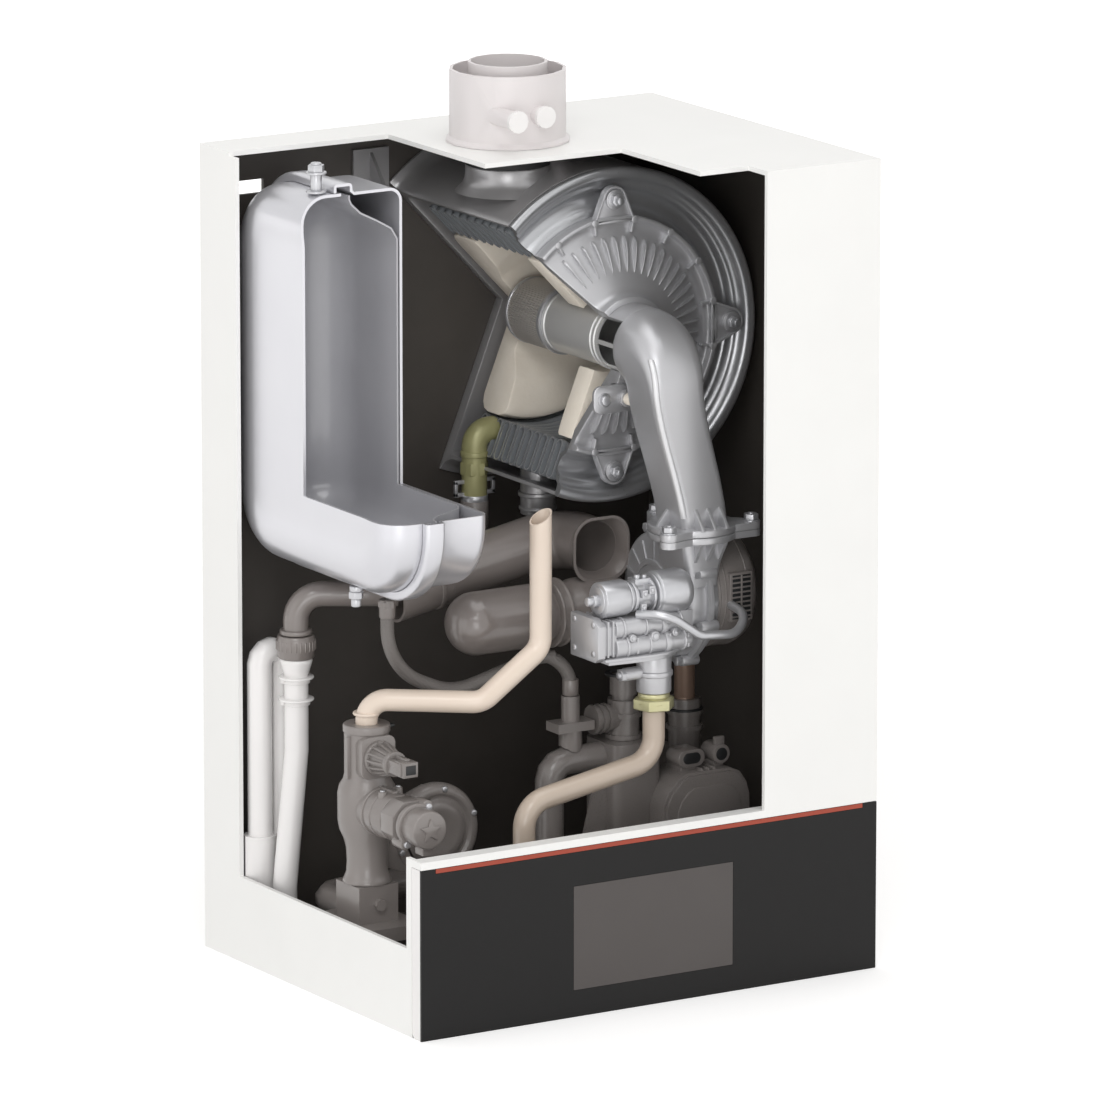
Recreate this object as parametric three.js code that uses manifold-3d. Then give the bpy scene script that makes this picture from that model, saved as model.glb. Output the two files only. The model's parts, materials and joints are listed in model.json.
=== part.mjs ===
// A wall-hung gas boiler, cut open at its left and front so that its inside shows.
// Millimetres, +Z up, the front faces -Y. The origin is the middle of the rear wall's back face.
// Pieces that seat on one another keep a small seat gap, flat casing sheets meet face to face.
import * as THREE from "three";
import { mergeVertices } from "three/addons/utils/BufferGeometryUtils.js";
import Module from "manifold-3d";

const wasm = await Module();
wasm.setup();

// Shared sizes
const seatGap = 0.3;
const runGap = 0.5;
const overrun = 6;
const weld = 0.0001;

// Casing
const frontRoom = 42;
const sheet = 4;
const sideRearStrip = 60;
const sideFrontStrip = 24;
const sideSill = 75;
const frontStripWidth = 113;
const coverSill = 7;
const coverLip = 14;
const topRearStrip = 50;
const topFirstStep = 73;
const topMiddleStrip = 208;
const topSecondStep = 61;
const topFrontStrip = 29;
const hangSlotWidth = 40;
const hangSlotHeight = 12;
const hangSlotDrop = 36;
const hangSlotInset = 40;

// Control panel, hinged at its foot
const panelHeight = 146;
const panelDepth = 15;
const glassThickness = 2;
const panelFootChamfer = 4;
const panelPocketDepth = 8;
const panelRim = 5;
const displayWidth = 158;
const displayHeight = 90;
const displayFoot = 23;
const displayShift = 2;
const displayThickness = 1;
const stripHeight = 4;
const stripInset = 14;
const stripThickness = 1;
const pivotSetback = 7;
const pivotHeight = 6;
const pivotPin = 1.6;
const pivotEye = 3.1;
const pivotArmWidth = 6;
const pivotInset = 40;
const pivotArmRoot = 10;
const pocketFromPivot = 12;

// Heat exchanger, drum axis along Y
const drumSideRoom = 16.5;
const drumTopRoom = 19.5;
const drumJacket = 11.5;
const drumWall = 3;
const drumFlare = 11;
const drumFlareNeck = 4;
const drumRear = 12;
const drumLip = 17;
const wedgeStartAngle = 134;
const wedgeEndAngle = 248;
const coilInner = 97;
const coilBand = 35;
const coilRear = 47;
const coilPitch = 12.2;
const coilTurns = 11;
const coilThickness = 7.6;
const coilNose = 2.3;
const coilFacets = 14;
const coilWall = 1;
const coilPocket = 9;
const coilSpacer = 5;
const bowlRear = 34;
const bowlGap = 2;
const bowlDepth = 42;
const bowlChamfer = 14;
const bowlLip = 7;
const bowlLand = 3.5;
const bowlLandRadius = 59;
const bowlHollowRadius = 38;
const frontPadSink = 9;
const frontPadGap = 3;
const plateClear = 1;
const plateRim = 7;
const plateThickness = 3;
const plateStep = 2;
const plateGroove = 6;
const plateFrontShares = [0.2, 0.26, 0.5, 0.58, 0.74, 0.84, 0.9];
const plateBackShares = [0.78, 0.55, 0.48];
const doorStand = 15;
const doorOverlap = 6;
const doorRim = 7;
const doorRimWidth = 6;
const doorRimDraft = 2;
const doorRibDrop = 1;
const doorThickness = 6;
const doorDome = 22;
const domeMargin = 4;
const doorCollar = 38;
const doorCollarRise = 10;
const doorRimRibs = 12;
const doorRibWidth = 4;
const finCount = 18;
const finInner = 50;
const finMargin = 11;
const finHeight = 3;
const finThickness = 2.4;
const lugStand = 20;
const lugRadius = 11.5;
const lugRootWidth = 44;
const lugThickness = 7.5;
const studRadius = 3.4;
const nutFlats = 11;
const washerRadius = 7.5;
const washerThickness = 1;
const nutHeight = 6;
const boltRise = 3;
const socketRadius = 36;
const socketBore = 33;
const socketTopDrop = 20;
const gussetOverlap = 17.5;
const gussetReach = 35;
const gussetHeight = 60;
const gussetTipHeight = 20;
const gussetSheet = 3;
const gussetDrop = 20;
const drainSocketRadius = 15;
const drainSocketOffset = 17;
const drainSocketDepth = 100;
const drainSocketDrop = 26;

// Burner and its inlet
const burnerRadius = 28.5;
const burnerRear = 66;
const burnerFront = 121;
const burnerWall = 1.5;
const burnerPinRadius = 4;
const burnerPinLength = 7;
const mixerRadius = 27;
const mixerWall = 2;
const mixerReach = 84;
const mixerWindow = 24;
const mixerWindowSetback = 31;
const mixerWindowAngles = [150, 205];
const elbowSleeve = 33;
const elbowSleeveReach = 77;
const elbowBend = 30;
const elbowNeckHalf = 26;
const elbowFootHalfX = 22.5;
const elbowFootHalfY = 24;
const elbowEdge = 5;
const elbowFootShift = 30;
const elbowFootClear = 6.5;
const elbowFootReach = 103;
const elbowFlangeRadius = 38;
const elbowFlangeThickness = 6;
const elbowLugReach = 50;
const elbowLugRadius = 8;
const elbowGusset = 16;
const elbowGussetThickness = 4;
const elbowGussetSink = 2;
const flangeLugAngles = [-25, 95, 215];
const elbowKneeEdge = 10;
const electrodeRadius = 48;
const electrodeAngle = 261;
const electrodePlateWidth = 46;
const electrodePlateHeight = 24;
const electrodePlateThickness = 5;
const electrodeStand = 14;
const electrodePin = 5;
const electrodePostHalf = 10;
const electrodeScrewRise = 3;
const electrodeScrewX = 15;
const electrodeInsulator = 6;
const electrodePinX = 9;
const electrodeShiftX = 7.5;
const electrodeLength = 16;

// Fan, wheel axis along X
const fanDrop = 59;
const hoseSilencerGap = 7;
const fanBehind = 32;
const fanThickness = 32;
const fanShift = 3;
const fanRadius = 48;
const fanSpiral = 10;
const fanWall = 4;
const fanEye = 24;
const fanNeckWall = 5;
const fanNeckFoot = 18;
const fanRimRise = 4;
const fanRimWidth = 7;
const fanBoltRadius = 5;
const fanBoltLength = 17;
const fanBoltAngles = [25, 70, 115, 160, 205];
const wheelRadius = 40;
const wheelWidth = 14;
const wheelDisc = 2;
const wheelHub = 9;
const wheelBlades = 12;
const wheelBladeThickness = 1.6;
const bladeSweepAngle = 26;
const shaftRadius = 3;
const shaftInsert = 14;
const motorRadius = 50;
const motorLength = 40;
const motorEdge = 12;
const motorEdgeDraft = 4;
const louvreWidth = 15;
const louvreHeight = 40;
const louvreDepth = 6;
const louvreCount = 5;
const louvreBar = 2;
const louvreSetback = 14;

// Gas train
const valveStand = 46;
const valveDepth = 42;
const valveLength = 78;
const valveHeight = 34;
const valveCapLength = 20;
const valveCapRise = 3;
const valvePad = 4;
const valveRib = 3;
const valveRibCount = 3;
const coilAboveFan = 16;
const valveCoilStand = 28;
const coilRadius = 16;
const coilLength = 53;
const coilCollarRadius = 19;
const coilCollarLength = 35;
const coilPinRadius = 4;
const coilPinLength = 11;
const gasFromDrum = 23;
const gasStand = 24;
const gasOutletRadius = 12;
const gasOutletLength = 36;
const gasNippleRadius = 5;
const gasNippleLength = 15;
const unionFlats = 31;
const unionHeight = 15;
const gasPipeRadius = 9.5;
const gasInsert = 10;
const gasBend = 24;
const gasUpperDrop = 59;
const gasLowerDrop = 82;
const gasFootSide = 151;
const impulseRadius = 3.5;
const impulseBend = 6;
const impulseStandOff = 10;

// Air ducts
const upperDuctRadius = 25;
const ductWall = 2.5;
const upperDuctSide = 15;
const upperDuctEndY = 200;
const upperDuctRise = 33;
const upperDuctBackY = 134;
const upperDuctSink = 10;
const upperDuctFall = 32;
const upperDuctBend = 34;
const upperDuctBoreDepth = 70;
const silencerRadius = 27;
const silencerY = 190;
const silencerDrop = 19;
const silencerLength = 171;
const silencerNose = 16;
const silencerNoseDraft = 4;
const silencerNoseRound = 5;
const silencerNeck = 23.5;
const silencerClampReach = 62;
const clampWidth = 14;
const clampRise = 3;
const clampGroove = 1;

// Expansion vessel
const vesselFromLeft = 11;
const vesselWidth = 104;
const vesselDrumGap = 31.5;
const vesselRear = 30;
const vesselDepth = 262;
const vesselRoom = 6;
const vesselFromTop = 24;
const vesselCorner = 58;
const vesselEdge = 24;
const vesselRightEdge = 12;
const vesselWall = 2.5;
const vesselRingWidth = 18;
const vesselRingRise = 8;
const vesselRingShift = 32;
const vesselCutBack = 150;
const vesselCutHeight = 68;
const vesselPadRear = 184;
const vesselPadWidth = 42;
const vesselPadFoot = 12;
const vesselPadThickness = 2.5;
const membraneThickness = 1.6;
const membraneRim = 5;
const plugX = 22;
const plugSetback = 154;
const plugRadius = 5.5;
const plugHeight = 18;
const plugFlats = 13;
const plugHead = 8;
const plugFlange = 9;
const plugFlangeHeight = 2;
const chargeX = 20;
const chargeSetback = 88;
const chargeFlats = 12;
const chargeLength = 11;
const chargeNeck = 4.5;
const chargeNeckLength = 7;
const hoseX = 62;
const hoseY = 184;
const hoseStubRadius = 7.5;
const hoseStubLength = 20;
const strapX = 56;
const strapWidth = 40;
const strapFoot = 60;
const strapHeight = 200;
const strapSheet = 3;

// Vessel hose
const hoseRadius = 6;
const hoseBend = 13;
const hoseSagDrop = 82;
const hoseKneeSide = 153;
const hoseKneeDrop = 110;
const hoseFarSide = 71;
const hoseFarY = 192;
const hoseFarRise = 35.5;
const hoseTopRise = 31.5;

// Condensate drain
const drainX = 35;
const drainY = 97;
const drainRadius = 11;
const drainDrop = 29;
const drainBend = 22;
const drainInsert = 8;
const drainNutDrop = 64;
const drainNutRadius = 17;
const drainNutHeight = 20;
const drainNutRib = 2;
const drainNutRibHeight = 4;
const siphonRadius = 11;
const siphonSkew = 12;
const siphonKneeTop = 190;
const siphonKneeFoot = 72;
const siphonBend = 40;
const siphonLoopX = 15.5;
const siphonLoopWidth = 23;
const siphonLoopY = 62;
const siphonClipTop = 16;
const siphonClipPitch = 19;
const siphonClipRise = 3.5;
const siphonClipWidth = 2.5;
const siphonLoopDrop = 84;
const siphonSocketTop = 110;
const siphonSocketRise = 3.5;

// Water block at the left
const blockX = 40;
const blockFromFront = 155;
const blockFootHalf = 15;
const blockPlateHeight = 50;
const blockPlateThickness = 12;
const blockPlateHalfX = 32;
const blockPlateHalfY = 40;
const blockPlateCorner = 20;
const blockBaseTop = 94;
const blockBaseHalf = 19;
const blockNeckRadius = 15;
const blockWaistRadius = 18;
const blockNeckTop = 137;
const blockHousingRadius = 25;
const blockHousingTop = 186;
const blockSocketRadius = 18;
const blockSocketRise = 45;
const blockSocketDepth = 14;
const blockBossRadius = 5;
const armRadius = 21;
const armDrop = 26;
const armLength = 54;
const actuatorRadius = 18;
const actuatorLength = 46;
const actuatorCapRadius = 13;
const actuatorCapLength = 5;
const actuatorEarReach = 24;
const actuatorEarRadius = 6;
const actuatorEarThickness = 8;
const actuatorEarAngles = [45, 225];
const actuatorScrewRise = 4;
const actuatorEdge = 2;
const starRadius = 8;
const starPoints = 3;
const sensorDrop = 26;
const sensorRadius = 13;
const sensorSeatRise = 2;
const sensorPlugWall = 2;
const sensorLength = 30;
const sensorPlugLength = 22;
const sensorPlugHalf = 8;
const sensorRibs = 3;
const sensorRibRise = 2;
const sensorRibWidth = 3;
const bypassX = 73;
const bypassZ = 125;
const bypassSetback = 15;
const bypassRadius = 42;
const bypassThickness = 16;
const bypassRimRadius = 29;
const bypassRimRise = 4;
const bypassRootWidth = 24;
const flowPipeRadius = 9.5;
const flowWall = 1.5;
const flowBend = 18;
const flowTurnRise = 20;
const flowSetback = 8;
const flowKneeSide = 173;
const flowRiseSide = 115;
const flowKneeDrop = 27;
const flowTopRise = 88;
const flowCutSlope = 14;

// Pump group at the right
const crossPipeX = 15;
const crossPipeY = 100;
const crossPipeZ = 60;
const crossPipeRadius = 13;
const crossPipeBend = 24;
const manifoldSide = 7;
const manifoldY = 200;
const manifoldHalfX = 24;
const manifoldHalfY = 26;
const manifoldEdge = 8;
const manifoldRise = 9;
const bracketReach = 34;
const bracketFoot = 60;
const bracketHeadDrop = 31;
const bracketHeadReach = 11;
const bracketThickness = 3;
const pumpZ = 125;
const pumpRear = 156;
const pumpBodyDepth = 48;
const pumpBodyRadius = 42;
const pumpBore = 9;
const impellerRadius = 30;
const impellerWidth = 12;
const impellerBlades = 6;
const impellerBladeThickness = 3;
const impellerBladeStart = 7;
const impellerBladeLength = 22;
const impellerDisc = 3;
const impellerHub = 10;
const impellerClear = 2;
const pumpBoxLeft = 56;
const pumpBoxWidth = 88;
const pumpBoxHeight = 94;
const pumpBoxDepth = 48;
const pumpBoxShoulder = 18;
const pumpBoxSlope = 12;
const pumpGroove = 1.5;
const pumpGrooveInset = 9;
const plugSocketHalf = 8;
const plugSocketWall = 2;
const plugSocketHeight = 16;
const plugSocketShift = 14;
const plugSocketSetback = 8;
const ventRadius = 14;
const ventCap = 12;
const ventCapHeight = 16;
const ventHeight = 38;
const ventRingRise = 2;
const ventRingWidth = 4;
const bellowsRadius = 13;
const bellowsLength = 18;
const bellowsRibs = 3;
const returnHeight = 175;
const returnRadius = 12.5;
const returnBend = 16;
const returnSide = 67;
const connectorSide = 46;
const connectorRadius = 10;
const connectorHeight = 14;
const connectorFlangeHalf = 18;
const connectorFlangeHeight = 8;
const connectorSleeve = 8;
const connectorSleeveHeight = 22;
const fittingSide = 85;
const fittingY = 174;
const fittingRadius = 14;
const fittingRise = 41;
const fittingRib = 2;
const fittingRibs = 2;
const riserRadius = 9;
const riserInsert = 12;
const elbowFittingSide = 56;
const elbowFittingY = 60;
const elbowFittingDrop = 101;
const elbowFittingRadius = 12;
const elbowFittingBend = 13;
const elbowFittingLength = 52;
const elbowFittingReach = 31;
const elbowStubRadius = 7;
const elbowStubDrop = 36;
const elbowClipHalf = 20;
const elbowClipThickness = 3;
const elbowClipHeight = 16;

// Flue on the casing's top
const flueFromDrum = 62;
const flueBehind = 125;
const collarRadius = 50;
const collarWall = 3;
const collarHeight = 62;
const collarSkirt = 3;
const collarSkirtHeight = 2;
const flueRadius = 34;
const flueWall = 2.5;
const flueRise = 6;
const flueWebWidth = 3;
const flueWebAngle = 45;
const flueWebTurnAngle = 90;
const portRadius = 8;
const portOffset = 32;
const portHeight = 29;
const portLongReach = 66;
const portShortReach = 58;
const capRadius = 9.5;
const capThickness = 4;
const capPlug = 5;
const capInsert = 8;

// Facets of round pieces
const finely = 22;
const roundly = 16;
const plainly = 12;
const coarsely = 10;
const slenderly = 8;
const sparsely = 6;
const cornerPoints = 4;
const edgeSteps = 2;
const bendSteps = 3;
const fullTurnAngle = 360;

// Places worked out from the sizes above, the depths as a stack from the rear wall
const coilStackFront = coilRear + (coilTurns - 1) * coilPitch;
const drumFront = coilStackFront + drumLip;
const frontPadRear = coilStackFront - frontPadSink;
const doorBack = coilStackFront + doorStand;
const mixerFront = coilStackFront + mixerReach;
const mixerWindowRear = coilStackFront + mixerWindowSetback;
const elbowSleeveFront = coilStackFront + elbowSleeveReach;
const elbowFootFront = coilStackFront + elbowFootReach;
const valveFront = elbowFootFront + valveStand;
const coilFront = elbowFootFront + valveCoilStand;
const gasY = elbowFootFront + gasStand;
const flowY = elbowFootFront - flowSetback;
const caseDepth = valveFront + frontRoom;
const coilOuter = coilInner + coilBand;
const drumRadius = coilOuter + drumJacket;
const bowlRadius = coilInner - bowlGap;
const frontPadRadius = coilInner - frontPadGap;
const plateInner = coilInner + plateClear;
const doorRadius = coilInner + doorOverlap;
const finOuter = coilInner - finMargin;
const lugReach = coilInner + lugStand;
const drumFromRight = drumRadius + drumSideRoom;
const drumFromTop = drumRadius + drumTopRoom;
const vesselFront = vesselRear + vesselDepth;
const chargeY = vesselFront - chargeSetback;
const plugY = vesselFront - plugSetback;
const elbowFootDrop = drumRadius + elbowFootClear;
const fittingTop = pumpZ + pumpBodyRadius + fittingRise;
const blockSocketTop = blockHousingTop + blockSocketRise;
const sensorZ = blockSocketTop - sensorDrop;
const armZ = blockHousingTop - armDrop;
const blockY = caseDepth - blockFromFront;
const connectorFlangeFoot = returnHeight + returnRadius + connectorHeight;
const connectorTop = connectorFlangeFoot + connectorFlangeHeight + connectorSleeveHeight;
const hoseTop = connectorTop + hoseTopRise + hoseRadius;
const fanFootHeight = hoseTop + hoseSilencerGap + silencerRadius + silencerDrop;
const fanFromDrum = elbowFootDrop + elbowFlangeThickness + fanDrop;
const caseWidth = vesselFromLeft + vesselWidth + vesselDrumGap + drumRadius + drumFromRight;
const caseHeight = drumFromTop + fanFromDrum + fanFootHeight;
const leftX = -caseWidth / 2;
const rightX = caseWidth / 2;
const frontY = -caseDepth;
const footZ = -caseHeight / 2;
const topZ = caseHeight / 2;
const panelTopZ = footZ + panelHeight;
const drumX = rightX - drumFromRight;
const drumZ = topZ - drumFromTop;
const flueX = drumX - flueFromDrum;
const doorRimFace = doorBack + doorThickness + doorRim;
const doorWell = doorBack + doorRim;
const nutFoot = doorRimFace + washerThickness;
const lugAngles = [0, 90, 270];
const gasX = drumX - gasFromDrum;
const fanZ = drumZ - fanFromDrum;
const fanX = drumX + elbowFootShift - fanShift;
const fanY = fanBehind - elbowFootFront;
const fanLeftX = fanX - fanThickness / 2;
const fanRightX = fanX + fanThickness / 2;
const vesselX = leftX + vesselFromLeft;
const vesselTopZ = topZ - vesselFromTop;
const upperDuctEndX = drumX - upperDuctSide;
const upperDuctEndZ = fanZ + upperDuctRise;
const upperDuctLeftX = vesselX + vesselWidth - upperDuctSink;
const upperDuctLeftZ = upperDuctEndZ - upperDuctFall;
const vesselFootZ = upperDuctLeftZ + upperDuctRadius + vesselRoom;
const vesselHeight = vesselTopZ - vesselFootZ;
const blockCentreX = leftX + blockX;
const panZ = footZ + sheet;
const drainNutX = leftX + drainX;
const siphonFootX = drainNutX - siphonSkew;
const siphonLoopLeftX = drainNutX - siphonLoopX;
const flowTurnZ = panZ + blockSocketTop + flowTurnRise;
const flowTop = fanZ + flowTopRise;
const flowKneeX = drumX - flowKneeSide;
const flowRiseX = drumX - flowRiseSide;
const manifoldX = drumX + manifoldSide;
const returnX = drumX - returnSide;
const connectorX = drumX - connectorSide;
const fittingX = drumX + fittingSide;
const gasFootX = drumX - gasFootSide;
const connectorTopZ = footZ + connectorTop;
const manifoldRightX = manifoldX + manifoldHalfX;
const pumpX = manifoldRightX + seatGap + pumpBodyRadius;
const pumpAxisZ = footZ + pumpZ;
const valveRightX = fanLeftX - valvePad - seatGap;
const valveTopZ = fanZ;
const manifoldTop = returnHeight + manifoldRise;
const unionTopZ = valveTopZ - valveHeight - gasOutletLength - seatGap;

// Materials
function surface(color, roughness, metalness) {
  return new THREE.MeshStandardMaterial({ color, roughness, metalness });
}
const whitePaint = surface(0xf4f4f2, 0.35, 0);
const whitePlastic = surface(0xf1efee, 0.45, 0);
const blackPlastic = surface(0x202122, 0.5, 0);
const blackGlass = surface(0x1e1e1f, 0.06, 0);
const displayGlass = surface(0x5f5a58, 0.2, 0);
const redStrip = surface(0xa8432b, 0.4, 0);
const vesselPaint = surface(0xd9d9e0, 0.3, 0.3);
const greyRubber = surface(0x6f6f72, 0.7, 0);
const blackRubber = surface(0x161616, 0.8, 0);
const stainless = surface(0xa3a5a8, 0.3, 1);
const darkSteel = surface(0x5f6468, 0.35, 1);
const castAlloy = surface(0xa9a9ab, 0.45, 0.8);
const insulation = surface(0xcfc4b2, 0.95, 0);
const zincSteel = surface(0xc4c4c4, 0.3, 1);
const brass = surface(0xcfcb98, 0.35, 0.6);
const oliveBrass = surface(0x8c8a52, 0.4, 0.6);
const beigePipe = surface(0xefe4d8, 0.4, 0.1);
const gasPipePaint = surface(0xcbbfb2, 0.4, 0.1);
const ductPlastic = surface(0x7c7572, 0.4, 0);
const blockPlastic = surface(0x7e7876, 0.5, 0);
const darkPlastic = surface(0x55504e, 0.5, 0);
const hoseRubber = surface(0x8a8583, 0.6, 0);
const copperPipe = surface(0x8a6f60, 0.4, 0.7);

// Solids: every helper returns a closed BufferGeometry with only positions
function toSolid(geometry) {
  const bare = new THREE.BufferGeometry();
  bare.setAttribute("position", geometry.getAttribute("position").clone());
  if (geometry.index) bare.setIndex(geometry.index.clone());
  const merged = mergeVertices(bare, weld);
  const corners = [];
  const index = merged.index.array;
  for (let i = 0; i < index.length; i += 3) {
    const [a, b, c] = [index[i], index[i + 1], index[i + 2]];
    if (a !== b && b !== c && c !== a) corners.push(a, b, c);
  }
  const make = (list) =>
    new wasm.Manifold(
      new wasm.Mesh({
        numProp: 3,
        vertProperties: merged.attributes.position.array,
        triVerts: new Uint32Array(list),
      }),
    );
  const made = make(corners);
  return made.volume() < 0 ? make(corners.reverse()) : made;
}

function fromSolid(solid) {
  const mesh = solid.getMesh();
  const geometry = new THREE.BufferGeometry();
  geometry.setAttribute("position", new THREE.BufferAttribute(mesh.vertProperties, mesh.numProp));
  geometry.setIndex(new THREE.BufferAttribute(mesh.triVerts, 1));
  return geometry;
}

function join(...geometries) {
  return fromSolid(geometries.map(toSolid).reduce((whole, next) => whole.add(next)));
}

function cut(body, ...tools) {
  return fromSolid(tools.map(toSolid).reduce((whole, tool) => whole.subtract(tool), toSolid(body)));
}

function common(body, tool) {
  return fromSolid(toSolid(body).intersect(toSolid(tool)));
}

function box(x0, x1, y0, y1, z0, z1) {
  return new THREE.BoxGeometry(x1 - x0, y1 - y0, z1 - z0).translate(
    (x0 + x1) / 2,
    (y0 + y1) / 2,
    (z0 + z1) / 2,
  );
}

// A round bar along Z
function rod(radius, from, to, facets = coarsely) {
  return new THREE.CylinderGeometry(radius, radius, to - from, facets)
    .rotateX(Math.PI / 2)
    .translate(0, 0, (from + to) / 2);
}

function tube(outer, inner, from, to, facets = coarsely) {
  return turned(
    [
      [inner, from],
      [outer, from],
      [outer, to],
      [inner, to],
      [inner, from],
    ],
    facets,
  );
}

// A profile of [radius, height] points turned round Z
function turned(profile, facets = roundly) {
  const points = profile.map(([radius, height]) => new THREE.Vector2(radius, height));
  return new THREE.LatheGeometry(points, facets).rotateX(Math.PI / 2);
}

function hexagon(flats, from, to) {
  return rod(flats / Math.sqrt(3), from, to, 6);
}

function outline(points) {
  return new THREE.Shape(points.map(([x, y]) => new THREE.Vector2(x, y)));
}

function prism(points, from, to) {
  const options = { depth: to - from, bevelEnabled: false };
  return new THREE.ExtrudeGeometry(outline(points), options).translate(0, 0, from);
}

// An ear: a round nose of the given radius at reach, widening to its root at the centre line
function ear(reach, radius, rootWidth, from, to) {
  const nose = rod(radius, from, to, slenderly).translate(reach, 0, 0);
  const web = prism(
    [
      [0, -rootWidth / 2],
      [reach, -radius],
      [reach, radius],
      [0, rootWidth / 2],
    ],
    from,
    to,
  );
  return join(nose, web);
}

// Turns Z towards -Y, so that a piece built flat faces the front
function facingFront(geometry) {
  return geometry.rotateX(Math.PI / 2);
}

function alongX(geometry) {
  return geometry.rotateY(Math.PI / 2);
}

// The ring of points of a rounded rectangle in the plane of two axes
function roundedRing(centre, axisU, axisV, halfU, halfV, radius) {
  const ring = [];
  const reach = Math.min(radius, halfU, halfV);
  for (let corner = 0; corner < 4; corner += 1) {
    const signU = corner === 0 || corner === 3 ? 1 : -1;
    const signV = corner < 2 ? 1 : -1;
    for (let step = 0; step < cornerPoints; step += 1) {
      const angle = ((corner + step / (cornerPoints - 1)) * Math.PI) / 2;
      const u = signU * (halfU - reach) + reach * Math.cos(angle);
      const v = signV * (halfV - reach) + reach * Math.sin(angle);
      ring.push(centre.clone().addScaledVector(axisU, u).addScaledVector(axisV, v));
    }
  }
  return ring;
}

// A closed solid through rings of equal length
function loft(rings) {
  const count = rings[0].length;
  const points = rings.flat();
  const index = [];
  for (let ring = 0; ring < rings.length - 1; ring += 1) {
    for (let i = 0; i < count; i += 1) {
      const a = ring * count + i;
      const b = ring * count + ((i + 1) % count);
      index.push(a, b, b + count, a, b + count, a + count);
    }
  }
  const last = points.length - count;
  for (let i = 1; i < count - 1; i += 1) {
    index.push(0, i + 1, i, last, last + i, last + i + 1);
  }
  const geometry = new THREE.BufferGeometry().setFromPoints(points);
  geometry.setIndex(index);
  return geometry;
}

// A route of straight runs with rounded corners, sampled only where it bends
class BentRoute extends THREE.Curve {
  constructor(corners, bend) {
    super();
    const places = corners.map((corner) => new THREE.Vector3(...corner));
    const lastPlace = places.length - 1;
    this.samples = [places[0]];
    for (let i = 1; i < lastPlace; i += 1) {
      this.samples.push(...BentRoute.arc(places[i - 1], places[i], places[i + 1], bend));
    }
    this.samples.push(places[lastPlace]);
    this.last = this.samples.length - 1;
  }

  // The points of the arc that rounds one corner
  static arc(before, corner, after, bend) {
    const inward = before.clone().sub(corner).normalize();
    const outward = after.clone().sub(corner).normalize();
    const half = inward.angleTo(outward) / 2;
    const setback = bend / Math.tan(half);
    const middle = inward.clone().add(outward).normalize();
    const centre = corner.clone().addScaledVector(middle, bend / Math.sin(half));
    const start = corner.clone().addScaledVector(inward, setback).sub(centre);
    const axis = start.clone().cross(corner.clone().sub(centre)).normalize();
    const points = [];
    for (let step = 0; step <= bendSteps; step += 1) {
      const angle = ((Math.PI - 2 * half) * step) / bendSteps;
      points.push(start.clone().applyAxisAngle(axis, angle).add(centre));
    }
    return points;
  }

  getPointAt(share, target = new THREE.Vector3()) {
    return target.copy(this.samples[Math.round(share * this.last)]);
  }

  getTangentAt(share, target = new THREE.Vector3()) {
    const i = Math.round(share * this.last);
    const from = this.samples[Math.max(i - 1, 0)];
    const here = this.samples[i];
    const to = this.samples[Math.min(i + 1, this.last)];
    const into = here.clone().sub(from).normalize();
    const out = to.clone().sub(here).normalize();
    return target.copy(into).add(out).normalize();
  }
}

// A pipe along a bent route, with a bore when its wall is given
function pipe(corners, bend, radius, wall = 0, facets = coarsely) {
  const route = new BentRoute(corners, bend);
  const section = new THREE.Shape().absarc(0, 0, radius, 0, 2 * Math.PI);
  if (wall) section.holes.push(new THREE.Path().absarc(0, 0, radius - wall, 0, 2 * Math.PI, true));
  return new THREE.ExtrudeGeometry(section, {
    steps: route.last,
    curveSegments: facets / 2,
    bevelEnabled: false,
    extrudePath: route,
  });
}

function mesh(name, geometry, material, parent) {
  const shown = geometry.index ? geometry.toNonIndexed() : geometry;
  shown.computeVertexNormals();
  const piece = new THREE.Mesh(shown, material);
  piece.name = name;
  parent.add(piece);
  return piece;
}

const boiler = new THREE.Group();

// Casing sheets
function rearWall() {
  const plate = box(leftX + sheet, rightX - sheet, -sheet, 0, footZ + sheet, topZ - sheet);
  const slots = [-1, 1].map((side) =>
    box(
      side * (rightX - hangSlotInset) - hangSlotWidth / 2,
      side * (rightX - hangSlotInset) + hangSlotWidth / 2,
      -sheet - overrun,
      overrun,
      topZ - hangSlotDrop - hangSlotHeight,
      topZ - hangSlotDrop,
    ),
  );
  return join(cut(plate, ...slots), vesselBracket());
}

// The channel on the rear wall that carries the expansion vessel
function vesselBracket() {
  const front = -vesselRear + seatGap;
  const left = vesselX + strapX;
  const foot = vesselFootZ + strapFoot;
  const block = box(left, left + strapWidth, front, -sheet + weld, foot, foot + strapHeight);
  const hollow = box(
    left + strapSheet,
    left + strapWidth - strapSheet,
    front + strapSheet,
    0,
    foot - overrun,
    foot + strapHeight + overrun,
  );
  return cut(block, cut(hollow, box(leftX, rightX, -sheet + weld, sheet, footZ, topZ)));
}

function sidePanel(x) {
  const panelBack = frontY + panelDepth + runGap;
  const plate = box(x, x + sheet, panelBack, 0, footZ, topZ - sheet);
  const coverNotch = box(
    x - overrun,
    x + sheet + overrun,
    panelBack - overrun,
    frontY + coverLip,
    panelTopZ,
    topZ,
  );
  return join(
    cut(plate, coverNotch),
    box(x, x + sheet, frontY + sheet, panelBack + overrun, panelTopZ + runGap, topZ - sheet),
  );
}

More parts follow.
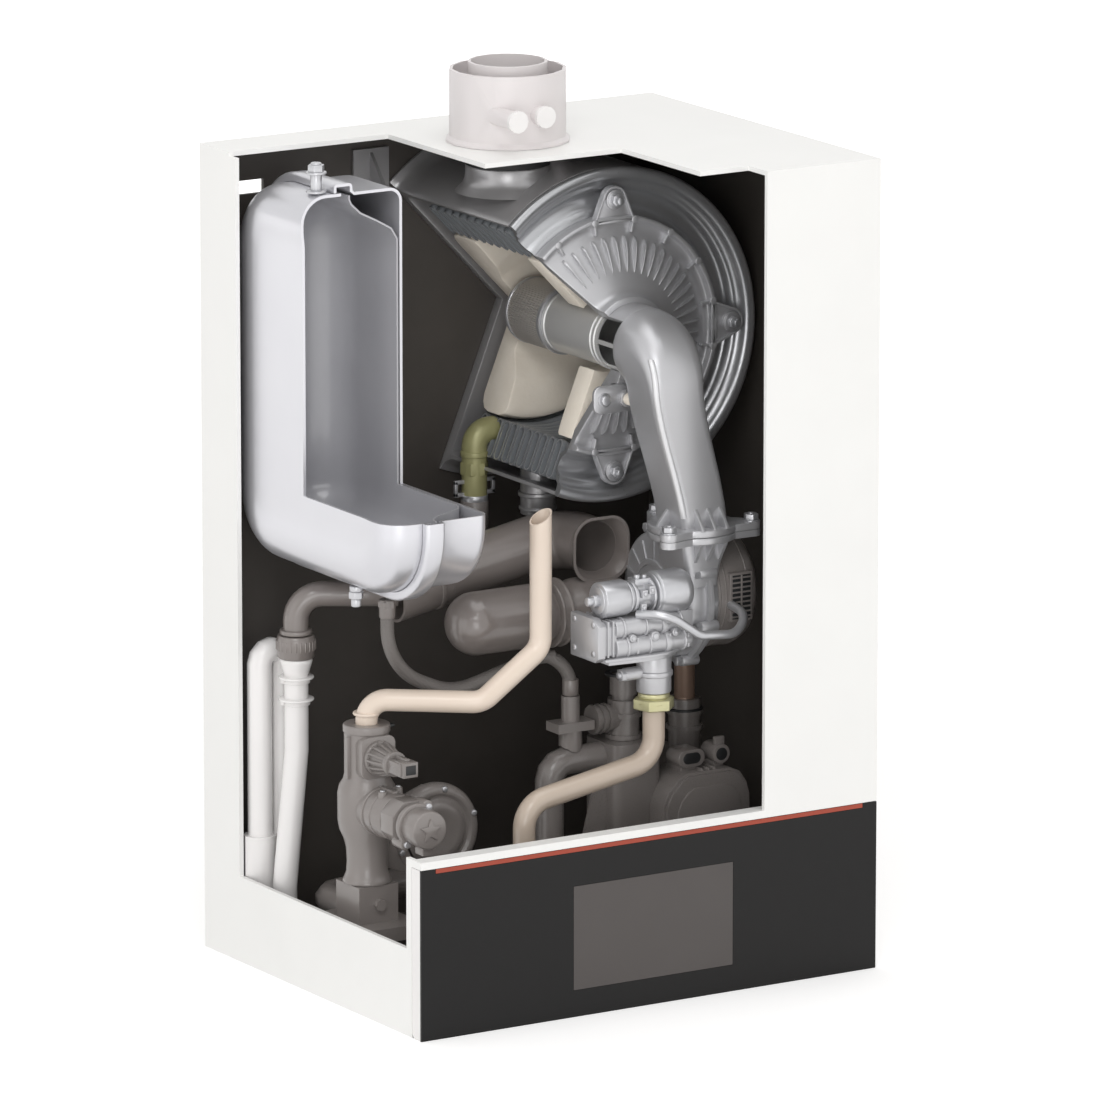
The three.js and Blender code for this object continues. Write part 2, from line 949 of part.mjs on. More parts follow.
function leftPanel() {
  const window = box(
    leftX - overrun,
    leftX + sheet + overrun,
    frontY + sideFrontStrip,
    -sideRearStrip,
    footZ + sideSill,
    topZ + overrun,
  );
  const frontUpper = box(
    leftX - overrun,
    leftX + sheet + overrun,
    frontY - overrun,
    frontY + sideFrontStrip + overrun,
    panelTopZ + coverSill,
    topZ + overrun,
  );
  return cut(sidePanel(leftX), window, frontUpper);
}

function topPanel() {
  const kept = [
    [leftX, 0],
    [leftX, -topRearStrip],
    [flueX - topFirstStep, -topRearStrip],
    [flueX - topFirstStep, -topMiddleStrip],
    [flueX + topSecondStep, -topMiddleStrip],
    [flueX + topSecondStep, frontY + topFrontStrip],
    [rightX - frontStripWidth, frontY + topFrontStrip],
    [rightX - frontStripWidth, frontY],
    [rightX, frontY],
    [rightX, 0],
  ];
  const hole = rod(collarRadius + seatGap, topZ - sheet - overrun, topZ + overrun, roundly);
  return cut(prism(kept, topZ - sheet, topZ), hole.translate(flueX, -flueBehind, 0));
}

function frontCover() {
  const foot = panelTopZ + runGap;
  const sill = panelTopZ + coverSill;
  const face = box(leftX, rightX, frontY, frontY + sheet, foot, topZ - sheet);
  const window = box(
    leftX - overrun,
    rightX - frontStripWidth,
    frontY - overrun,
    frontY + sheet + overrun,
    sill,
    topZ + overrun,
  );
  const lip = box(leftX + sheet, rightX - sheet, frontY + sheet - weld, frontY + coverLip, foot, sill);
  return join(cut(face, window), lip);
}

// Places where pipes leave through the base: x, y and the pipe's radius
const baseHoles = [
  [gasFootX, -gasY, gasPipeRadius],
  [siphonFootX, -drainY, siphonRadius],
  [siphonLoopLeftX, -siphonLoopY, siphonRadius],
  [returnX, -manifoldY, returnRadius],
];

function basePan() {
  const back = -sheet;
  const front = frontY + panelDepth + runGap;
  const plate = box(leftX + sheet, rightX - sheet, front, back, footZ, footZ + sheet);
  const holes = baseHoles.map(([x, y, radius]) =>
    rod(radius + 2 * runGap, footZ - overrun, footZ + sheet + overrun, plainly).translate(x, y, 0),
  );
  const pivotY = frontY + pivotSetback;
  const pivotZ = footZ + pivotHeight;
  const arms = [-1, 1].map((side) => {
    const x = side * (rightX - pivotInset);
    const eye = alongX(rod(pivotEye, -pivotArmWidth / 2, pivotArmWidth / 2, slenderly));
    const bar = box(
      -pivotArmWidth / 2,
      pivotArmWidth / 2,
      0,
      front + pivotArmRoot - pivotY,
      -pivotEye,
      pivotEye,
    );
    const bore = alongX(rod(pivotPin + seatGap, -pivotArmWidth, pivotArmWidth, slenderly));
    return cut(join(eye, bar), bore).translate(x, pivotY, pivotZ);
  });
  return join(cut(plate, ...holes), ...arms);
}

function buildCasing(parent) {
  mesh("rear_wall", rearWall(), whitePaint, parent);
  mesh("left_panel", leftPanel(), whitePaint, parent);
  mesh("right_panel", sidePanel(rightX - sheet), whitePaint, parent);
  mesh("top_panel", topPanel(), whitePaint, parent);
  mesh("base_pan", basePan(), whitePaint, parent);
  mesh("front_cover", frontCover(), whitePaint, parent);
}

// Control panel: built round its hinge line, so the group sits on the pivot
function panelCarrier() {
  const back = panelDepth - pivotSetback;
  const front = glassThickness + seatGap - pivotSetback;
  const foot = -pivotHeight;
  const head = panelHeight - pivotHeight;
  const side = [
    [front, foot],
    [back - panelFootChamfer, foot],
    [back, foot + panelFootChamfer],
    [back, head],
    [front, head],
  ];
  const body = alongX(prism(side.map(([y, z]) => [-z, y]), leftX, rightX));
  const pocket = box(
    leftX + pivotInset + pocketFromPivot,
    rightX - pivotInset - pocketFromPivot,
    back - panelPocketDepth,
    back + overrun,
    foot + panelRim + panelFootChamfer,
    head - panelRim,
  );
  const slots = [-1, 1].map((sign) => {
    const x = sign * (rightX - pivotInset);
    const half = pivotArmWidth / 2 + runGap;
    const reach = pivotEye + runGap;
    return box(x - half, x + half, -reach, back + overrun, foot - overrun, reach);
  });
  const pins = [-1, 1].map((sign) =>
    alongX(rod(pivotPin, -pivotArmWidth, pivotArmWidth, slenderly)).translate(sign * (rightX - pivotInset), 0, 0),
  );
  return join(cut(body, pocket, ...slots), ...pins);
}

function panelGlass() {
  const front = -pivotSetback;
  const foot = -pivotHeight;
  const head = panelHeight - pivotHeight;
  const sheetOfGlass = box(leftX, rightX, front, front + glassThickness, foot, head);
  const displayRecess = box(
    displayShift - displayWidth / 2,
    displayShift + displayWidth / 2,
    front - overrun,
    front + displayThickness,
    foot + displayFoot,
    foot + displayFoot + displayHeight,
  );
  const stripRecess = box(
    leftX + stripInset,
    rightX - stripInset,
    front - overrun,
    front + stripThickness,
    head - stripHeight,
    head + overrun,
  );
  return cut(sheetOfGlass, displayRecess, stripRecess);
}

function buildControlPanel(parent) {
  const panel = new THREE.Group();
  panel.position.set(0, frontY + pivotSetback, footZ + pivotHeight);
  parent.add(panel);
  const front = -pivotSetback;
  const foot = -pivotHeight;
  const head = panelHeight - pivotHeight;
  mesh("panel_carrier", panelCarrier(), whitePlastic, panel);
  mesh("panel_glass", panelGlass(), blackGlass, panel);
  const display = box(
    displayShift - displayWidth / 2 + seatGap,
    displayShift + displayWidth / 2 - seatGap,
    front,
    front + displayThickness - seatGap,
    foot + displayFoot + seatGap,
    foot + displayFoot + displayHeight - seatGap,
  );
  mesh("display_window", display, displayGlass, panel);
  const strip = box(
    leftX + stripInset + seatGap,
    rightX - stripInset - seatGap,
    front,
    front + stripThickness - seatGap,
    head - stripHeight + seatGap,
    head,
  );
  mesh("light_strip", strip, redStrip, panel);
}

// Flue: collar on the casing's top, pipe down to the drum's socket
function portAt(offset, reach, radius, from) {
  return facingFront(rod(radius, from, reach, plainly)).translate(offset, 0, portHeight);
}

function flueCollar() {
  const inner = collarRadius - collarWall;
  const sleeve = turned(
    [
      [inner, -sheet],
      [collarRadius, -sheet],
      [collarRadius, 0],
      [collarRadius + collarSkirt, seatGap],
      [collarRadius + collarSkirt, collarSkirtHeight],
      [collarRadius, collarSkirtHeight + collarSkirt],
      [collarRadius, collarHeight],
      [inner, collarHeight],
      [inner, -sheet],
    ],
    roundly,
  );
  const hub = tube(flueRadius + seatGap + collarWall, flueRadius + seatGap, -sheet, 0, roundly);
  const web = box(-inner - weld, inner + weld, -flueWebWidth / 2, flueWebWidth / 2, -sheet, 0);
  const webs = [0, 1].map((turn) => atAngle(web.clone(), flueWebAngle + turn * flueWebTurnAngle));
  const pipeSpace = rod(flueRadius + seatGap, -overrun, overrun, roundly);
  const longPort = portAt(-portOffset, portLongReach, portRadius, flueRadius / 2);
  const shortPort = portAt(0, portShortReach, portRadius, collarRadius - collarWall / 2);
  const ports = cut(join(longPort, shortPort), rod(inner - weld, 0, collarHeight, roundly));
  const bores = [
    portAt(-portOffset, portLongReach + overrun, capPlug + seatGap, flueRadius / 2),
    portAt(0, portShortReach + overrun, capPlug + seatGap, flueRadius / 2),
  ];
  return cut(join(sleeve, hub, ...webs, ports), ...bores, pipeSpace);
}

function testCap(offset, reach) {
  const head = portAt(offset, reach + seatGap + capThickness, capRadius, reach + seatGap);
  const plug = portAt(offset, reach + seatGap + capThickness / 2, capPlug, reach - capInsert);
  return join(head, plug);
}

function buildFlue(parent) {
  const flue = new THREE.Group();
  flue.position.set(flueX, -flueBehind, topZ);
  parent.add(flue);
  mesh("flue_collar", flueCollar(), whitePlastic, flue);
  const rise = collarHeight + flueRise;
  mesh("flue_pipe", tube(flueRadius, flueRadius - flueWall, -sheet, rise, roundly), whitePlastic, flue);
  const seat = -sheet - seatGap;
  const adapter = turned(
    [
      [socketBore - seatGap - flueWall, -socketTopDrop - flueRise],
      [socketBore - seatGap, -socketTopDrop - flueRise],
      [socketBore - seatGap, -socketTopDrop + seatGap],
      [flueRadius + flueWall, -socketTopDrop + seatGap],
      [flueRadius + flueWall, seat],
      [socketBore - seatGap - flueWall, seat],
      [socketBore - seatGap - flueWall, -socketTopDrop - flueRise],
    ],
    roundly,
  );
  mesh("flue_adapter", adapter, blackRubber, flue);
  mesh("test_cap_left", testCap(-portOffset, portLongReach), whitePlastic, flue);
  mesh("test_cap_right", testCap(0, portShortReach), whitePlastic, flue);
}

// Heat exchanger: built along Z, then turned so that Z is the distance from the rear wall
function wedge() {
  const reach = drumRadius + drumFlare + overrun;
  const middle = (wedgeStartAngle + wedgeEndAngle) / 2;
  const corners = [wedgeStartAngle, middle, wedgeEndAngle].map((degrees) => {
    const angle = THREE.MathUtils.degToRad(degrees);
    return [2 * reach * Math.cos(angle), 2 * reach * Math.sin(angle)];
  });
  return prism([[0, 0], ...corners], -overrun, elbowFootFront);
}

function wedged(geometry) {
  return cut(geometry, wedge());
}

function atAngle(geometry, degrees) {
  return geometry.rotateZ(THREE.MathUtils.degToRad(degrees));
}

function drumShell() {
  const inner = drumRadius - drumWall;
  const rear = sheet + seatGap;
  const shell = turned(
    [
      [0, rear],
      [drumRadius + drumFlare, rear],
      [drumRadius + drumFlare, rear + drumWall],
      [drumRadius + drumFlareNeck, drumRear],
      [drumRadius, drumRear + drumFlare],
      [drumRadius, drumFront],
      [inner, drumFront],
      [inner, drumRear + drumWall],
      [0, drumRear + drumWall],
    ],
    finely,
  );
  const socketTop = drumFromTop - socketTopDrop;
  const rise = (radius, top) =>
    rod(radius, drumRadius / 2, top, roundly)
      .rotateX(-Math.PI / 2)
      .translate(-flueFromDrum, 0, flueBehind);
  const inside = rod(inner, drumRear + drumWall, drumFront + overrun, finely);
  const bore = rise(socketBore, socketTop + overrun);
  const socket = cut(rise(socketRadius, socketTop), inside, bore);
  const drain = rod(drainSocketRadius, drumRadius / 2, drumRadius + drainSocketDrop, plainly)
    .rotateX(Math.PI / 2)
    .translate(-drainSocketOffset, 0, drainSocketDepth);
  return wedged(join(cut(shell, bore), socket, cut(drain, inside)));
}

// One coil turn is a flat tube standing on edge, its narrow sides rounded
function coilTurn(z) {
  const half = coilThickness / 2;
  const nose = coilNose;
  return turned(
    [
      [coilInner, z],
      [coilInner + nose, z - half],
      [coilOuter - nose, z - half],
      [coilOuter, z],
      [coilOuter - nose, z + half],
      [coilInner + nose, z + half],
      [coilInner, z],
    ],
    coilFacets,
  );
}

function coil() {
  const spacerLength = coilPitch * (coilTurns - 1);
  const turns = [];
  const pockets = [];
  for (let i = 0; i < coilTurns; i += 1) {
    const z = coilRear + coilPitch * i;
    turns.push(coilTurn(z));
    const half = coilThickness / 2 - coilWall;
    for (const degrees of [wedgeStartAngle, wedgeEndAngle]) {
      const pocket = box(
        coilInner + 2 * coilWall + half,
        coilOuter - 2 * coilWall - half,
        -coilPocket,
        coilPocket,
        z - half,
        z + half,
      );
      pockets.push(atAngle(pocket, degrees));
    }
  }
  const spacer = box(
    coilOuter - 2 * coilSpacer,
    coilOuter - coilSpacer,
    -coilSpacer / 2,
    coilSpacer / 2,
    coilRear,
    coilRear + spacerLength,
  );
  return cut(wedged(join(...turns, spacer)), ...pockets);
}

function rearBowl() {
  const front = bowlRear + bowlDepth;
  const hollow = burnerRear - burnerPinLength - 2 * seatGap;
  return wedged(
    turned([
      [0, bowlRear],
      [bowlRadius - bowlChamfer, bowlRear],
      [bowlRadius, front - bowlChamfer],
      [bowlRadius - bowlLip, front],
      [bowlLandRadius, front - bowlLand],
      [bowlHollowRadius, hollow],
      [0, hollow],
    ]),
  );
}

function frontPad() {
  const front = doorBack - seatGap;
  return wedged(tube(frontPadRadius, mixerRadius + overrun, frontPadRear, front, finely));
}

function frontPlate() {
  const lip = doorBack - seatGap;
  const seat = drumFront + seatGap;
  const rim = seat + plateRim;
  const span = drumRadius - plateInner;
  const heights = [
    lip,
    lip - plateStep / 2,
    lip - plateStep,
    lip - plateGroove,
    lip - plateGroove + plateStep / 2,
    seat + plateRim / 2,
    rim,
  ];
  const front = plateFrontShares.map((share, i) => [plateInner + share * span, heights[i]]);
  const depths = [plateGroove - plateStep / 2, plateGroove, plateStep];
  const back = plateBackShares.map((share, i) => [
    plateInner + share * span,
    lip - depths[i] - plateThickness,
  ]);
  const profile = [
    [plateInner, lip],
    ...front,
    [drumRadius, rim],
    [drumRadius, seat],
    [drumRadius - drumWall - seatGap, seat],
    ...back,
    [plateInner, lip - plateThickness],
    [plateInner, lip],
  ];
  const plate = wedged(turned(profile, finely));
  const studs = lugAngles.map((degrees) => {
    const stud = rod(studRadius, lip - plateThickness, nutFoot + nutHeight + boltRise, slenderly);
    return atAngle(stud.translate(lugReach, 0, 0), degrees);
  });
  return join(plate, ...studs);
}

function burnerDoor() {
  const rim = doorRimFace;
  const well = doorWell;
  const bore = mixerRadius + 2 * seatGap;
  const casting = turned(
    [
      [doorRadius, doorBack],
      [doorRadius, rim],
      [doorRadius - doorRimWidth, rim],
      [doorRadius - doorRimWidth - doorRimDraft, well],
      [finOuter + domeMargin, well],
      [doorCollar, well + doorDome],
      [doorCollar, well + doorDome + doorCollarRise],
      [bore, well + doorDome + doorCollarRise],
      [bore, well + doorDome - doorThickness],
      [finOuter, doorBack],
      [doorRadius, doorBack],
    ],
    finely,
  );
  const slope = doorDome / (finOuter + domeMargin - doorCollar);
  const domeAt = (radius) => well + (finOuter + domeMargin - radius) * slope;
  const adds = [];
  for (let i = 0; i < finCount; i += 1) {
    const profile = [
      [finInner, domeAt(finInner) - finHeight],
      [finOuter, domeAt(finOuter) - finHeight],
      [finOuter, domeAt(finOuter) + finHeight / 2],
      [finInner, domeAt(finInner) + finHeight],
    ];
    const fin = facingFront(prism(profile, -finThickness / 2, finThickness / 2));
    adds.push(atAngle(fin, (fullTurnAngle * i) / finCount));
  }
  for (let i = 0; i < doorRimRibs; i += 1) {
    const rib = box(
      finOuter,
      doorRadius - doorRimWidth + weld,
      -doorRibWidth / 2,
      doorRibWidth / 2,
      well - doorRibDrop,
      rim - doorRibDrop,
    );
    adds.push(atAngle(rib, ((2 * i + 1) * fullTurnAngle) / (2 * doorRimRibs)));
  }
  for (const degrees of lugAngles) {
    const lug = ear(lugReach, lugRadius, lugRootWidth, rim - lugThickness, rim);
    const clear = rod(finOuter, rim - 2 * lugThickness, rim + overrun, finely);
    const nut = hexagon(nutFlats, rim - weld, nutFoot + nutHeight).translate(lugReach, 0, 0);
    const washer = rod(washerRadius, rim - weld, nutFoot, coarsely).translate(lugReach, 0, 0);
    adds.push(atAngle(join(cut(lug, clear), washer, nut), degrees));
  }
  const studs = lugAngles.map((degrees) => {
    const hole = rod(studRadius + seatGap, doorBack - overrun, nutFoot + nutHeight + overrun, slenderly);
    return atAngle(hole.translate(lugReach, 0, 0), degrees);
  });
  return wedged(cut(join(casting, ...adds), ...studs));
}

function burnerMesh() {
  const wall = tube(burnerRadius, burnerRadius - burnerWall, burnerRear, burnerFront, roundly);
  const end = rod(burnerRadius, burnerRear - burnerWall, burnerRear + weld, roundly);
  const pin = rod(burnerPinRadius, burnerRear - burnerPinLength, burnerRear, plainly);
  return join(wall, end, pin);
}

function mixingTube() {
  const rear = burnerFront + seatGap;
  const shell = tube(mixerRadius, mixerRadius - mixerWall, rear, mixerFront, roundly);
  const windows = mixerWindowAngles.map((degrees) => {
    const window = box(
      0,
      mixerRadius + overrun,
      -mixerWindow / 2,
      mixerWindow / 2,
      mixerWindowRear + mixerWindow / 2,
      mixerFront - mixerWindow / 2,
    );
    return atAngle(window, degrees);
  });
  return cut(shell, ...windows);
}

function inletElbow() {
  const well = doorWell;
  const start = well + doorDome + doorCollarRise + seatGap;
  const across = new THREE.Vector3(1, 0, 0);
  const rings = [];
  const addRing = (centre, up, halfX, halfY, edge) =>
    rings.push(roundedRing(centre, across, up, halfX, halfY, edge));
  const upright = new THREE.Vector3(0, 1, 0);
  addRing(new THREE.Vector3(0, 0, start), upright, elbowSleeve, elbowSleeve, elbowSleeve);
  for (let step = 0; step <= bendSteps; step += 1) {
    const share = step / bendSteps;
    const angle = (share * Math.PI) / 2;
    const up = new THREE.Vector3(0, Math.cos(angle), Math.sin(angle));
    const centre = new THREE.Vector3(0, -elbowBend, elbowSleeveFront).addScaledVector(up, elbowBend);
    const half = THREE.MathUtils.lerp(elbowSleeve, elbowNeckHalf, share);
    addRing(centre, up, half, half, THREE.MathUtils.lerp(half, elbowKneeEdge, share));
  }
  const forward = new THREE.Vector3(0, 0, 1);
  const foot = new THREE.Vector3(elbowFootShift, -elbowFootDrop, elbowFootFront);
  addRing(foot, forward, elbowFootHalfX, elbowFootHalfY, elbowEdge);
  const sleeveBore = rod(mixerRadius + seatGap, start - overrun, mixerFront + seatGap, roundly);
  const openSleeve = common(wedge(), rod(drumRadius, 0, mixerFront + seatGap, plainly));
  const onFlange = (geometry) =>
    geometry.rotateX(-Math.PI / 2).translate(elbowFootShift, -elbowFootDrop, elbowFootFront);
  const flange = [rod(elbowFlangeRadius, -elbowFlangeThickness, 0, roundly)];
  for (const degrees of flangeLugAngles) {
    const lug = ear(elbowLugReach, elbowLugRadius, elbowFlangeRadius, -elbowFlangeThickness, 0);
    flange.push(atAngle(lug, degrees));
    flange.push(atAngle(hexagon(nutFlats, -weld, nutHeight).translate(elbowLugReach, 0, 0), degrees));
  }
  const gusset = prism(
    [
      [0, 0],
      [elbowGusset, 0],
      [0, elbowGusset],
    ],
    -elbowGussetThickness / 2,
    elbowGussetThickness / 2,
  );
  const left = elbowFootHalfX - elbowGussetSink;
  const near = elbowFootHalfY - elbowGussetSink;
  flange.push(gusset.clone().rotateX(Math.PI / 2).rotateZ(-Math.PI / 2).translate(0, -near, 0));
  flange.push(gusset.clone().rotateX(Math.PI / 2).rotateZ(Math.PI).translate(-left, 0, 0));
  return join(cut(loft(rings), sleeveBore, openSleeve), ...flange.map(onFlange));
}

function electrode() {
  const well = doorWell;
  const slope = doorDome / (finOuter + domeMargin - doorCollar);
  const nearest = electrodeRadius - electrodePin;
  const foot = well + (finOuter + domeMargin - nearest) * slope + seatGap;
  const plate = box(
    -electrodePlateWidth / 2,
    electrodePlateWidth / 2,
    -electrodePlateHeight / 2,
    electrodePlateHeight / 2,
    electrodeStand,
    electrodeStand + electrodePlateThickness,
  );
  const post = box(
    -electrodePostHalf,
    electrodePostHalf,
    -electrodePin,
    electrodePin,
    0,
    electrodeStand + weld,
  );
  const top = electrodeStand + electrodePlateThickness;
  const screw = rod(electrodePin, top - weld, top + electrodeScrewRise, coarsely).translate(
    -electrodeScrewX,
    0,
    0,
  );
  const insulator = rod(electrodeInsulator, top - weld, top + electrodeLength, coarsely);
  const pin = insulator.translate(electrodePinX, 0, 0);
  const angle = THREE.MathUtils.degToRad(electrodeAngle);
  return join(plate, post, screw, pin).translate(
    electrodeRadius * Math.cos(angle) - electrodeShiftX,
    electrodeRadius * Math.sin(angle),
    foot,
  );
}

// The bracket that ties the drum's rear flange to the rear wall
function gussetBracket() {
  const side = [
    [0, 0],
    [gussetReach, gussetTipHeight],
    [0, gussetHeight],
  ];
  const web = alongX(prism(side.map(([y, z]) => [-z, -y]), -gussetSheet / 2, gussetSheet / 2));
  const foot = box(-gussetReach / 2, gussetReach / 2, -gussetSheet, 0, 0, gussetHeight);
  return join(web, foot);
}

function buildExchanger(parent) {
  const exchanger = new THREE.Group();
  exchanger.position.set(drumX, 0, drumZ);
  exchanger.rotation.x = Math.PI / 2;
  parent.add(exchanger);
  mesh("drum_shell", drumShell(), darkSteel, exchanger);
  mesh("coil", coil(), darkSteel, exchanger);
  mesh("rear_insulation", rearBowl(), insulation, exchanger);
  mesh("front_insulation", frontPad(), insulation, exchanger);
  mesh("front_plate", frontPlate(), stainless, exchanger);
  mesh("burner_door", burnerDoor(), castAlloy, exchanger);
  mesh("burner_mesh", burnerMesh(), stainless, exchanger);
  mesh("mixing_tube", mixingTube(), darkSteel, exchanger);
  mesh("inlet_elbow", inletElbow(), castAlloy, exchanger);
  mesh("ignition_electrode", electrode(), castAlloy, exchanger);
}

// Fan: built round its wheel's centre
function spiralOutline(rise) {
  const points = [];
  for (let i = 0; i < finely; i += 1) {
    const share = i / (finely - 1);
    const angle = 2 * Math.PI * share;
    const radius = fanRadius + fanSpiral * (1 - share) + rise;
    points.push([radius * Math.sin(angle), -radius * Math.cos(angle)]);
  }
  return points;
}

function fanMotorSpace() {
  return alongX(rod(motorRadius + seatGap, fanThickness / 2, fanThickness + motorLength, finely));
}

function fanVolute() {
  const half = fanThickness / 2;
  const disc = alongX(prism(spiralOutline(0), -half, half));
  const rim = alongX(prism(spiralOutline(fanRimRise), half - 2 * fanRimWidth, half - fanRimWidth));
  const neckTop = fanDrop - seatGap;
  const ringAt = (height, centreX, halfX, halfY) =>
    roundedRing(
      new THREE.Vector3(centreX, -fanBehind, height),
      new THREE.Vector3(1, 0, 0),
      new THREE.Vector3(0, 1, 0),
      halfX,
      halfY,
      elbowEdge,
    );
  const neck = loft([
    ringAt(fanNeckFoot, 0, half, elbowFootHalfY),
    ringAt(neckTop - elbowFlangeThickness, fanShift, elbowFootHalfX, elbowFootHalfY),
  ]);
  const flange = [rod(elbowFlangeRadius, neckTop - elbowFlangeThickness, neckTop, plainly)];
  for (const degrees of flangeLugAngles) {
    flange.push(
      atAngle(
        ear(elbowLugReach, elbowLugRadius, elbowFlangeRadius, neckTop - elbowFlangeThickness, neckTop),
        degrees,
      ),
    );
  }
  const bolts = fanBoltAngles.map((degrees) => {
    const angle = THREE.MathUtils.degToRad(degrees);
    const radius = fanRadius + fanSpiral * (1 - degrees / fullTurnAngle) + fanRimRise;
    return alongX(
      rod(fanBoltRadius, half - fanRimWidth / 2 - fanBoltLength, half - fanRimWidth / 2, sparsely).translate(
        radius * Math.sin(angle),
        -radius * Math.cos(angle),
        0,
      ),
    );
  });
  const pad = box(
    -half - valvePad,
    -half + fanWall,
    -valveFront - fanY,
    -valveFront - fanY + valveDepth,
    valveTopZ - valveHeight - fanZ,
    coilAboveFan + coilCollarRadius,
  );
  const cavity = alongX(rod(wheelRadius + fanWall, -half + fanWall, half - fanWall, finely));
  const eye = alongX(rod(fanEye, -half - overrun, 0, roundly));
  const shaftHole = alongX(rod(shaftRadius + runGap, 0, half + overrun));
  const outlet = box(
    -half + fanNeckWall,
    half - fanNeckWall,
    -fanBehind - elbowFootHalfY + fanNeckWall,
    -fanBehind + elbowFootHalfY - fanNeckWall,
    0,
    neckTop + overrun,
  );
  const shifted = flange.map((piece) => piece.translate(fanShift, -fanBehind, 0));
  const whole = join(disc, rim, neck, ...shifted, ...bolts, pad);
  return cut(whole, cavity, eye, shaftHole, outlet, fanMotorSpace());
}

function fanWheel() {
  const half = wheelWidth / 2;
  const blades = [];
  for (let i = 0; i < wheelBlades; i += 1) {
    const blade = box(
      0,
      wheelRadius - 2 * wheelHub,
      -wheelBladeThickness / 2,
      wheelBladeThickness / 2,
      -half,
      half - wheelDisc / 2,
    );
    const swept = atAngle(blade, -bladeSweepAngle).translate(2 * wheelHub, 0, 0);
    blades.push(atAngle(swept, (fullTurnAngle * i) / wheelBlades));
  }
  const disc = rod(wheelRadius, half - wheelDisc, half, roundly);
  const hub = rod(wheelHub, -half, half, coarsely);
  const shaft = rod(shaftRadius, half - wheelDisc, fanThickness / 2 + shaftInsert, coarsely);
  return alongX(join(disc, hub, shaft, ...blades));
}

function fanMotor() {
  const start = fanThickness / 2 + seatGap;
  const end = start + motorLength;
  const body = turned(
    [
      [0, start],
      [motorRadius, start],
      [motorRadius, end - motorEdge],
      [motorRadius - motorEdgeDraft, end - motorEdgeDraft],
      [motorRadius - motorEdge, end],
      [0, end],
    ],
    finely,
  );
  const bore = rod(shaftRadius + runGap, start - overrun, start + shaftInsert + runGap);
  const pitch = louvreHeight / louvreCount;
  const slots = [];
  for (let i = 0; i < louvreCount; i += 1) {
    const foot = i * pitch - louvreHeight / 2 + louvreBar;
    slots.push(
      box(
        start + louvreSetback,
        start + louvreSetback + louvreWidth,
        -motorRadius - overrun,
        -motorRadius + louvreDepth,
        foot,
        foot + pitch - louvreBar,
      ),
    );
  }
  return cut(alongX(cut(body, bore)), ...slots);
}

function buildFan(parent) {
  const fan = new THREE.Group();
  fan.position.set(fanX, fanY, fanZ);
  parent.add(fan);
  mesh("fan_volute", fanVolute(), castAlloy, fan);
  mesh("fan_wheel", fanWheel(), zincSteel, fan);
  mesh("fan_motor", fanMotor(), darkPlastic, fan);
}

// Gas train
function gasValve() {
  const left = valveRightX - valveLength;
  const foot = valveTopZ - valveHeight;
  const body = box(left, valveRightX, -valveFront, -valveFront + valveDepth, foot, valveTopZ);
  const cap = box(
    left - valveCapLength,
    left + weld,
    -valveFront - valveCapRise,
    -valveFront + valveDepth + valveCapRise,
    foot - valveCapRise,
    valveTopZ + valveCapRise,
  );
  const ribs = [];
  for (let i = 0; i < valveRibCount; i += 1) {
    const z = foot + ((2 * i + 1) * valveHeight) / (2 * valveRibCount);
    ribs.push(
      box(left, valveRightX, -valveFront - valveRib, -valveFront + weld, z - valveRib / 2, z + valveRib / 2),
    );
  }
  const outlet = rod(gasOutletRadius, foot - gasOutletLength, foot + weld, plainly).translate(gasX, -gasY, 0);
  const nipple = alongX(rod(gasNippleRadius, -gasOutletRadius - gasNippleLength, 0)).translate(
    gasX,
    -gasY,
    foot - gasOutletLength / 2,
  );
  return join(body, cap, ...ribs, outlet, nipple);
}

function valveCoil() {
  const start = valveRightX - coilCollarLength - coilLength;
  const barrel = rod(coilRadius, start, start + coilLength + weld, plainly);
  const collar = rod(coilCollarRadius, start + coilLength, valveRightX, plainly);
  const pin = rod(coilPinRadius, start - coilPinLength, start + weld, slenderly);
  const whole = alongX(join(barrel, collar, pin)).translate(0, -coilFront, fanZ + coilAboveFan);
  const seat = box(
    valveRightX - valveLength - seatGap,
    valveRightX + overrun,
    -valveFront - valveRib - seatGap,
    -valveFront + valveDepth + seatGap,
    valveTopZ - valveHeight,
    valveTopZ + seatGap,
  );
  const capSeat = box(
    valveRightX - valveLength - valveCapLength - seatGap,
    valveRightX - valveLength + seatGap,
    -valveFront - 2 * overrun,
    -valveFront + valveDepth + overrun,
    valveTopZ - valveHeight,
    valveTopZ + valveCapRise + seatGap,
  );
  return cut(whole, seat, capSeat);
}

function gasUnion() {
  const nut = hexagon(unionFlats, unionTopZ - unionHeight, unionTopZ);
  const bore = rod(gasPipeRadius + runGap, unionTopZ - unionHeight - overrun, unionTopZ - overrun / 2, plainly);
  return cut(nut, bore).translate(gasX, -gasY, 0);
}

function gasPipe() {
  return pipe(
    [
      [gasX, -gasY, unionTopZ - unionHeight + gasInsert],
      [gasX, -gasY, unionTopZ - gasUpperDrop],
      [gasFootX, -gasY, unionTopZ - gasLowerDrop],
      [gasFootX, -gasY, footZ],
    ],
    gasBend,
    gasPipeRadius,
  );
}

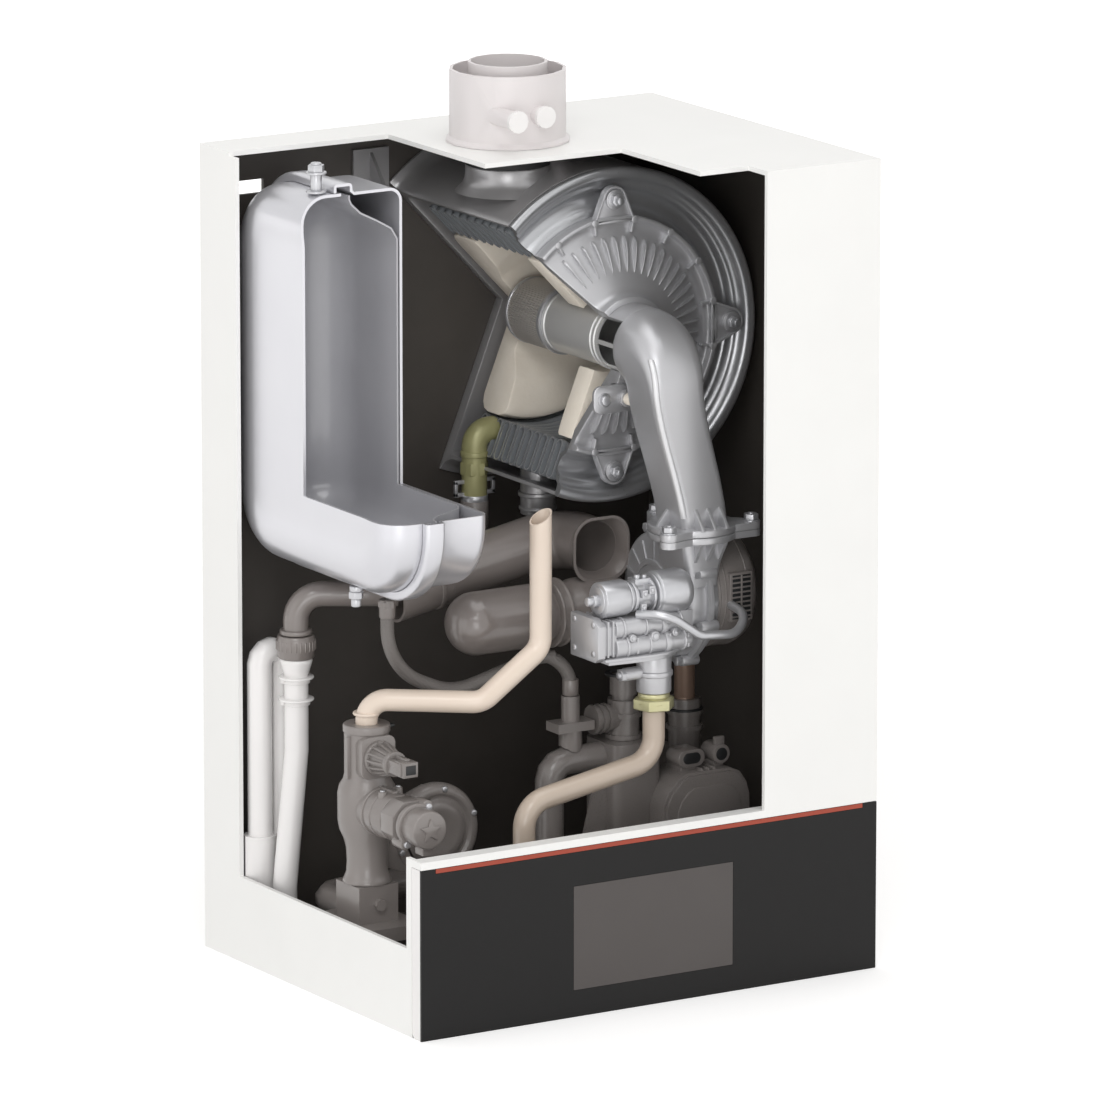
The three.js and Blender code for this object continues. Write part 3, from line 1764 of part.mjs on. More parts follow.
// The thin pressure tube from the gas valve across the fan to its motor
function impulseTube() {
  const out = valveFront + valveRib + impulseStandOff;
  const startX = gasX - gasOutletRadius;
  const z = valveTopZ - valveHeight / 2;
  const endX = fanRightX + louvreSetback;
  return pipe(
    [
      [startX, -valveFront - valveRib - seatGap, z],
      [startX, -out, z],
      [valveRightX, -out, z + impulseStandOff],
      [fanRightX, -valveFront, z - impulseStandOff / 2],
      [endX, -valveFront, z],
      [endX, fanY - motorRadius - seatGap, z + impulseStandOff / 2],
    ],
    impulseBend,
    impulseRadius,
    0,
    sparsely,
  );
}

function buildGasTrain(parent) {
  mesh("gas_valve", gasValve(), castAlloy, parent);
  mesh("valve_coil", valveCoil(), zincSteel, parent);
  mesh("gas_union", gasUnion(), brass, parent);
  mesh("gas_pipe", gasPipe(), gasPipePaint, parent);
  mesh("impulse_tube", impulseTube(), zincSteel, parent);
}

// Air duct with a cut end, and the intake silencer below it
function upperDuct() {
  const end = [upperDuctEndX, -upperDuctEndY, upperDuctEndZ];
  const corner = [upperDuctEndX, -upperDuctBackY, upperDuctEndZ];
  const left = [upperDuctLeftX, -upperDuctBackY, upperDuctLeftZ];
  const boreShare = upperDuctBoreDepth / (upperDuctEndX - upperDuctLeftX);
  const boreZ = THREE.MathUtils.lerp(upperDuctEndZ, upperDuctLeftZ, boreShare);
  const boreEnd = [upperDuctEndX - upperDuctBoreDepth, -upperDuctBackY, boreZ];
  const bore = pipe(
    [[upperDuctEndX, -upperDuctEndY - overrun, upperDuctEndZ], corner, boreEnd],
    upperDuctBend,
    upperDuctRadius - ductWall,
    0,
    roundly,
  );
  const socket = drainElbow(drainRadius + 2 * seatGap);
  return cut(pipe([end, corner, left], upperDuctBend, upperDuctRadius, 0, roundly), bore, socket);
}

function silencer() {
  const right = fanLeftX - seatGap;
  const left = right - silencerLength;
  const clamp = right - silencerClampReach;
  const body = turned(
    [
      [0, left],
      [silencerRadius - silencerNose, left],
      [silencerRadius - silencerNoseDraft, left + silencerNoseRound],
      [silencerRadius, left + silencerNose],
      [silencerRadius, clamp - clampWidth],
      [silencerRadius + clampRise, clamp - clampWidth],
      [silencerRadius + clampGroove, clamp - clampWidth / 2],
      [silencerRadius + clampRise, clamp],
      [silencerRadius, clamp],
      [silencerNeck, clamp + clampWidth],
      [silencerNeck, right],
      [silencerNeck - ductWall, right],
      [silencerNeck - ductWall, clamp + 2 * clampWidth],
      [0, clamp + 2 * clampWidth],
    ],
    roundly,
  );
  return alongX(body).translate(0, -silencerY, fanZ - silencerDrop);
}

function buildDucts(parent) {
  mesh("upper_duct", upperDuct(), ductPlastic, parent);
  mesh("intake_silencer", silencer(), ductPlastic, parent);
}

// Expansion vessel: built from its left face, rear wall plane and foot
const vesselMiddleY = -vesselRear - vesselDepth / 2;
const vesselMiddleZ = vesselHeight / 2;

function vesselRing(x, offset) {
  return roundedRing(
    new THREE.Vector3(x, vesselMiddleY, vesselMiddleZ),
    new THREE.Vector3(0, 1, 0),
    new THREE.Vector3(0, 0, 1),
    vesselDepth / 2 + offset,
    vesselHeight / 2 + offset,
    vesselCorner + offset,
  );
}

// Rings that round a face at x into the side wall, in the direction of side
function roundedFace(x, side, edge, offset) {
  const rings = [];
  for (let i = 0; i <= edgeSteps; i += 1) {
    const angle = (Math.PI / 2) * (i / edgeSteps);
    const inset = edge * (1 - Math.sin(angle));
    rings.push(vesselRing(x + side * edge * (1 - Math.cos(angle)), offset - inset));
  }
  return rings;
}

function vesselCut() {
  const far = vesselRear + vesselDepth + vesselRingRise + overrun;
  const high = vesselHeight + vesselRingRise + overrun;
  return box(-overrun, vesselWidth + overrun, -far, -vesselCutBack, vesselCutHeight, high);
}

function leftShell() {
  const tuck = vesselRingShift + vesselRingWidth / 2;
  const outside = loft([...roundedFace(0, 1, vesselEdge, 0), vesselRing(tuck, 0)]);
  const inside = loft([
    ...roundedFace(vesselWall, 1, vesselEdge - vesselWall, -vesselWall),
    vesselRing(tuck + overrun, -vesselWall),
  ]);
  const pad = box(
    -vesselPadThickness,
    vesselWall,
    -vesselPadRear - vesselPadWidth,
    -vesselPadRear,
    vesselPadFoot + vesselEdge / 2,
    vesselCutHeight + overrun,
  );
  const padFoot = vesselEdge;
  const padBlock = common(pad, box(-overrun, overrun, -vesselDepth - overrun, 0, padFoot, vesselHeight));
  return cut(join(cut(outside, inside), padBlock), vesselCut());
}

function rightShell() {
  const rise = vesselRingRise;
  const ringLeft = vesselRingShift;
  const ringRight = vesselRingShift + vesselRingWidth;
  const outside = loft([
    ...roundedFace(vesselWidth, -1, vesselRightEdge, 0),
    vesselRing(ringRight + rise / 2, 0),
    vesselRing(ringRight, rise),
    vesselRing(ringLeft, rise),
  ]);
  const inside = loft([
    ...roundedFace(vesselWidth - vesselWall, -1, vesselRightEdge - vesselWall, -vesselWall),
    vesselRing(ringRight + rise / 2, -vesselWall),
    vesselRing(ringRight - vesselWall, rise - vesselWall),
    vesselRing(ringLeft + vesselWall, rise - vesselWall),
    vesselRing(ringLeft + vesselWall - weld, seatGap),
    vesselRing(ringLeft - overrun, seatGap),
  ]);
  const stub = rod(hoseStubRadius, -hoseStubLength, vesselWall).translate(hoseX, -hoseY, 0);
  return cut(join(outside, stub), inside, vesselCut());
}

function membrane() {
  const outer = -vesselWall - seatGap;
  const inner = outer - membraneThickness;
  const rim = vesselRingShift + vesselRingWidth / 2 + 2 * seatGap;
  const rimRise = membraneRim - seatGap;
  const faceX = vesselWidth - vesselWall - seatGap;
  const outside = loft([
    ...roundedFace(faceX, -1, vesselRightEdge - vesselWall, outer),
    vesselRing(vesselRingShift + vesselRingWidth + vesselRingRise / 2, outer),
    vesselRing(rim + membraneThickness, outer + seatGap),
    vesselRing(rim + membraneThickness - weld, rimRise),
    vesselRing(rim, rimRise),
  ]);
  const inside = loft([
    ...roundedFace(faceX - membraneThickness, -1, vesselRightEdge - vesselWall, inner),
    vesselRing(vesselRingShift + vesselRingWidth + vesselRingRise / 2, inner),
    vesselRing(rim - overrun, inner),
  ]);
  return cut(outside, inside, vesselCut());
}

function vesselPlug() {
  const foot = vesselHeight + seatGap;
  const head = foot + plugHeight;
  return join(
    rod(plugRadius, foot, head + weld, coarsely),
    rod(plugFlange, head, head + plugFlangeHeight, plainly),
    hexagon(plugFlats, head, head + plugHead),
  ).translate(plugX, -plugY, 0);
}

function chargingValve() {
  const top = -seatGap;
  return join(
    rod(chargeNeck, top - chargeNeckLength - weld, top),
    hexagon(chargeFlats, top - chargeNeckLength - chargeLength, top - chargeNeckLength),
  ).translate(chargeX, -chargeY, 0);
}

function buildVessel(parent) {
  const vessel = new THREE.Group();
  vessel.position.set(vesselX, 0, vesselFootZ);
  parent.add(vessel);
  mesh("vessel_left_shell", leftShell(), vesselPaint, vessel);
  mesh("vessel_right_shell", rightShell(), vesselPaint, vessel);
  mesh("vessel_membrane", membrane(), greyRubber, vessel);
  mesh("vessel_plug", vesselPlug(), zincSteel, vessel);
  mesh("charging_valve", chargingValve(), zincSteel, vessel);
}

// Condensate drain and siphon pipes
function drainElbow(radius) {
  return pipe(
    [
      [drainNutX, -drainY, vesselFootZ - drainNutDrop + seatGap],
      [drainNutX, -drainY, vesselFootZ - drainDrop],
      [upperDuctLeftX + drainInsert, -upperDuctBackY, upperDuctLeftZ],
    ],
    drainBend,
    radius,
  );
}

function drainNut() {
  const profile = [[0, vesselFootZ - drainNutDrop - drainNutHeight]];
  const rim = drainNutRadius + drainNutRib;
  const rib = drainNutRibHeight;
  profile.push([rim, vesselFootZ - drainNutDrop - drainNutHeight]);
  profile.push([rim, vesselFootZ - drainNutDrop - drainNutHeight + rib]);
  profile.push([drainNutRadius, vesselFootZ - drainNutDrop - drainNutHeight + rib]);
  profile.push([drainNutRadius, vesselFootZ - drainNutDrop - rib]);
  profile.push([rim, vesselFootZ - drainNutDrop - rib]);
  profile.push([rim, vesselFootZ - drainNutDrop]);
  profile.push([0, vesselFootZ - drainNutDrop]);
  return turned(profile, roundly).translate(drainNutX, -drainY, 0);
}

function mainSiphon() {
  const top = vesselFootZ - drainNutDrop - drainNutHeight - seatGap;
  const body = pipe(
    [
      [drainNutX, -drainY, top],
      [drainNutX, -drainY, footZ + siphonKneeTop],
      [siphonFootX, -drainY, footZ + siphonKneeFoot],
      [siphonFootX, -drainY, footZ],
    ],
    siphonBend,
    siphonRadius,
  );
  const clips = [0, 1].map((row) => {
    const z = top - siphonClipTop - row * siphonClipPitch;
    const clip = rod(siphonRadius + siphonClipRise, z - siphonClipWidth, z, coarsely);
    return clip.translate(drainNutX, -drainY, 0);
  });
  const collar = rod(drainNutRadius - drainNutRib, top - siphonClipTop / 2, top, coarsely);
  return join(body, ...clips, collar.translate(drainNutX, -drainY, 0));
}

// The loop pipe rises from its socket on the base, turns over and runs down again
function siphonLoop() {
  const top = vesselFootZ - siphonLoopDrop;
  const y = -siphonLoopY;
  const rightX = siphonLoopLeftX + siphonLoopWidth;
  const route = [
    [siphonLoopLeftX, y, footZ],
    [siphonLoopLeftX, y, top],
    [rightX, y, top],
    [rightX, y, panZ + seatGap],
  ];
  const socket = rod(siphonRadius + siphonSocketRise, panZ + seatGap, footZ + siphonSocketTop, plainly);
  return join(
    pipe(route, siphonLoopWidth / 2 - seatGap, siphonRadius),
    socket.translate(siphonLoopLeftX, y, 0),
  );
}

function buildDrain(parent) {
  mesh("drain_elbow", drainElbow(drainRadius), ductPlastic, parent);
  mesh("drain_nut", drainNut(), ductPlastic, parent);
  mesh("siphon_main_pipe", mainSiphon(), whitePlastic, parent);
  mesh("siphon_loop_pipe", siphonLoop(), whitePlastic, parent);
}

// Water block: built round its upright axis, from the base pan up
function blockBase() {
  const foot = box(-blockFootHalf, blockFootHalf, -blockFootHalf, blockFootHalf, seatGap, blockPlateHeight + weld);
  const ringAt = (z) =>
    roundedRing(
      new THREE.Vector3(0, 0, z),
      new THREE.Vector3(1, 0, 0),
      new THREE.Vector3(0, 1, 0),
      blockPlateHalfX,
      blockPlateHalfY,
      blockPlateCorner,
    );
  const plate = loft([ringAt(blockPlateHeight), ringAt(blockPlateHeight + blockPlateThickness)]);
  const block = box(
    -blockBaseHalf,
    blockBaseHalf,
    -blockBaseHalf,
    blockBaseHalf,
    blockPlateHeight + blockPlateThickness - weld,
    blockBaseTop,
  );
  const boss = facingFront(rod(blockBossRadius, blockBaseHalf - weld, blockBaseHalf + blockBossRadius, slenderly)).translate(
    0,
    0,
    (blockPlateHeight + blockPlateThickness + blockBaseTop) / 2,
  );
  const back = blockPlateHalfY;
  const low = pipe(
    [
      [crossPipeX, back - overrun, crossPipeZ - sheet],
      [crossPipeX, blockY - crossPipeY, crossPipeZ - sheet],
      [manifoldX - blockCentreX, blockY - crossPipeY, crossPipeZ - sheet],
      [manifoldX - blockCentreX, blockY - manifoldY + manifoldHalfY + seatGap, crossPipeZ - sheet],
    ],
    crossPipeBend,
    crossPipeRadius,
  );
  return join(foot, plate, block, boss, low);
}

function diverterBody() {
  const foot = blockBaseTop + seatGap;
  const taper = blockHousingRadius - blockWaistRadius;
  const column = turned(
    [
      [0, foot],
      [blockNeckRadius, foot],
      [blockNeckRadius, foot + blockNeckRadius],
      [blockWaistRadius, blockNeckTop],
      [blockHousingRadius, blockNeckTop + taper],
      [blockHousingRadius, blockHousingTop - taper],
      [blockSocketRadius, blockHousingTop],
      [blockSocketRadius, blockSocketTop],
      [0, blockSocketTop],
    ],
    roundly,
  );
  const arm = facingFront(rod(armRadius, 0, armLength, roundly)).translate(0, 0, armZ);
  const sensorSeat = facingFront(rod(sensorRadius + sensorSeatRise, 0, blockSocketRadius + sensorSeatRise, plainly)).translate(0, 0, sensorZ);
  const bore = rod(
    flowPipeRadius + runGap,
    blockSocketTop - blockSocketDepth,
    blockSocketTop + overrun,
    roundly,
  );
  return cut(join(column, arm, sensorSeat), bore);
}

function actuator() {
  const start = armLength + seatGap;
  const ears = actuatorEarAngles.map((degrees) =>
    atAngle(ear(actuatorEarReach, actuatorEarRadius, 2 * actuatorRadius, start, start + actuatorEarThickness), degrees),
  );
  const screws = actuatorEarAngles.map((degrees) =>
    atAngle(
      hexagon(actuatorEarRadius, start, start + actuatorEarThickness + actuatorScrewRise).translate(actuatorEarReach, 0, 0),
      degrees,
    ),
  );
  const end = start + actuatorLength;
  const body = turned([
    [0, start],
    [actuatorRadius, start],
    [actuatorRadius, end - actuatorCapLength],
    [actuatorRadius - actuatorEdge, end],
    [actuatorCapRadius, end],
    [actuatorCapRadius, end + actuatorCapLength],
    [0, end + actuatorCapLength],
  ]);
  const star = [0, 1].map((turn) =>
    rod(starRadius, end + actuatorCapLength / 2, end + actuatorCapLength + overrun, starPoints).rotateZ(
      (turn * Math.PI) / starPoints,
    ),
  );
  return facingFront(cut(join(body, ...ears, ...screws), ...star)).translate(0, 0, armZ);
}

function flowSensor() {
  const start = blockSocketRadius + sensorSeatRise + seatGap;
  const end = start + sensorLength;
  const barrel = rod(sensorRadius, start, end, plainly);
  const pitch = sensorLength / (sensorRibs + 1);
  const ribs = [];
  for (let i = 1; i <= sensorRibs; i += 1) {
    const z = start + i * pitch;
    ribs.push(rod(sensorRadius + sensorRibRise, z, z + sensorRibWidth, plainly));
  }
  const plug = box(
    -sensorPlugHalf,
    sensorPlugHalf,
    -sensorPlugHalf,
    sensorPlugHalf,
    end - weld,
    end + sensorPlugLength,
  );
  const socket = box(
    -sensorPlugHalf + sensorPlugWall,
    sensorPlugHalf - sensorPlugWall,
    -sensorPlugHalf + sensorPlugWall,
    sensorPlugHalf - sensorPlugWall,
    end + sensorPlugLength / 2,
    end + sensorPlugLength + overrun,
  );
  return facingFront(cut(join(barrel, ...ribs, plug), socket)).translate(0, 0, sensorZ);
}

function bypassHousing() {
  const half = bypassThickness / 2;
  const hub = rod(bypassRadius, -half, half, finely).translate(bypassX, 0, 0);
  const arm = prism(
    [
      [0, -bypassRootWidth / 2],
      [bypassX, -bypassRadius],
      [bypassX, bypassRadius],
      [0, bypassRootWidth / 2],
    ],
    -half,
    half,
  );
  const rim = rod(bypassRimRadius, half - weld, half + bypassRimRise, roundly).translate(bypassX, 0, 0);
  const flat = facingFront(join(hub, arm, rim)).translate(0, bypassSetback, bypassZ);
  const column = rod(blockHousingRadius + seatGap, 0, blockSocketTop, roundly);
  return cut(flat, column);
}

function flowPipe() {
  const topRoute = [
    [blockCentreX, -blockY, panZ + blockSocketTop - blockSocketDepth + seatGap],
    [blockCentreX, -blockY, flowTurnZ],
    [flowKneeX, -flowY, flowTurnZ],
    [flowRiseX, -flowY, fanZ - flowKneeDrop],
    [flowRiseX, -flowY, flowTop + flowCutSlope],
  ];
  const whole = pipe(topRoute, flowBend, flowPipeRadius, flowWall);
  const slope = prism(
    [
      [-flowPipeRadius - overrun, flowTop - flowCutSlope / 2],
      [flowPipeRadius + overrun, flowTop + flowCutSlope / 2],
      [flowPipeRadius + overrun, flowTop + 2 * flowCutSlope],
      [-flowPipeRadius - overrun, flowTop + 2 * flowCutSlope],
    ],
    -2 * flowPipeRadius,
    2 * flowPipeRadius,
  );
  return cut(whole, facingFront(slope).translate(flowRiseX, -flowY, 0));
}

function buildWaterBlock(parent) {
  const block = new THREE.Group();
  block.position.set(blockCentreX, -blockY, panZ);
  parent.add(block);
  mesh("hydraulic_base", blockBase(), blockPlastic, block);
  mesh("diverter_body", diverterBody(), blockPlastic, block);
  mesh("diverter_actuator", actuator(), blockPlastic, block);
  mesh("flow_sensor", flowSensor(), blockPlastic, block);
  mesh("bypass_housing", bypassHousing(), darkPlastic, block);
  mesh("flow_pipe", flowPipe(), beigePipe, parent);
}

// Pump group
function pumpManifold() {
  const ringAt = (z) =>
    roundedRing(
      new THREE.Vector3(0, 0, z),
      new THREE.Vector3(1, 0, 0),
      new THREE.Vector3(0, 1, 0),
      manifoldHalfX,
      manifoldHalfY,
      manifoldEdge,
    );
  const body = loft([ringAt(seatGap), ringAt(manifoldTop)]);
  const web = prism(
    [
      [-manifoldHalfX - bracketReach, bracketFoot],
      [-manifoldHalfX + manifoldEdge, bracketFoot],
      [-manifoldHalfX + manifoldEdge, manifoldTop - bracketHeadDrop],
      [-manifoldHalfX - bracketHeadReach, manifoldTop - bracketHeadDrop],
    ],
    -bracketThickness / 2,
    bracketThickness / 2,
  );
  const height = returnHeight - sheet;
  const elbow = pipe(
    [
      [-manifoldHalfX + manifoldEdge, 0, height],
      [returnX - manifoldX, 0, height],
      [returnX - manifoldX, 0, -sheet],
    ],
    returnBend,
    returnRadius,
  );
  return join(body, facingFront(web).translate(0, -manifoldHalfY + 2 * manifoldEdge, 0), elbow);
}

function airVent() {
  const foot = manifoldTop + seatGap;
  const capFoot = foot + ventHeight;
  const rim = ventRadius + ventRingRise;
  const stack = turned(
    [
      [0, foot],
      [rim, foot],
      [rim, foot + ventRingWidth],
      [ventRadius, foot + ventRingWidth],
      [ventRadius, foot + ventHeight / 2],
      [rim, foot + ventHeight / 2],
      [rim, foot + ventHeight / 2 + ventRingWidth],
      [ventRadius, foot + ventHeight / 2 + ventRingWidth],
      [ventRadius, capFoot - ventRingWidth],
      [ventCap - ventRingRise, capFoot - ventRingWidth],
      [ventCap - ventRingRise, capFoot],
      [ventCap, capFoot],
      [ventCap, capFoot + ventCapHeight],
      [0, capFoot + ventCapHeight],
    ],
    coarsely,
  );
  const ribs = [];
  const pitch = bellowsLength / bellowsRibs;
  for (let i = 0; i < bellowsRibs; i += 1) {
    const start = -ventRadius - bellowsLength + i * pitch;
    ribs.push(rod(bellowsRadius, start, start + pitch / 2, coarsely));
  }
  const core = rod(bellowsRadius - ventRingRise, -ventRadius - bellowsLength, 0, coarsely);
  const bellows = alongX(join(core, ...ribs)).translate(0, 0, foot + ventHeight / 2);
  return join(stack, bellows);
}

function pumpBody() {
  const rear = pumpRear;
  const front = pumpRear + pumpBodyDepth;
  const body = rod(pumpBodyRadius, rear, front, finely);
  const room = impellerRadius + impellerClear;
  const back = rear + 2 * impellerWidth;
  const cavity = rod(room, back - impellerClear, back + impellerWidth + impellerClear, roundly);
  const shaftHole = rod(shaftRadius + runGap, back, front + overrun);
  const suction = alongX(rod(pumpBore, -pumpBodyRadius - overrun, -impellerRadius / 2)).translate(
    0,
    0,
    back + impellerWidth / 2,
  );
  const outlet = flowFitting().translate(-pumpX, 0, -pumpAxisZ);
  const rooms = [cavity, shaftHole, suction].map(facingFront);
  return cut(join(facingFront(body), outlet), ...rooms);
}

function pumpImpeller() {
  const back = pumpRear + 2 * impellerWidth;
  const front = back + impellerWidth;
  const blades = [];
  for (let i = 0; i < impellerBlades; i += 1) {
    const blade = box(
      0,
      impellerBladeLength,
      -impellerBladeThickness / 2,
      impellerBladeThickness / 2,
      back,
      front - weld,
    );
    const swept = atAngle(blade, -bladeSweepAngle).translate(impellerBladeStart, 0, 0);
    blades.push(atAngle(swept, (fullTurnAngle * i) / impellerBlades));
  }
  const disc = rod(impellerRadius, front - impellerDisc, front, roundly);
  const hub = rod(impellerHub, back, front, coarsely);
  const shaft = rod(shaftRadius, front - weld, pumpRear + pumpBodyDepth + shaftInsert);
  return facingFront(join(disc, hub, shaft, ...blades));
}

function pumpBoxOutline(inset) {
  const left = -pumpBoxLeft + inset;
  const right = -pumpBoxLeft + pumpBoxWidth - inset;
  const top = pumpBoxHeight / 2 - inset;
  const foot = -pumpBoxHeight / 2 + inset;
  return [
    [left, foot],
    [right, foot],
    [right, top - pumpBoxShoulder - pumpBoxSlope / 2],
    [right - pumpBoxSlope, top - pumpBoxShoulder],
    [right - pumpBoxSlope - pumpBoxSlope / 2, top - pumpBoxSlope / 2],
    [right - 2 * pumpBoxSlope, top],
    [left + pumpBoxSlope, top],
    [left, top - pumpBoxSlope],
  ];
}

function pumpBox() {
  const rear = pumpRear + pumpBodyDepth + seatGap;
  const front = rear + pumpBoxDepth;
  const body = prism(pumpBoxOutline(0), rear, front);
  const clearLeft = pumpBodyRadius + pumpBoxLeft;
  const groove = cut(
    prism(pumpBoxOutline(pumpGrooveInset), front - pumpGroove, front + overrun),
    prism(pumpBoxOutline(pumpGrooveInset + pumpGroove), front - 2 * pumpGroove, front + 2 * overrun),
  );
  const shaftHole = rod(shaftRadius + runGap, rear - overrun, rear + shaftInsert + seatGap);
  const top = pumpBoxHeight / 2;
  const inner = plugSocketHalf - plugSocketWall;
  const sockets = [-1, 1].map((side) => {
    const x = -plugSocketShift + side * 2 * plugSocketHalf;
    const outer = box(
      x - plugSocketHalf,
      x + plugSocketHalf,
      top - weld,
      top + plugSocketHeight,
      front - plugSocketSetback - 2 * plugSocketHalf,
      front - plugSocketSetback,
    );
    const hole = box(
      x - inner,
      x + inner,
      top + plugSocketWall,
      top + plugSocketHeight - plugSocketWall,
      front - plugSocketSetback - plugSocketHalf,
      front,
    );
    return cut(outer, hole);
  });
  const reach = Math.min(clearLeft, 2 * manifoldHalfY);
  const manifoldSpace = box(
    -pumpBodyRadius - seatGap - reach,
    -pumpBodyRadius - seatGap + seatGap,
    -pumpBoxHeight,
    pumpBoxHeight,
    rear - overrun,
    manifoldY + manifoldHalfY + seatGap,
  );
  return facingFront(cut(join(body, ...sockets), groove, shaftHole, manifoldSpace));
}

function hoseConnector() {
  const foot = footZ + returnHeight;
  const body = rod(connectorRadius, foot, foot + returnRadius + connectorHeight, plainly);
  const flangeFoot = foot + returnRadius + connectorHeight;
  const flange = box(
    -connectorFlangeHalf,
    connectorFlangeHalf,
    -connectorRadius,
    connectorRadius,
    flangeFoot - weld,
    flangeFoot + connectorFlangeHeight,
  );
  const top = flangeFoot + connectorFlangeHeight;
  const sleeve = rod(connectorSleeve, top - weld, top + connectorSleeveHeight, plainly);
  const bore = rod(hoseRadius + runGap, top + connectorSleeveHeight / 2, top + connectorSleeveHeight + overrun);
  const whole = cut(join(body, flange, sleeve), bore);
  const underPipe = alongX(rod(returnRadius + 2 * runGap, -2 * connectorFlangeHalf, 2 * connectorFlangeHalf, plainly));
  return cut(whole, underPipe.translate(0, 0, foot)).translate(connectorX, -manifoldY, 0);
}

// The hose from the vessel to the return line, on the route that it hangs in
function vesselHose() {
  const stubX = vesselX + hoseX;
  const stubZ = vesselFootZ - hoseStubLength - 2 * seatGap;
  return pipe(
    [
      [stubX, -hoseY, stubZ],
      [stubX, -hoseY, vesselFootZ - hoseSagDrop],
      [drumX - hoseKneeSide, -hoseY, vesselFootZ - hoseKneeDrop],
      [drumX - hoseFarSide, -hoseFarY, connectorTopZ + hoseFarRise],
      [connectorX, -manifoldY, connectorTopZ + hoseTopRise],
      [connectorX, -manifoldY, connectorTopZ - connectorSleeveHeight / 2 + seatGap],
    ],
    hoseBend,
    hoseRadius,
    0,
    slenderly,
  );
}

// The ribbed outlet on top of the pump body, with a bore for the riser
function flowFitting() {
  const foot = pumpZ + pumpBodyRadius / 2;
  const body = rod(fittingRadius, foot, fittingTop, plainly);
  const pitch = (fittingTop - pumpZ - pumpBodyRadius) / (fittingRibs + 1);
  const ribs = [];
  for (let i = 1; i <= fittingRibs; i += 1) {
    const z = fittingTop - i * pitch;
    ribs.push(rod(fittingRadius + fittingRib, z, z + 2 * fittingRib, plainly));
  }
  const bore = rod(riserRadius + seatGap, fittingTop - riserInsert, fittingTop + overrun, plainly);
  const placed = cut(join(body, ...ribs), bore).translate(fittingX, -fittingY, footZ);
  const boxSpace = box(
    fittingX - 2 * fittingRadius,
    fittingX + 2 * fittingRadius,
    -pumpRear - pumpBodyDepth - pumpBoxDepth,
    -pumpRear - pumpBodyDepth,
    footZ,
    pumpAxisZ + pumpBoxHeight,
  );
  return cut(placed, boxSpace);
}

// The riser from the pump to the drum, cut to the drum's curve
function flowRiser() {
  const from = footZ + fittingTop - riserInsert + seatGap;
  const bar = rod(riserRadius, from, drumZ, plainly).translate(fittingX, -fittingY, 0);
  const drum = facingFront(rod(drumRadius + seatGap, 0, drumFront + overrun + plateRim, finely));
  return cut(bar, drum.translate(drumX, 0, drumZ));
}

function safetyElbow() {
  const x = drumX - elbowFittingSide;
  const top = drumZ - elbowFittingDrop;
  const foot = top - elbowFittingLength;
  const y = -elbowFittingY;
  const body = pipe(
    [
      [x, y, foot],
      [x, y, top],
      [x + elbowFittingReach, y, top],
    ],
    elbowFittingBend,
    elbowFittingRadius,
  );
  const clip = box(
    x - elbowClipHalf,
    x + elbowClipHalf,
    y - elbowClipThickness,
    y,
    foot - elbowClipHeight / 2,
    foot + elbowClipHeight / 2,
  );
  const stub = rod(elbowStubRadius, foot - elbowStubDrop, foot + weld).translate(x, y, 0);
  const drum = box(0, drumRadius + runGap, -seatGap, drumRadius, 0, drumFront);
  const beyond = facingFront(atAngle(drum, wedgeEndAngle)).translate(drumX, 0, drumZ);
  return cut(join(body, clip, stub), beyond);
}

function buildPumpGroup(parent) {
  const tower = new THREE.Group();
  tower.position.set(manifoldX, -manifoldY, panZ);
  parent.add(tower);
  mesh("pump_manifold", pumpManifold(), darkPlastic, tower);
  mesh("air_vent", airVent(), darkPlastic, tower);
  const pump = new THREE.Group();
  pump.position.set(pumpX, 0, pumpAxisZ);
  parent.add(pump);
  mesh("pump_body", pumpBody(), darkPlastic, pump);
  mesh("pump_impeller", pumpImpeller(), blackPlastic, pump);
  mesh("pump_control_box", pumpBox(), darkPlastic, pump);
  mesh("hose_connector", hoseConnector(), blockPlastic, parent);
  mesh("vessel_hose", vesselHose(), hoseRubber, parent);
  mesh("flow_riser", flowRiser(), copperPipe, parent);
  mesh("safety_elbow", safetyElbow(), oliveBrass, parent);
}

function buildBracket(parent) {
  const bracket = mesh("drum_bracket", gussetBracket(), beigePipe, parent);
  bracket.position.set(drumX - drumRadius + gussetOverlap, -sheet - seatGap, topZ - gussetDrop - gussetHeight);
}

buildCasing(boiler);
buildControlPanel(boiler);
buildFlue(boiler);
buildExchanger(boiler);
buildFan(boiler);
buildGasTrain(boiler);
buildDucts(boiler);
buildVessel(boiler);
buildDrain(boiler);
buildWaterBlock(boiler);
buildPumpGroup(boiler);
buildBracket(boiler);

export default boiler;
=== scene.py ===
"""Looks of a wall-hung gas boiler that stands cut open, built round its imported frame.

Lengths are in millimetres in the frame of the part (x across, -y towards the room, z up)
and turn to metres when a mesh is made.
"""

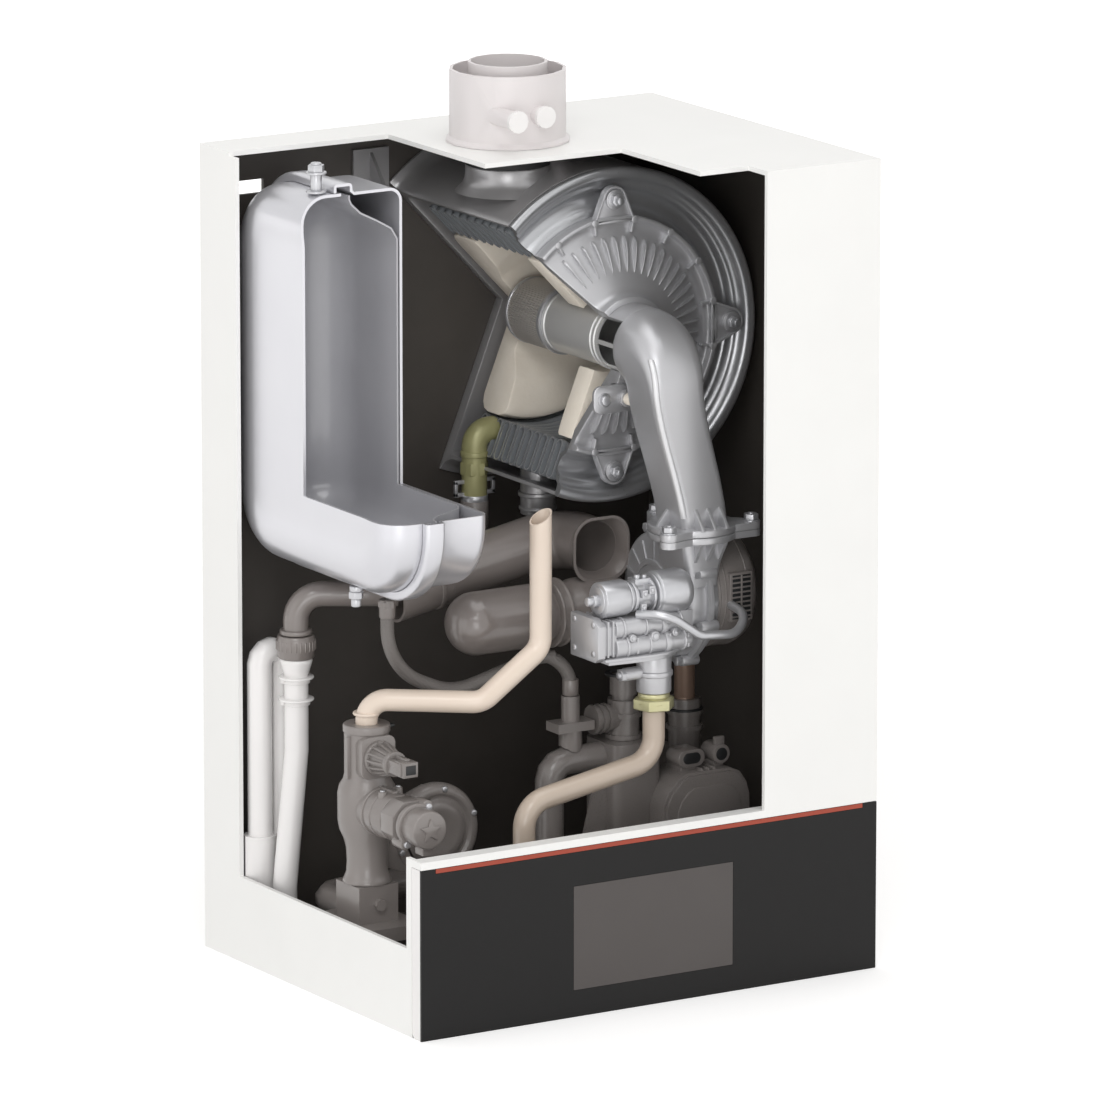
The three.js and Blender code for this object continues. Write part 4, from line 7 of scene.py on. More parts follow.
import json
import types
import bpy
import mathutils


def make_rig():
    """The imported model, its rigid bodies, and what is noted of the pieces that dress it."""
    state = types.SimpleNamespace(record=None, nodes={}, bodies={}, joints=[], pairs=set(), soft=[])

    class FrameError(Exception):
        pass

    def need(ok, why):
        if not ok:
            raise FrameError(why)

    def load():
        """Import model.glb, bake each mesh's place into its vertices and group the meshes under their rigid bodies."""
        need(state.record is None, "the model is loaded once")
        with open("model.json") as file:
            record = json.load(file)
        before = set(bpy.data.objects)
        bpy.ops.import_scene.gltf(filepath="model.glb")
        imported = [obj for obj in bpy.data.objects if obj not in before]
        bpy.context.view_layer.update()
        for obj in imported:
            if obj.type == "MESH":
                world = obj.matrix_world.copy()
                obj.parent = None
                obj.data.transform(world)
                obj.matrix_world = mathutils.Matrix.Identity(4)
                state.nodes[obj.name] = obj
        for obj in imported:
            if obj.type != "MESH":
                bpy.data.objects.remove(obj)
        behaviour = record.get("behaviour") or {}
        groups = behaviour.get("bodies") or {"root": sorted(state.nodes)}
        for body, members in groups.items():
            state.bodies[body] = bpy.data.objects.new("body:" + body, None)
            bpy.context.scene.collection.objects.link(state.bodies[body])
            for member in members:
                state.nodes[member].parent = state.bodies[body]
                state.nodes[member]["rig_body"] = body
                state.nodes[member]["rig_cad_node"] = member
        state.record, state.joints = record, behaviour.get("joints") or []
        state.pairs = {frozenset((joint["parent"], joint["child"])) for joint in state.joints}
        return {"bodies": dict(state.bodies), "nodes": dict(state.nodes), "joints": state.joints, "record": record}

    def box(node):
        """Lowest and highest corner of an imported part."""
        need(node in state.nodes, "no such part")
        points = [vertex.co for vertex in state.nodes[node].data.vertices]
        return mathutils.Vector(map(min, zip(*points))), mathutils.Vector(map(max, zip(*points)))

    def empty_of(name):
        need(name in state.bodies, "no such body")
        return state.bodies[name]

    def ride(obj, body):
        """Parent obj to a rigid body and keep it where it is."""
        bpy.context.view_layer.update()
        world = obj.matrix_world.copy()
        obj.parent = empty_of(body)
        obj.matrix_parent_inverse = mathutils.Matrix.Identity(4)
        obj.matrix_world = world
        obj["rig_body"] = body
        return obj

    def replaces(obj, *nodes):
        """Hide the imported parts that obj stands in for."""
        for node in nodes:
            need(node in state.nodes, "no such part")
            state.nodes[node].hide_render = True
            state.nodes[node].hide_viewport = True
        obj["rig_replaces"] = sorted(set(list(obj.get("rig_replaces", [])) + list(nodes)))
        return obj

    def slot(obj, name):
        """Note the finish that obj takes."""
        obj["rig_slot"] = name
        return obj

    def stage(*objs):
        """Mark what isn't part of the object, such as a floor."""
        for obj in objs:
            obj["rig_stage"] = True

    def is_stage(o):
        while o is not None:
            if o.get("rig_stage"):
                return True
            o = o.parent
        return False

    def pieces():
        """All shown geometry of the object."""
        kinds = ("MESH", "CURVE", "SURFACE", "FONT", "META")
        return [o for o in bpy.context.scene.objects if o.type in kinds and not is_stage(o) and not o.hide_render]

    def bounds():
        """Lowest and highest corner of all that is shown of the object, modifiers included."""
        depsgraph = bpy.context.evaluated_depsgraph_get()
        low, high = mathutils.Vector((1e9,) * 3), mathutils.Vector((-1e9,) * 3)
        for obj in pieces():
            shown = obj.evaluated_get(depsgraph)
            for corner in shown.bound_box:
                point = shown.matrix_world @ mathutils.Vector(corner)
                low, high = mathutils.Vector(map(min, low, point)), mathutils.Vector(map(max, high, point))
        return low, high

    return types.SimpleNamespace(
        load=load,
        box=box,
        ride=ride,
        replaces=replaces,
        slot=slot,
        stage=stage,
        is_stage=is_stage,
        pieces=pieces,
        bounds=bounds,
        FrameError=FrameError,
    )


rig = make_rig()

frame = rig.load()

import json
import logging
import math
from dataclasses import dataclass
from enum import Enum
from typing import Callable, Iterable, NamedTuple, Optional, Sequence

import bmesh
import bpy
from mathutils import Matrix, Vector

LOG = logging.getLogger("boiler")
MM = 0.001
CAD_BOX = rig.bounds()
SIZE_FILE = "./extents.json"
BODY = "boiler"

Point = Sequence[float]
Profile = Sequence[tuple[float, float]]
Seat = Callable[[float, float, float], Point]
# A wave texture of scale 1 has a band in every 0.314 of a unit.
BAND_SHARE = 0.314
# Loops of knitted wire stand 1.57 rows apart and rise 0.35 of a row's height.
LOOP_SPACING_SHARE = 1.57
LOOP_RISE_SHARE = 0.35


def linear(hex_colour: str) -> tuple[float, float, float, float]:
    """Turn an sRGB hex colour to linear light.

    Args:
        hex_colour: six hex digits.

    Returns:
        Linear red, green, blue and an alpha of one.
    """
    parts = [int(hex_colour[i : i + 2], 16) / 255 for i in (0, 2, 4)]
    lit = [c / 12.92 if c <= 0.04045 else ((c + 0.055) / 1.055) ** 2.4 for c in parts]
    return (lit[0], lit[1], lit[2], 1)


def add_node(
    tree: bpy.types.NodeTree, kind: str, links: Optional[dict] = None, **settings: object
) -> bpy.types.Node:
    """Add one node with its settings and its incoming links.

    Args:
        tree: the node tree.
        kind: the node's type name.
        links: input name or index to the output socket that feeds it.
        settings: attribute or input name to its value.

    Returns:
        The new node.
    """
    node = tree.nodes.new(kind)
    for key, value in settings.items():
        name = key.replace("_", " ").title()
        if hasattr(node, key):
            setattr(node, key, value)
        else:
            node.inputs[name].default_value = value
    for key, output in (links or {}).items():
        tree.links.new(output, node.inputs[key])
    return node


class Axis(Enum):
    """The axes of a piece's own frame."""

    X = 0
    Y = 1
    Z = 2


class Bar(NamedTuple):
    """One round bar of a stack: its ends on the stack's line, and its shape."""

    start: float
    end: float
    radius: float
    steps: int
    edge: float = 0.5
    slot: int = 0


class Relief(Enum):
    """How a surface was made, which sets the pattern of its fine relief."""

    SMOOTH = "smooth"
    GRAINED = "grained"
    CAST = "cast"
    FIBROUS = "fibrous"
    KNITTED = "knitted"
    BRAIDED = "braided"


@dataclass(frozen=True)
class Finish:
    """One real surface: its colour, shine and the relief that its making left.

    pitch_mm is the spacing of the fine pattern and depth_mm its depth, both in real millimetres;
    cloud_mm is the size of the soft colour changes. The grain of moulded plastic, paint and cast
    metal is 0.1 to 0.3 mm on the real thing, too fine to show, so it is drawn at 0.9 to 2 mm.
    """

    name: str
    colour: str
    shade: str
    roughness: float
    metallic: float = 0.0
    relief: Relief = Relief.SMOOTH
    pitch_mm: float = 1.0
    depth_mm: float = 0.01
    ior: float = 1.5
    coat: float = 0.0
    wear: float = 0.1
    cloud_mm: float = 60.0

    def build(self) -> bpy.types.Material:
        """Make the node material of this finish.

        Returns:
            The material.
        """
        material = bpy.data.materials.new(self.name)
        material.use_nodes = True
        tree = material.node_tree
        tree.nodes.clear()
        place = add_node(tree, "ShaderNodeTexCoord").outputs["Object"]
        # Soft clouds of the second colour, as large as cloud_mm, keep a wide face from looking flat.
        cloud = add_node(
            tree, "ShaderNodeTexNoise", {"Vector": place}, scale=1 / (self.cloud_mm * MM), detail=3.0
        )
        tint = add_node(tree, "ShaderNodeMix", {"Factor": cloud.outputs["Fac"]}, data_type="RGBA")
        tint.inputs[6].default_value = linear(self.colour)
        tint.inputs[7].default_value = linear(self.shade)
        fine = self.fine_pattern(tree, place)
        # The pattern also changes the roughness, by wear, so that highlights break up a little.
        rough = add_node(tree, "ShaderNodeMapRange", {"Value": fine})
        rough.inputs["To Min"].default_value = max(self.roughness - self.wear / 2, 0.03)
        rough.inputs["To Max"].default_value = min(self.roughness + self.wear / 2, 1.0)
        bump = add_node(tree, "ShaderNodeBump", {"Height": fine}, strength=0.6, distance=self.depth_mm * MM)
        links = {
            "Base Color": tint.outputs[2], "Roughness": rough.outputs["Result"],
            "Normal": bump.outputs["Normal"],
        }
        shader = add_node(tree, "ShaderNodeBsdfPrincipled", links)
        shader.inputs["Metallic"].default_value = self.metallic
        shader.inputs["IOR"].default_value = self.ior
        shader.inputs["Coat Weight"].default_value = self.coat
        shader.inputs["Coat Roughness"].default_value = 0.1
        add_node(tree, "ShaderNodeOutputMaterial", {"Surface": shader.outputs["BSDF"]})
        return material

    def fine_pattern(self, tree: bpy.types.NodeTree, place: bpy.types.NodeSocket) -> bpy.types.NodeSocket:
        """Make the height pattern of the relief.

        Args:
            tree: the material's tree.
            place: object coordinates in metres.

        Returns:
            The height from 0 to 1.
        """
        scale = 1 / (self.pitch_mm * MM)
        if self.relief is Relief.KNITTED:
            return self.knit_pattern(tree, place)
        if self.relief is Relief.BRAIDED:
            return self.weave_pattern(tree, place)
        if self.relief is Relief.CAST:
            cells = add_node(tree, "ShaderNodeTexVoronoi", {"Vector": place}, scale=scale)
            return cells.outputs["Distance"]
        detail = {Relief.SMOOTH: 1, Relief.GRAINED: 2, Relief.FIBROUS: 8}
        noise = add_node(
            tree, "ShaderNodeTexNoise", {"Vector": place}, scale=scale, detail=detail[self.relief]
        )
        return noise.outputs["Fac"]

    def knit_pattern(self, tree: bpy.types.NodeTree, place: bpy.types.NodeSocket) -> bpy.types.NodeSocket:
        """Make rows of knitted wire: bands along the depth, broken by finer loops.

        Args:
            tree: the material's tree.
            place: object coordinates in metres.

        Returns:
            The height from 0 to 1.
        """
        kind, feed = "ShaderNodeTexWave", {"Vector": place}
        row = BAND_SHARE / (self.pitch_mm * MM)
        rows = add_node(tree, kind, feed, bands_direction="Y", scale=row)
        loops = add_node(tree, kind, feed, bands_direction="Z", scale=row / LOOP_SPACING_SHARE)
        share = add_node(tree, "ShaderNodeMath", {0: loops.outputs["Fac"]}, operation="MULTIPLY")
        share.inputs[1].default_value = LOOP_RISE_SHARE
        links = {0: rows.outputs["Fac"], 1: share.outputs[0]}
        return add_node(tree, "ShaderNodeMath", links, operation="ADD").outputs[0]

    def weave_pattern(self, tree: bpy.types.NodeTree, place: bpy.types.NodeSocket) -> bpy.types.NodeSocket:
        """Make two crossed bands of braid.

        Args:
            tree: the material's tree.
            place: object coordinates in metres.

        Returns:
            The height from 0 to 1.
        """
        bands = []
        for side in (1, -1):
            turn = add_node(tree, "ShaderNodeMapping", {"Vector": place})
            turn.inputs["Scale"].default_value = (1.0, side, 1.0)
            band = add_node(
                tree, "ShaderNodeTexWave", {"Vector": turn.outputs["Vector"]}, bands_direction="DIAGONAL",
                scale=BAND_SHARE / (self.pitch_mm * MM),
            )
            bands.append(band.outputs["Fac"])
        return add_node(tree, "ShaderNodeMath", dict(enumerate(bands)), operation="MAXIMUM").outputs[0]


GRAIN = Relief.GRAINED
FINISHES = {
    # Powder coat on sheet steel: even white, satin, with no mirror image.
    "white_paint": Finish("powder_coat_white", "F6F6F4", "F1F1EF", 0.38, relief=GRAIN, pitch_mm=1.6),
    # Dull grey brown over the inner faces of the casing, for the shade inside it: painted shade, so that the cut sheet
    # edges stand out.
    "inner_coating": Finish("painted_inner_shade", "524D49", "433F3B", 0.55, relief=GRAIN, pitch_mm=1.6),
    # Moulded ABS: a warm white with a soft gloss on its round sides.
    "white_plastic": Finish(
        "moulded_abs_white", "F1EFEE", "EBE9E8", 0.24, relief=GRAIN, pitch_mm=1.2, coat=0.4
    ),
    # Moulded polypropylene: a little greyer and duller than the casing.
    "flue_plastic": Finish("moulded_pp_white", "E4DFDF", "DCD7D7", 0.34, relief=GRAIN, pitch_mm=1.2),
    # Moulded nylon: near black with a wide soft highlight.
    "black_plastic": Finish("moulded_nylon_black", "202122", "2A2B2C", 0.5, relief=GRAIN),
    # Glass printed black at its back: deep black under one clear, weak reflection.
    "black_glass": Finish("black_backed_glass", "161515", "141313", 0.1, wear=0.02, depth_mm=0.0, ior=1.35),
    # Display behind the glass: a brown grey field that stands out a little.
    "display_glass": Finish("display_glass", "4E4947", "484341", 0.16, wear=0.04, depth_mm=0.0),
    # Moulded acrylic light guide: a thin dull red line.
    "red_strip": Finish("red_light_guide", "A8432B", "9A3A25", 0.35),
    # Enamel over drawn steel: pale grey with a broad gleam on its round edges.
    "vessel_paint": Finish(
        "vessel_enamel", "D6D6DA", "CDCDD2", 0.29, metallic=0.6, wear=0.02, coat=0.2, cloud_mm=90.0
    ),
    # Bare rolled steel inside the vessel: the same grey with a tighter gleam.
    "vessel_inner": Finish(
        "vessel_bare_steel", "D2D2D6", "C4C4C9", 0.29, metallic=0.45, wear=0.02, depth_mm=0.002,
        cloud_mm=80.0,
    ),
    # Pressed butyl rubber: grey with a soft sheen along its wave.
    "grey_rubber": Finish(
        "membrane_rubber", "B6B6BA", "A8A8AD", 0.29, coat=0.5, wear=0.03, relief=GRAIN, pitch_mm=2.0
    ),
    # Moulded EPDM: matt black.
    "black_rubber": Finish("epdm_black", "1B1B1B", "262626", 0.7, relief=GRAIN),
    # Pressed stainless steel: light grey with bright lines on its beads.
    "stainless": Finish(
        "stainless_pressed", "B9BABC", "ADAEB1", 0.3, metallic=0.75, depth_mm=0.004, cloud_mm=30.0
    ),
    # Drawn stainless tube: light bands along the sleeve.
    "mixer_steel": Finish(
        "stainless_drawn", "CFCFCE", "C3C3C2", 0.32, metallic=0.35, wear=0.03, depth_mm=0.002
    ),
    # Annealed stainless steel: dimmer and clouded by heat.
    "dark_steel": Finish(
        "stainless_annealed", "B4B3B4", "A5A4A5", 0.31, metallic=0.5, wear=0.03, depth_mm=0.002,
        cloud_mm=50.0,
    ),
    # Formed stainless tube: bright round backs with dark gaps between them.
    "lamella_steel": Finish(
        "lamella_tube", "9A9EA2", "8A8E92", 0.3, metallic=0.25, depth_mm=0.005, cloud_mm=20.0
    ),
    # Die-cast aluminium: light grey with the pebbled skin that the mould leaves.
    "cast_alloy": Finish(
        "aluminium_die_cast", "C2C2C4", "B5B5B8", 0.36, metallic=0.5, relief=Relief.CAST, pitch_mm=0.9,
        depth_mm=0.02
    ),
    # The same casting, lighter along the rib of the downpipe: a painted highlight where light catches its crease.
    "bright_edge": Finish(
        "aluminium_painted_highlight", "E4E4E6", "DADADC", 0.3, metallic=0.2, wear=0.03, depth_mm=0.002
    ),
    # Knitted metal fibre: shiny rows 1.2 mm apart, drawn at 2.4 mm because they are too fine.
    "burner_knit": Finish(
        "knitted_fibre_burner", "CFCBC6", "B8B4AF", 0.42, metallic=0.45, relief=Relief.KNITTED,
        pitch_mm=2.4, depth_mm=0.3
    ),
    # Pressed ceramic fibre: warm white and matt; fibres of 0.01 mm are drawn as 3 mm tufts.
    "insulation": Finish(
        "ceramic_fibre", "F4EADA", "FFF7EA", 0.95, relief=Relief.FIBROUS, pitch_mm=3.0, depth_mm=0.5,
        cloud_mm=14.0
    ),
    # Zinc-plated steel: bright grey with small dull clouds.
    "zinc_steel": Finish(
        "zinc_plated_steel", "C6C6C9", "B8B9BC", 0.29, metallic=0.6, wear=0.02, depth_mm=0.001,
        cloud_mm=12.0,
    ),
    # Turned brass: pale yellow with a clear gleam.
    "brass": Finish(
        "brass_turned", "CBC79F", "BDB98F", 0.3, metallic=0.45, depth_mm=0.002, wear=0.04, cloud_mm=12.0
    ),
    # Cast brass left to oxidise: dull olive with a sandy skin.
    "olive_brass": Finish(
        "brass_oxidised", "ABA97C", "9A9769", 0.36, metallic=0.15, relief=Relief.CAST, pitch_mm=1.2
    ),
    # Lacquered steel tube: warm cream with a wet highlight along it.
    "beige_pipe": Finish("lacquered_tube", "E8D9CA", "DCCBBB", 0.3, coat=0.3),
    # Lacquered gas tube: the same lacquer, darker.
    "gas_pipe_paint": Finish("gas_tube_lacquer", "C4B5A6", "B5A697", 0.3, coat=0.3),
    # Moulded grey polypropylene: warm grey with a glossy skin.
    "duct_plastic": Finish(
        "moulded_pp_grey", "857E7A", "7B7471", 0.29, relief=GRAIN, coat=0.5, wear=0.03, depth_mm=0.004
    ),
    # Moulded glass-filled PPS: lighter warm grey, satin.
    "block_plastic": Finish("moulded_pps_grey", "8C8683", "817B78", 0.3, relief=GRAIN, coat=0.25),
    # Moulded PPE covers: dark warm grey, satin.
    "dark_plastic": Finish(
        "moulded_ppe_dark", "88827F", "7A7572", 0.28, relief=GRAIN, coat=0.25, wear=0.04, depth_mm=0.004
    ),
    # Braided hose: crossed strands 0.9 mm wide, drawn at 1.8 mm because they are too fine.
    "hose_rubber": Finish(
        "braided_hose", "7D7875", "6C6865", 0.42, relief=Relief.BRAIDED, pitch_mm=1.8, depth_mm=0.3
    ),
    # Copper tube left to tarnish: a brown pink with a dim gleam.
    "copper_pipe": Finish("copper_tarnished", "AE9484", "9E8474", 0.34, metallic=0.35),
}
# The slot of the record that each finish of the scene's own belongs to.
FRAME_SLOT = {
    "inner_coating": "white_paint",
    "vessel_inner": "vessel_paint",
    "mixer_steel": "stainless",
    "lamella_steel": "dark_steel",
    "burner_knit": "stainless",
    "bright_edge": "cast_alloy",
}


# Nodes whose finish differs from the one of their slot.
OTHER_FINISH = {"drum_bracket": "dark_steel", "flue_collar": "flue_plastic", "flue_pipe": "flue_plastic"}
# Width in millimetres of the eased edges of the nodes that aren't plain sheet.
EASED = {
    "diverter_body": 1.6,
    "diverter_actuator": 1,
    "hydraulic_base": 1.6,
    "flow_sensor": 0.6,
    "pump_body": 1,
    "pump_manifold": 1.2,
    "pump_control_box": 1.4,
    "air_vent": 0.8,
    "hose_connector": 0.7,
    "panel_glass": 0.2,
    "display_window": 0.2,
    "light_strip": 0.2,
}


def smooth_tree(degrees: float) -> bpy.types.NodeTree:
    """Make the node group that shades gentle edges smooth and keeps the sharp ones.

    Args:
        degrees: edges that turn less than this are smooth.

    Returns:
        The geometry node group.
    """
    tree = bpy.data.node_groups.new(f"smooth_below_{degrees:.0f}", "GeometryNodeTree")
    tree.interface.new_socket("Geometry", in_out="INPUT", socket_type="NodeSocketGeometry")
    tree.interface.new_socket("Geometry", in_out="OUTPUT", socket_type="NodeSocketGeometry")
    start = add_node(tree, "NodeGroupInput")
    weld = add_node(tree, "GeometryNodeMergeByDistance", {"Geometry": start.outputs[0]}, distance=0.00001)
    faces = add_node(tree, "GeometryNodeSetShadeSmooth", {"Geometry": weld.outputs[0]}, domain="FACE")
    angle = add_node(tree, "GeometryNodeInputMeshEdgeAngle")
    gentle = add_node(
        tree, "FunctionNodeCompare", {0: angle.outputs["Unsigned Angle"]}, operation="LESS_THAN"
    )
    gentle.inputs[1].default_value = math.radians(degrees)
    links = {"Geometry": faces.outputs[0], "Shade Smooth": gentle.outputs[0]}
    edges = add_node(tree, "GeometryNodeSetShadeSmooth", links, domain="EDGE")
    add_node(tree, "NodeGroupOutput", {0: edges.outputs[0]})
    return tree


def polar(radius: float, degrees: float) -> tuple[float, float]:
    """Give the flat place at a radius and an angle."""
    angle = math.radians(degrees)
    return radius * math.cos(angle), radius * math.sin(angle)


def section_ring(frame: Sequence[Vector], radius: float, steps: int) -> list[Vector]:
    """Lay points evenly on a circle.

    Args:
        frame: the circle's centre and two unit directions across it.
        radius: its radius.
        steps: how many points.

    Returns:
        The points in order.
    """
    centre, side, up = frame
    turn = math.tau / steps
    return [centre + radius * (math.cos(i * turn) * side + math.sin(i * turn) * up) for i in range(steps)]


def ring_on(centre: Point, axis: Point, radius: float, steps: int) -> list[Vector]:
    """Lay points evenly on a circle that faces along an axis.

    Args:
        centre: the circle's centre.
        axis: the direction that the circle faces.
        radius: its radius.
        steps: how many points.

    Returns:
        The points in order.
    """
    along = Vector(axis).normalized()
    side = along.orthogonal().normalized()
    return section_ring((Vector(centre), side, along.cross(side)), radius, steps)


def slant_ring(ring: Sequence[Vector], centre: Vector, along: Vector, normal: Vector) -> list[Vector]:
    """Slide a ring along its route onto the plane that passes the centre with this normal."""
    return [point - along * ((point - centre).dot(normal) / along.dot(normal)) for point in ring]


def rounded_ring(
    centre: Point, across: Point, up: Point, half_across: float, half_up: float, radius: float,
    steps: int = 8
) -> list[Vector]:
    """Lay points on a rectangle with round corners.

    Args:
        centre: the rectangle's centre.
        across: unit direction of its width.
        up: unit direction of its height.
        half_across: half its width.
        half_up: half its height.
        radius: corner radius, cut down to fit.
        steps: points on each corner.

    Returns:
        The points in order.
    """
    reach = max(min(radius, half_across, half_up), 0.01)
    points = []
    for corner, (sign_a, sign_u) in enumerate([(1, 1), (-1, 1), (-1, -1), (1, -1)]):
        for step in range(steps):
            angle = (corner + step / (steps - 1)) * math.pi / 2
            a = sign_a * (half_across - reach) + reach * math.cos(angle)
            u = sign_u * (half_up - reach) + reach * math.sin(angle)
            points.append(Vector(centre) + a * Vector(across) + u * Vector(up))
    return points


def bent_route(corners: Sequence[Point], bend: float, steps: int = 10) -> list[Vector]:
    """Round the corners of a route.

    Args:
        corners: the route's corners.
        bend: radius of its bends.
        steps: points on each bend.

    Returns:
        The points of the rounded route.
    """
    places = [Vector(corner) for corner in corners]
    route = [places[0]]
    for before, corner, after in zip(places, places[1:], places[2:]):
        inward = (before - corner).normalized()
        outward = (after - corner).normalized()
        half = inward.angle(outward) / 2
        if half > math.radians(89):
            continue
        room = 0.96 * min((before - corner).length, (after - corner).length)
        radius = min(bend, room * math.tan(half))
        middle = (inward + outward).normalized()
        centre = corner + middle * (radius / math.sin(half))
        start = corner + inward * (radius / math.tan(half)) - centre
        axis = start.cross(corner - centre).normalized()
        for step in range(steps + 1):
            angle = (math.pi - 2 * half) * step / steps
            route.append(centre + Matrix.Rotation(angle, 3, axis) @ start)
    route.append(places[-1])
    return route


class Solid:
    """Points and faces of one piece, gathered in millimetres before it becomes an object."""

    def __init__(self, place: Optional[Matrix] = None) -> None:
        """Start an empty piece.

        Args:
            place: turns the points of this piece's own frame to the frame of the part.
        """
        self.place = place or Matrix.Identity(4)
        self.points: list[Vector] = []
        self.faces: list[tuple[int, ...]] = []
        self.slots: list[int] = []

    def add(self, points: Iterable[Point], faces: Iterable[Sequence[int]], slot: int = 0) -> None:
        """Add points and faces.

        Args:
            points: the new points.
            faces: faces that number these points from nought.
            slot: material slot of the faces.
        """
        base = len(self.points)
        self.points.extend(self.place @ Vector(point) for point in points)
        for face in faces:
            self.faces.append(tuple(base + i for i in face))
            self.slots.append(slot)

    def join(self, part: "Solid") -> None:
        """Add the faces of another piece, which are in place already.

        Args:
            part: the other piece.
        """
        base = len(self.points)
        self.points += part.points
        self.faces += [tuple(base + i for i in face) for face in part.faces]
        self.slots += part.slots

    def loft(
        self, rings: Sequence[Sequence[Point]], slot: int = 0, start: bool = True, end: bool = True,
        wrap: bool = False
    ) -> None:
        """Skin a row of rings.

        Args:
            rings: closed rings with the same number of points.
            slot: material slot of the skin.
            start: close the first ring with a face.
            end: close the last ring with a face.
            wrap: join the last ring to the first.
        """
        count = len(rings[0])
        faces = []
        spans = len(rings) if wrap else len(rings) - 1
        for row in range(spans):
            here, there = row * count, ((row + 1) % len(rings)) * count
            for i in range(count):
                j = (i + 1) % count
                faces.append((here + i, here + j, there + j, there + i))
        if start and not wrap:
            faces.append(tuple(reversed(range(count))))
        if end and not wrap:
            last = (len(rings) - 1) * count
            faces.append(tuple(range(last, last + count)))
        self.add([point for ring in rings for point in ring], faces, slot)

    def rod(
        self, start: Point, end: Point, radius: float, steps: int = 24, slot: int = 0, edge: float = 0.5
    ) -> None:
        """Add a round bar with eased edges.

        Args:
            start: centre of one end.
            end: centre of the other.
            radius: its radius.
            steps: points round it.
            slot: material slot.
            edge: radius of its eased edges.
        """
        start, end = Vector(start), Vector(end)
        axis = (end - start).normalized()
        edge = min(edge, 0.4 * radius, 0.4 * (end - start).length)
        stations = [
            (start, radius - edge), (start + 0.3 * edge * axis, radius - 0.3 * edge),
            (start + edge * axis, radius), (end - edge * axis, radius),
            (end - 0.3 * edge * axis, radius - 0.3 * edge), (end, radius - edge),
        ]
        self.loft([ring_on(centre, axis, r, steps) for centre, r in stations], slot)

    def box(self, low: Point, high: Point, slot: int = 0) -> None:
        """Add a block between two corners.

        Args:
            low: its lowest corner.
            high: its highest corner.
            slot: material slot.
        """
        (x0, y0, z0), (x1, y1, z1) = low, high
        foot = [(x0, y0, z0), (x1, y0, z0), (x1, y1, z0), (x0, y1, z0)]
        head = [(x, y, z1) for x, y, _ in foot]
        self.loft([foot, head], slot)

    def slab(self, outline: Profile, axis: Axis, low: float, high: float, slot: int = 0) -> None:
        """Add a flat piece from its outline.

        Args:
            outline: the outline's points, in the order of the two axes left over.
            axis: the axis that it is thick along.
            low: where it starts on that axis.
            high: where it ends.
            slot: material slot.
        """
        rings = [
            [(*flat[: axis.value], level, *flat[axis.value :]) for flat in outline] for level in (low, high)
        ]
        self.loft(rings, slot)

    def stack(self, centre: Point, axis: Axis, bars: Iterable[Bar]) -> None:
        """Add round bars that share one line.

        Args:
            centre: a point of the line.
            axis: the axis that the line follows.
            bars: the bars.
        """
        for bar in bars:
            start, end = Vector(centre), Vector(centre)
            start[axis.value], end[axis.value] = bar.start, bar.end
            self.rod(start, end, bar.radius, bar.steps, bar.slot, bar.edge)

    def lathe(
        self, profile: Profile, steps: int = 96, start: float = 0.0, sweep: float = 360.0, slot: int = 0,
        closed: bool = True, centre: tuple[float, float] = (0.0, 0.0),
    ) -> None:
        """Turn a profile of (radius, height) points about an upright line.

        Args:
            profile: the profile, closed unless said.
            steps: points of a full turn.
            start: angle of the first section, in degrees.
            sweep: how far it turns, in degrees.
            slot: material slot.
            closed: the profile's last point joins its first.
            centre: where the line stands in this piece's own frame.
        """
        full = abs(sweep - 360) < 0.01
        count = max(3, round(steps * sweep / 360))
        rings = []
        for i in range(count if full else count + 1):
            across, up = polar(1, start + sweep * i / count)
            rings.append([(centre[0] + r * across, centre[1] + r * up, h) for r, h in profile])
        if closed:
            self.loft(rings, slot, start=not full, end=not full, wrap=full)
            return
        size = len(profile)
        faces = []
        for row in range(len(rings) if full else len(rings) - 1):
            here, there = row * size, ((row + 1) % len(rings)) * size
            faces += [(here + i, here + i + 1, there + i + 1, there + i) for i in range(size - 1)]
        self.add([point for ring in rings for point in ring], faces, slot)

    def sweep(
        self, route: Sequence[Point], radius: float, steps: int = 20, slot: int = 0, wall: float = 0.0,
        slant: Optional[Point] = None,
    ) -> None:
        """Run a round section along a route.

        Args:
            route: the points of its centre line.
            radius: outer radius.
            steps: points round the section.
            slot: material slot.
            wall: wall thickness where its ends are open.
            slant: normal of the plane that cuts the last end, square when left out.
        """
        places = [Vector(point) for point in route]
        tangents = []
        for i, here in enumerate(places):
            into = here - places[max(i - 1, 0)]
            out = places[min(i + 1, len(places) - 1)] - here
            tangents.append((into.normalized() + out.normalized()).normalized())
        side = tangents[0].orthogonal().normalized()
        frames = []
        for place, tangent in zip(places, tangents):
            side = (side - side.dot(tangent) * tangent).normalized()
            frames.append((place, side, tangent.cross(side)))
        skins = []
        for size in (radius, radius - wall):
            skin = [section_ring(frame, size, steps) for frame in frames]
            if slant is not None:
                skin[-1] = slant_ring(skin[-1], places[-1], tangents[-1], Vector(slant))
            skins.append(skin)
        outer, inner = skins
        if wall:
            self.loft(outer + inner[::-1], slot, wrap=True)
        else:
            self.loft(outer, slot)

    def hexagon(self, start: Point, end: Point, flats: float, slot: int = 0) -> None:
        """Add a hexagonal nut or head with its crown eased.

        Args:
            start: centre of one end.
            end: centre of the other.
            flats: width across flats.
            slot: material slot.
        """
        start, end = Vector(start), Vector(end)
        axis = (end - start).normalized()
        corner = flats / math.sqrt(3)
        ease = 0.08 * flats
        stations = [
            (start, corner - ease), (start + 0.5 * ease * axis, corner),
            (end - 0.5 * ease * axis, corner), (end, corner - ease),
        ]
        self.loft([ring_on(centre, axis, r, 6) for centre, r in stations], slot)


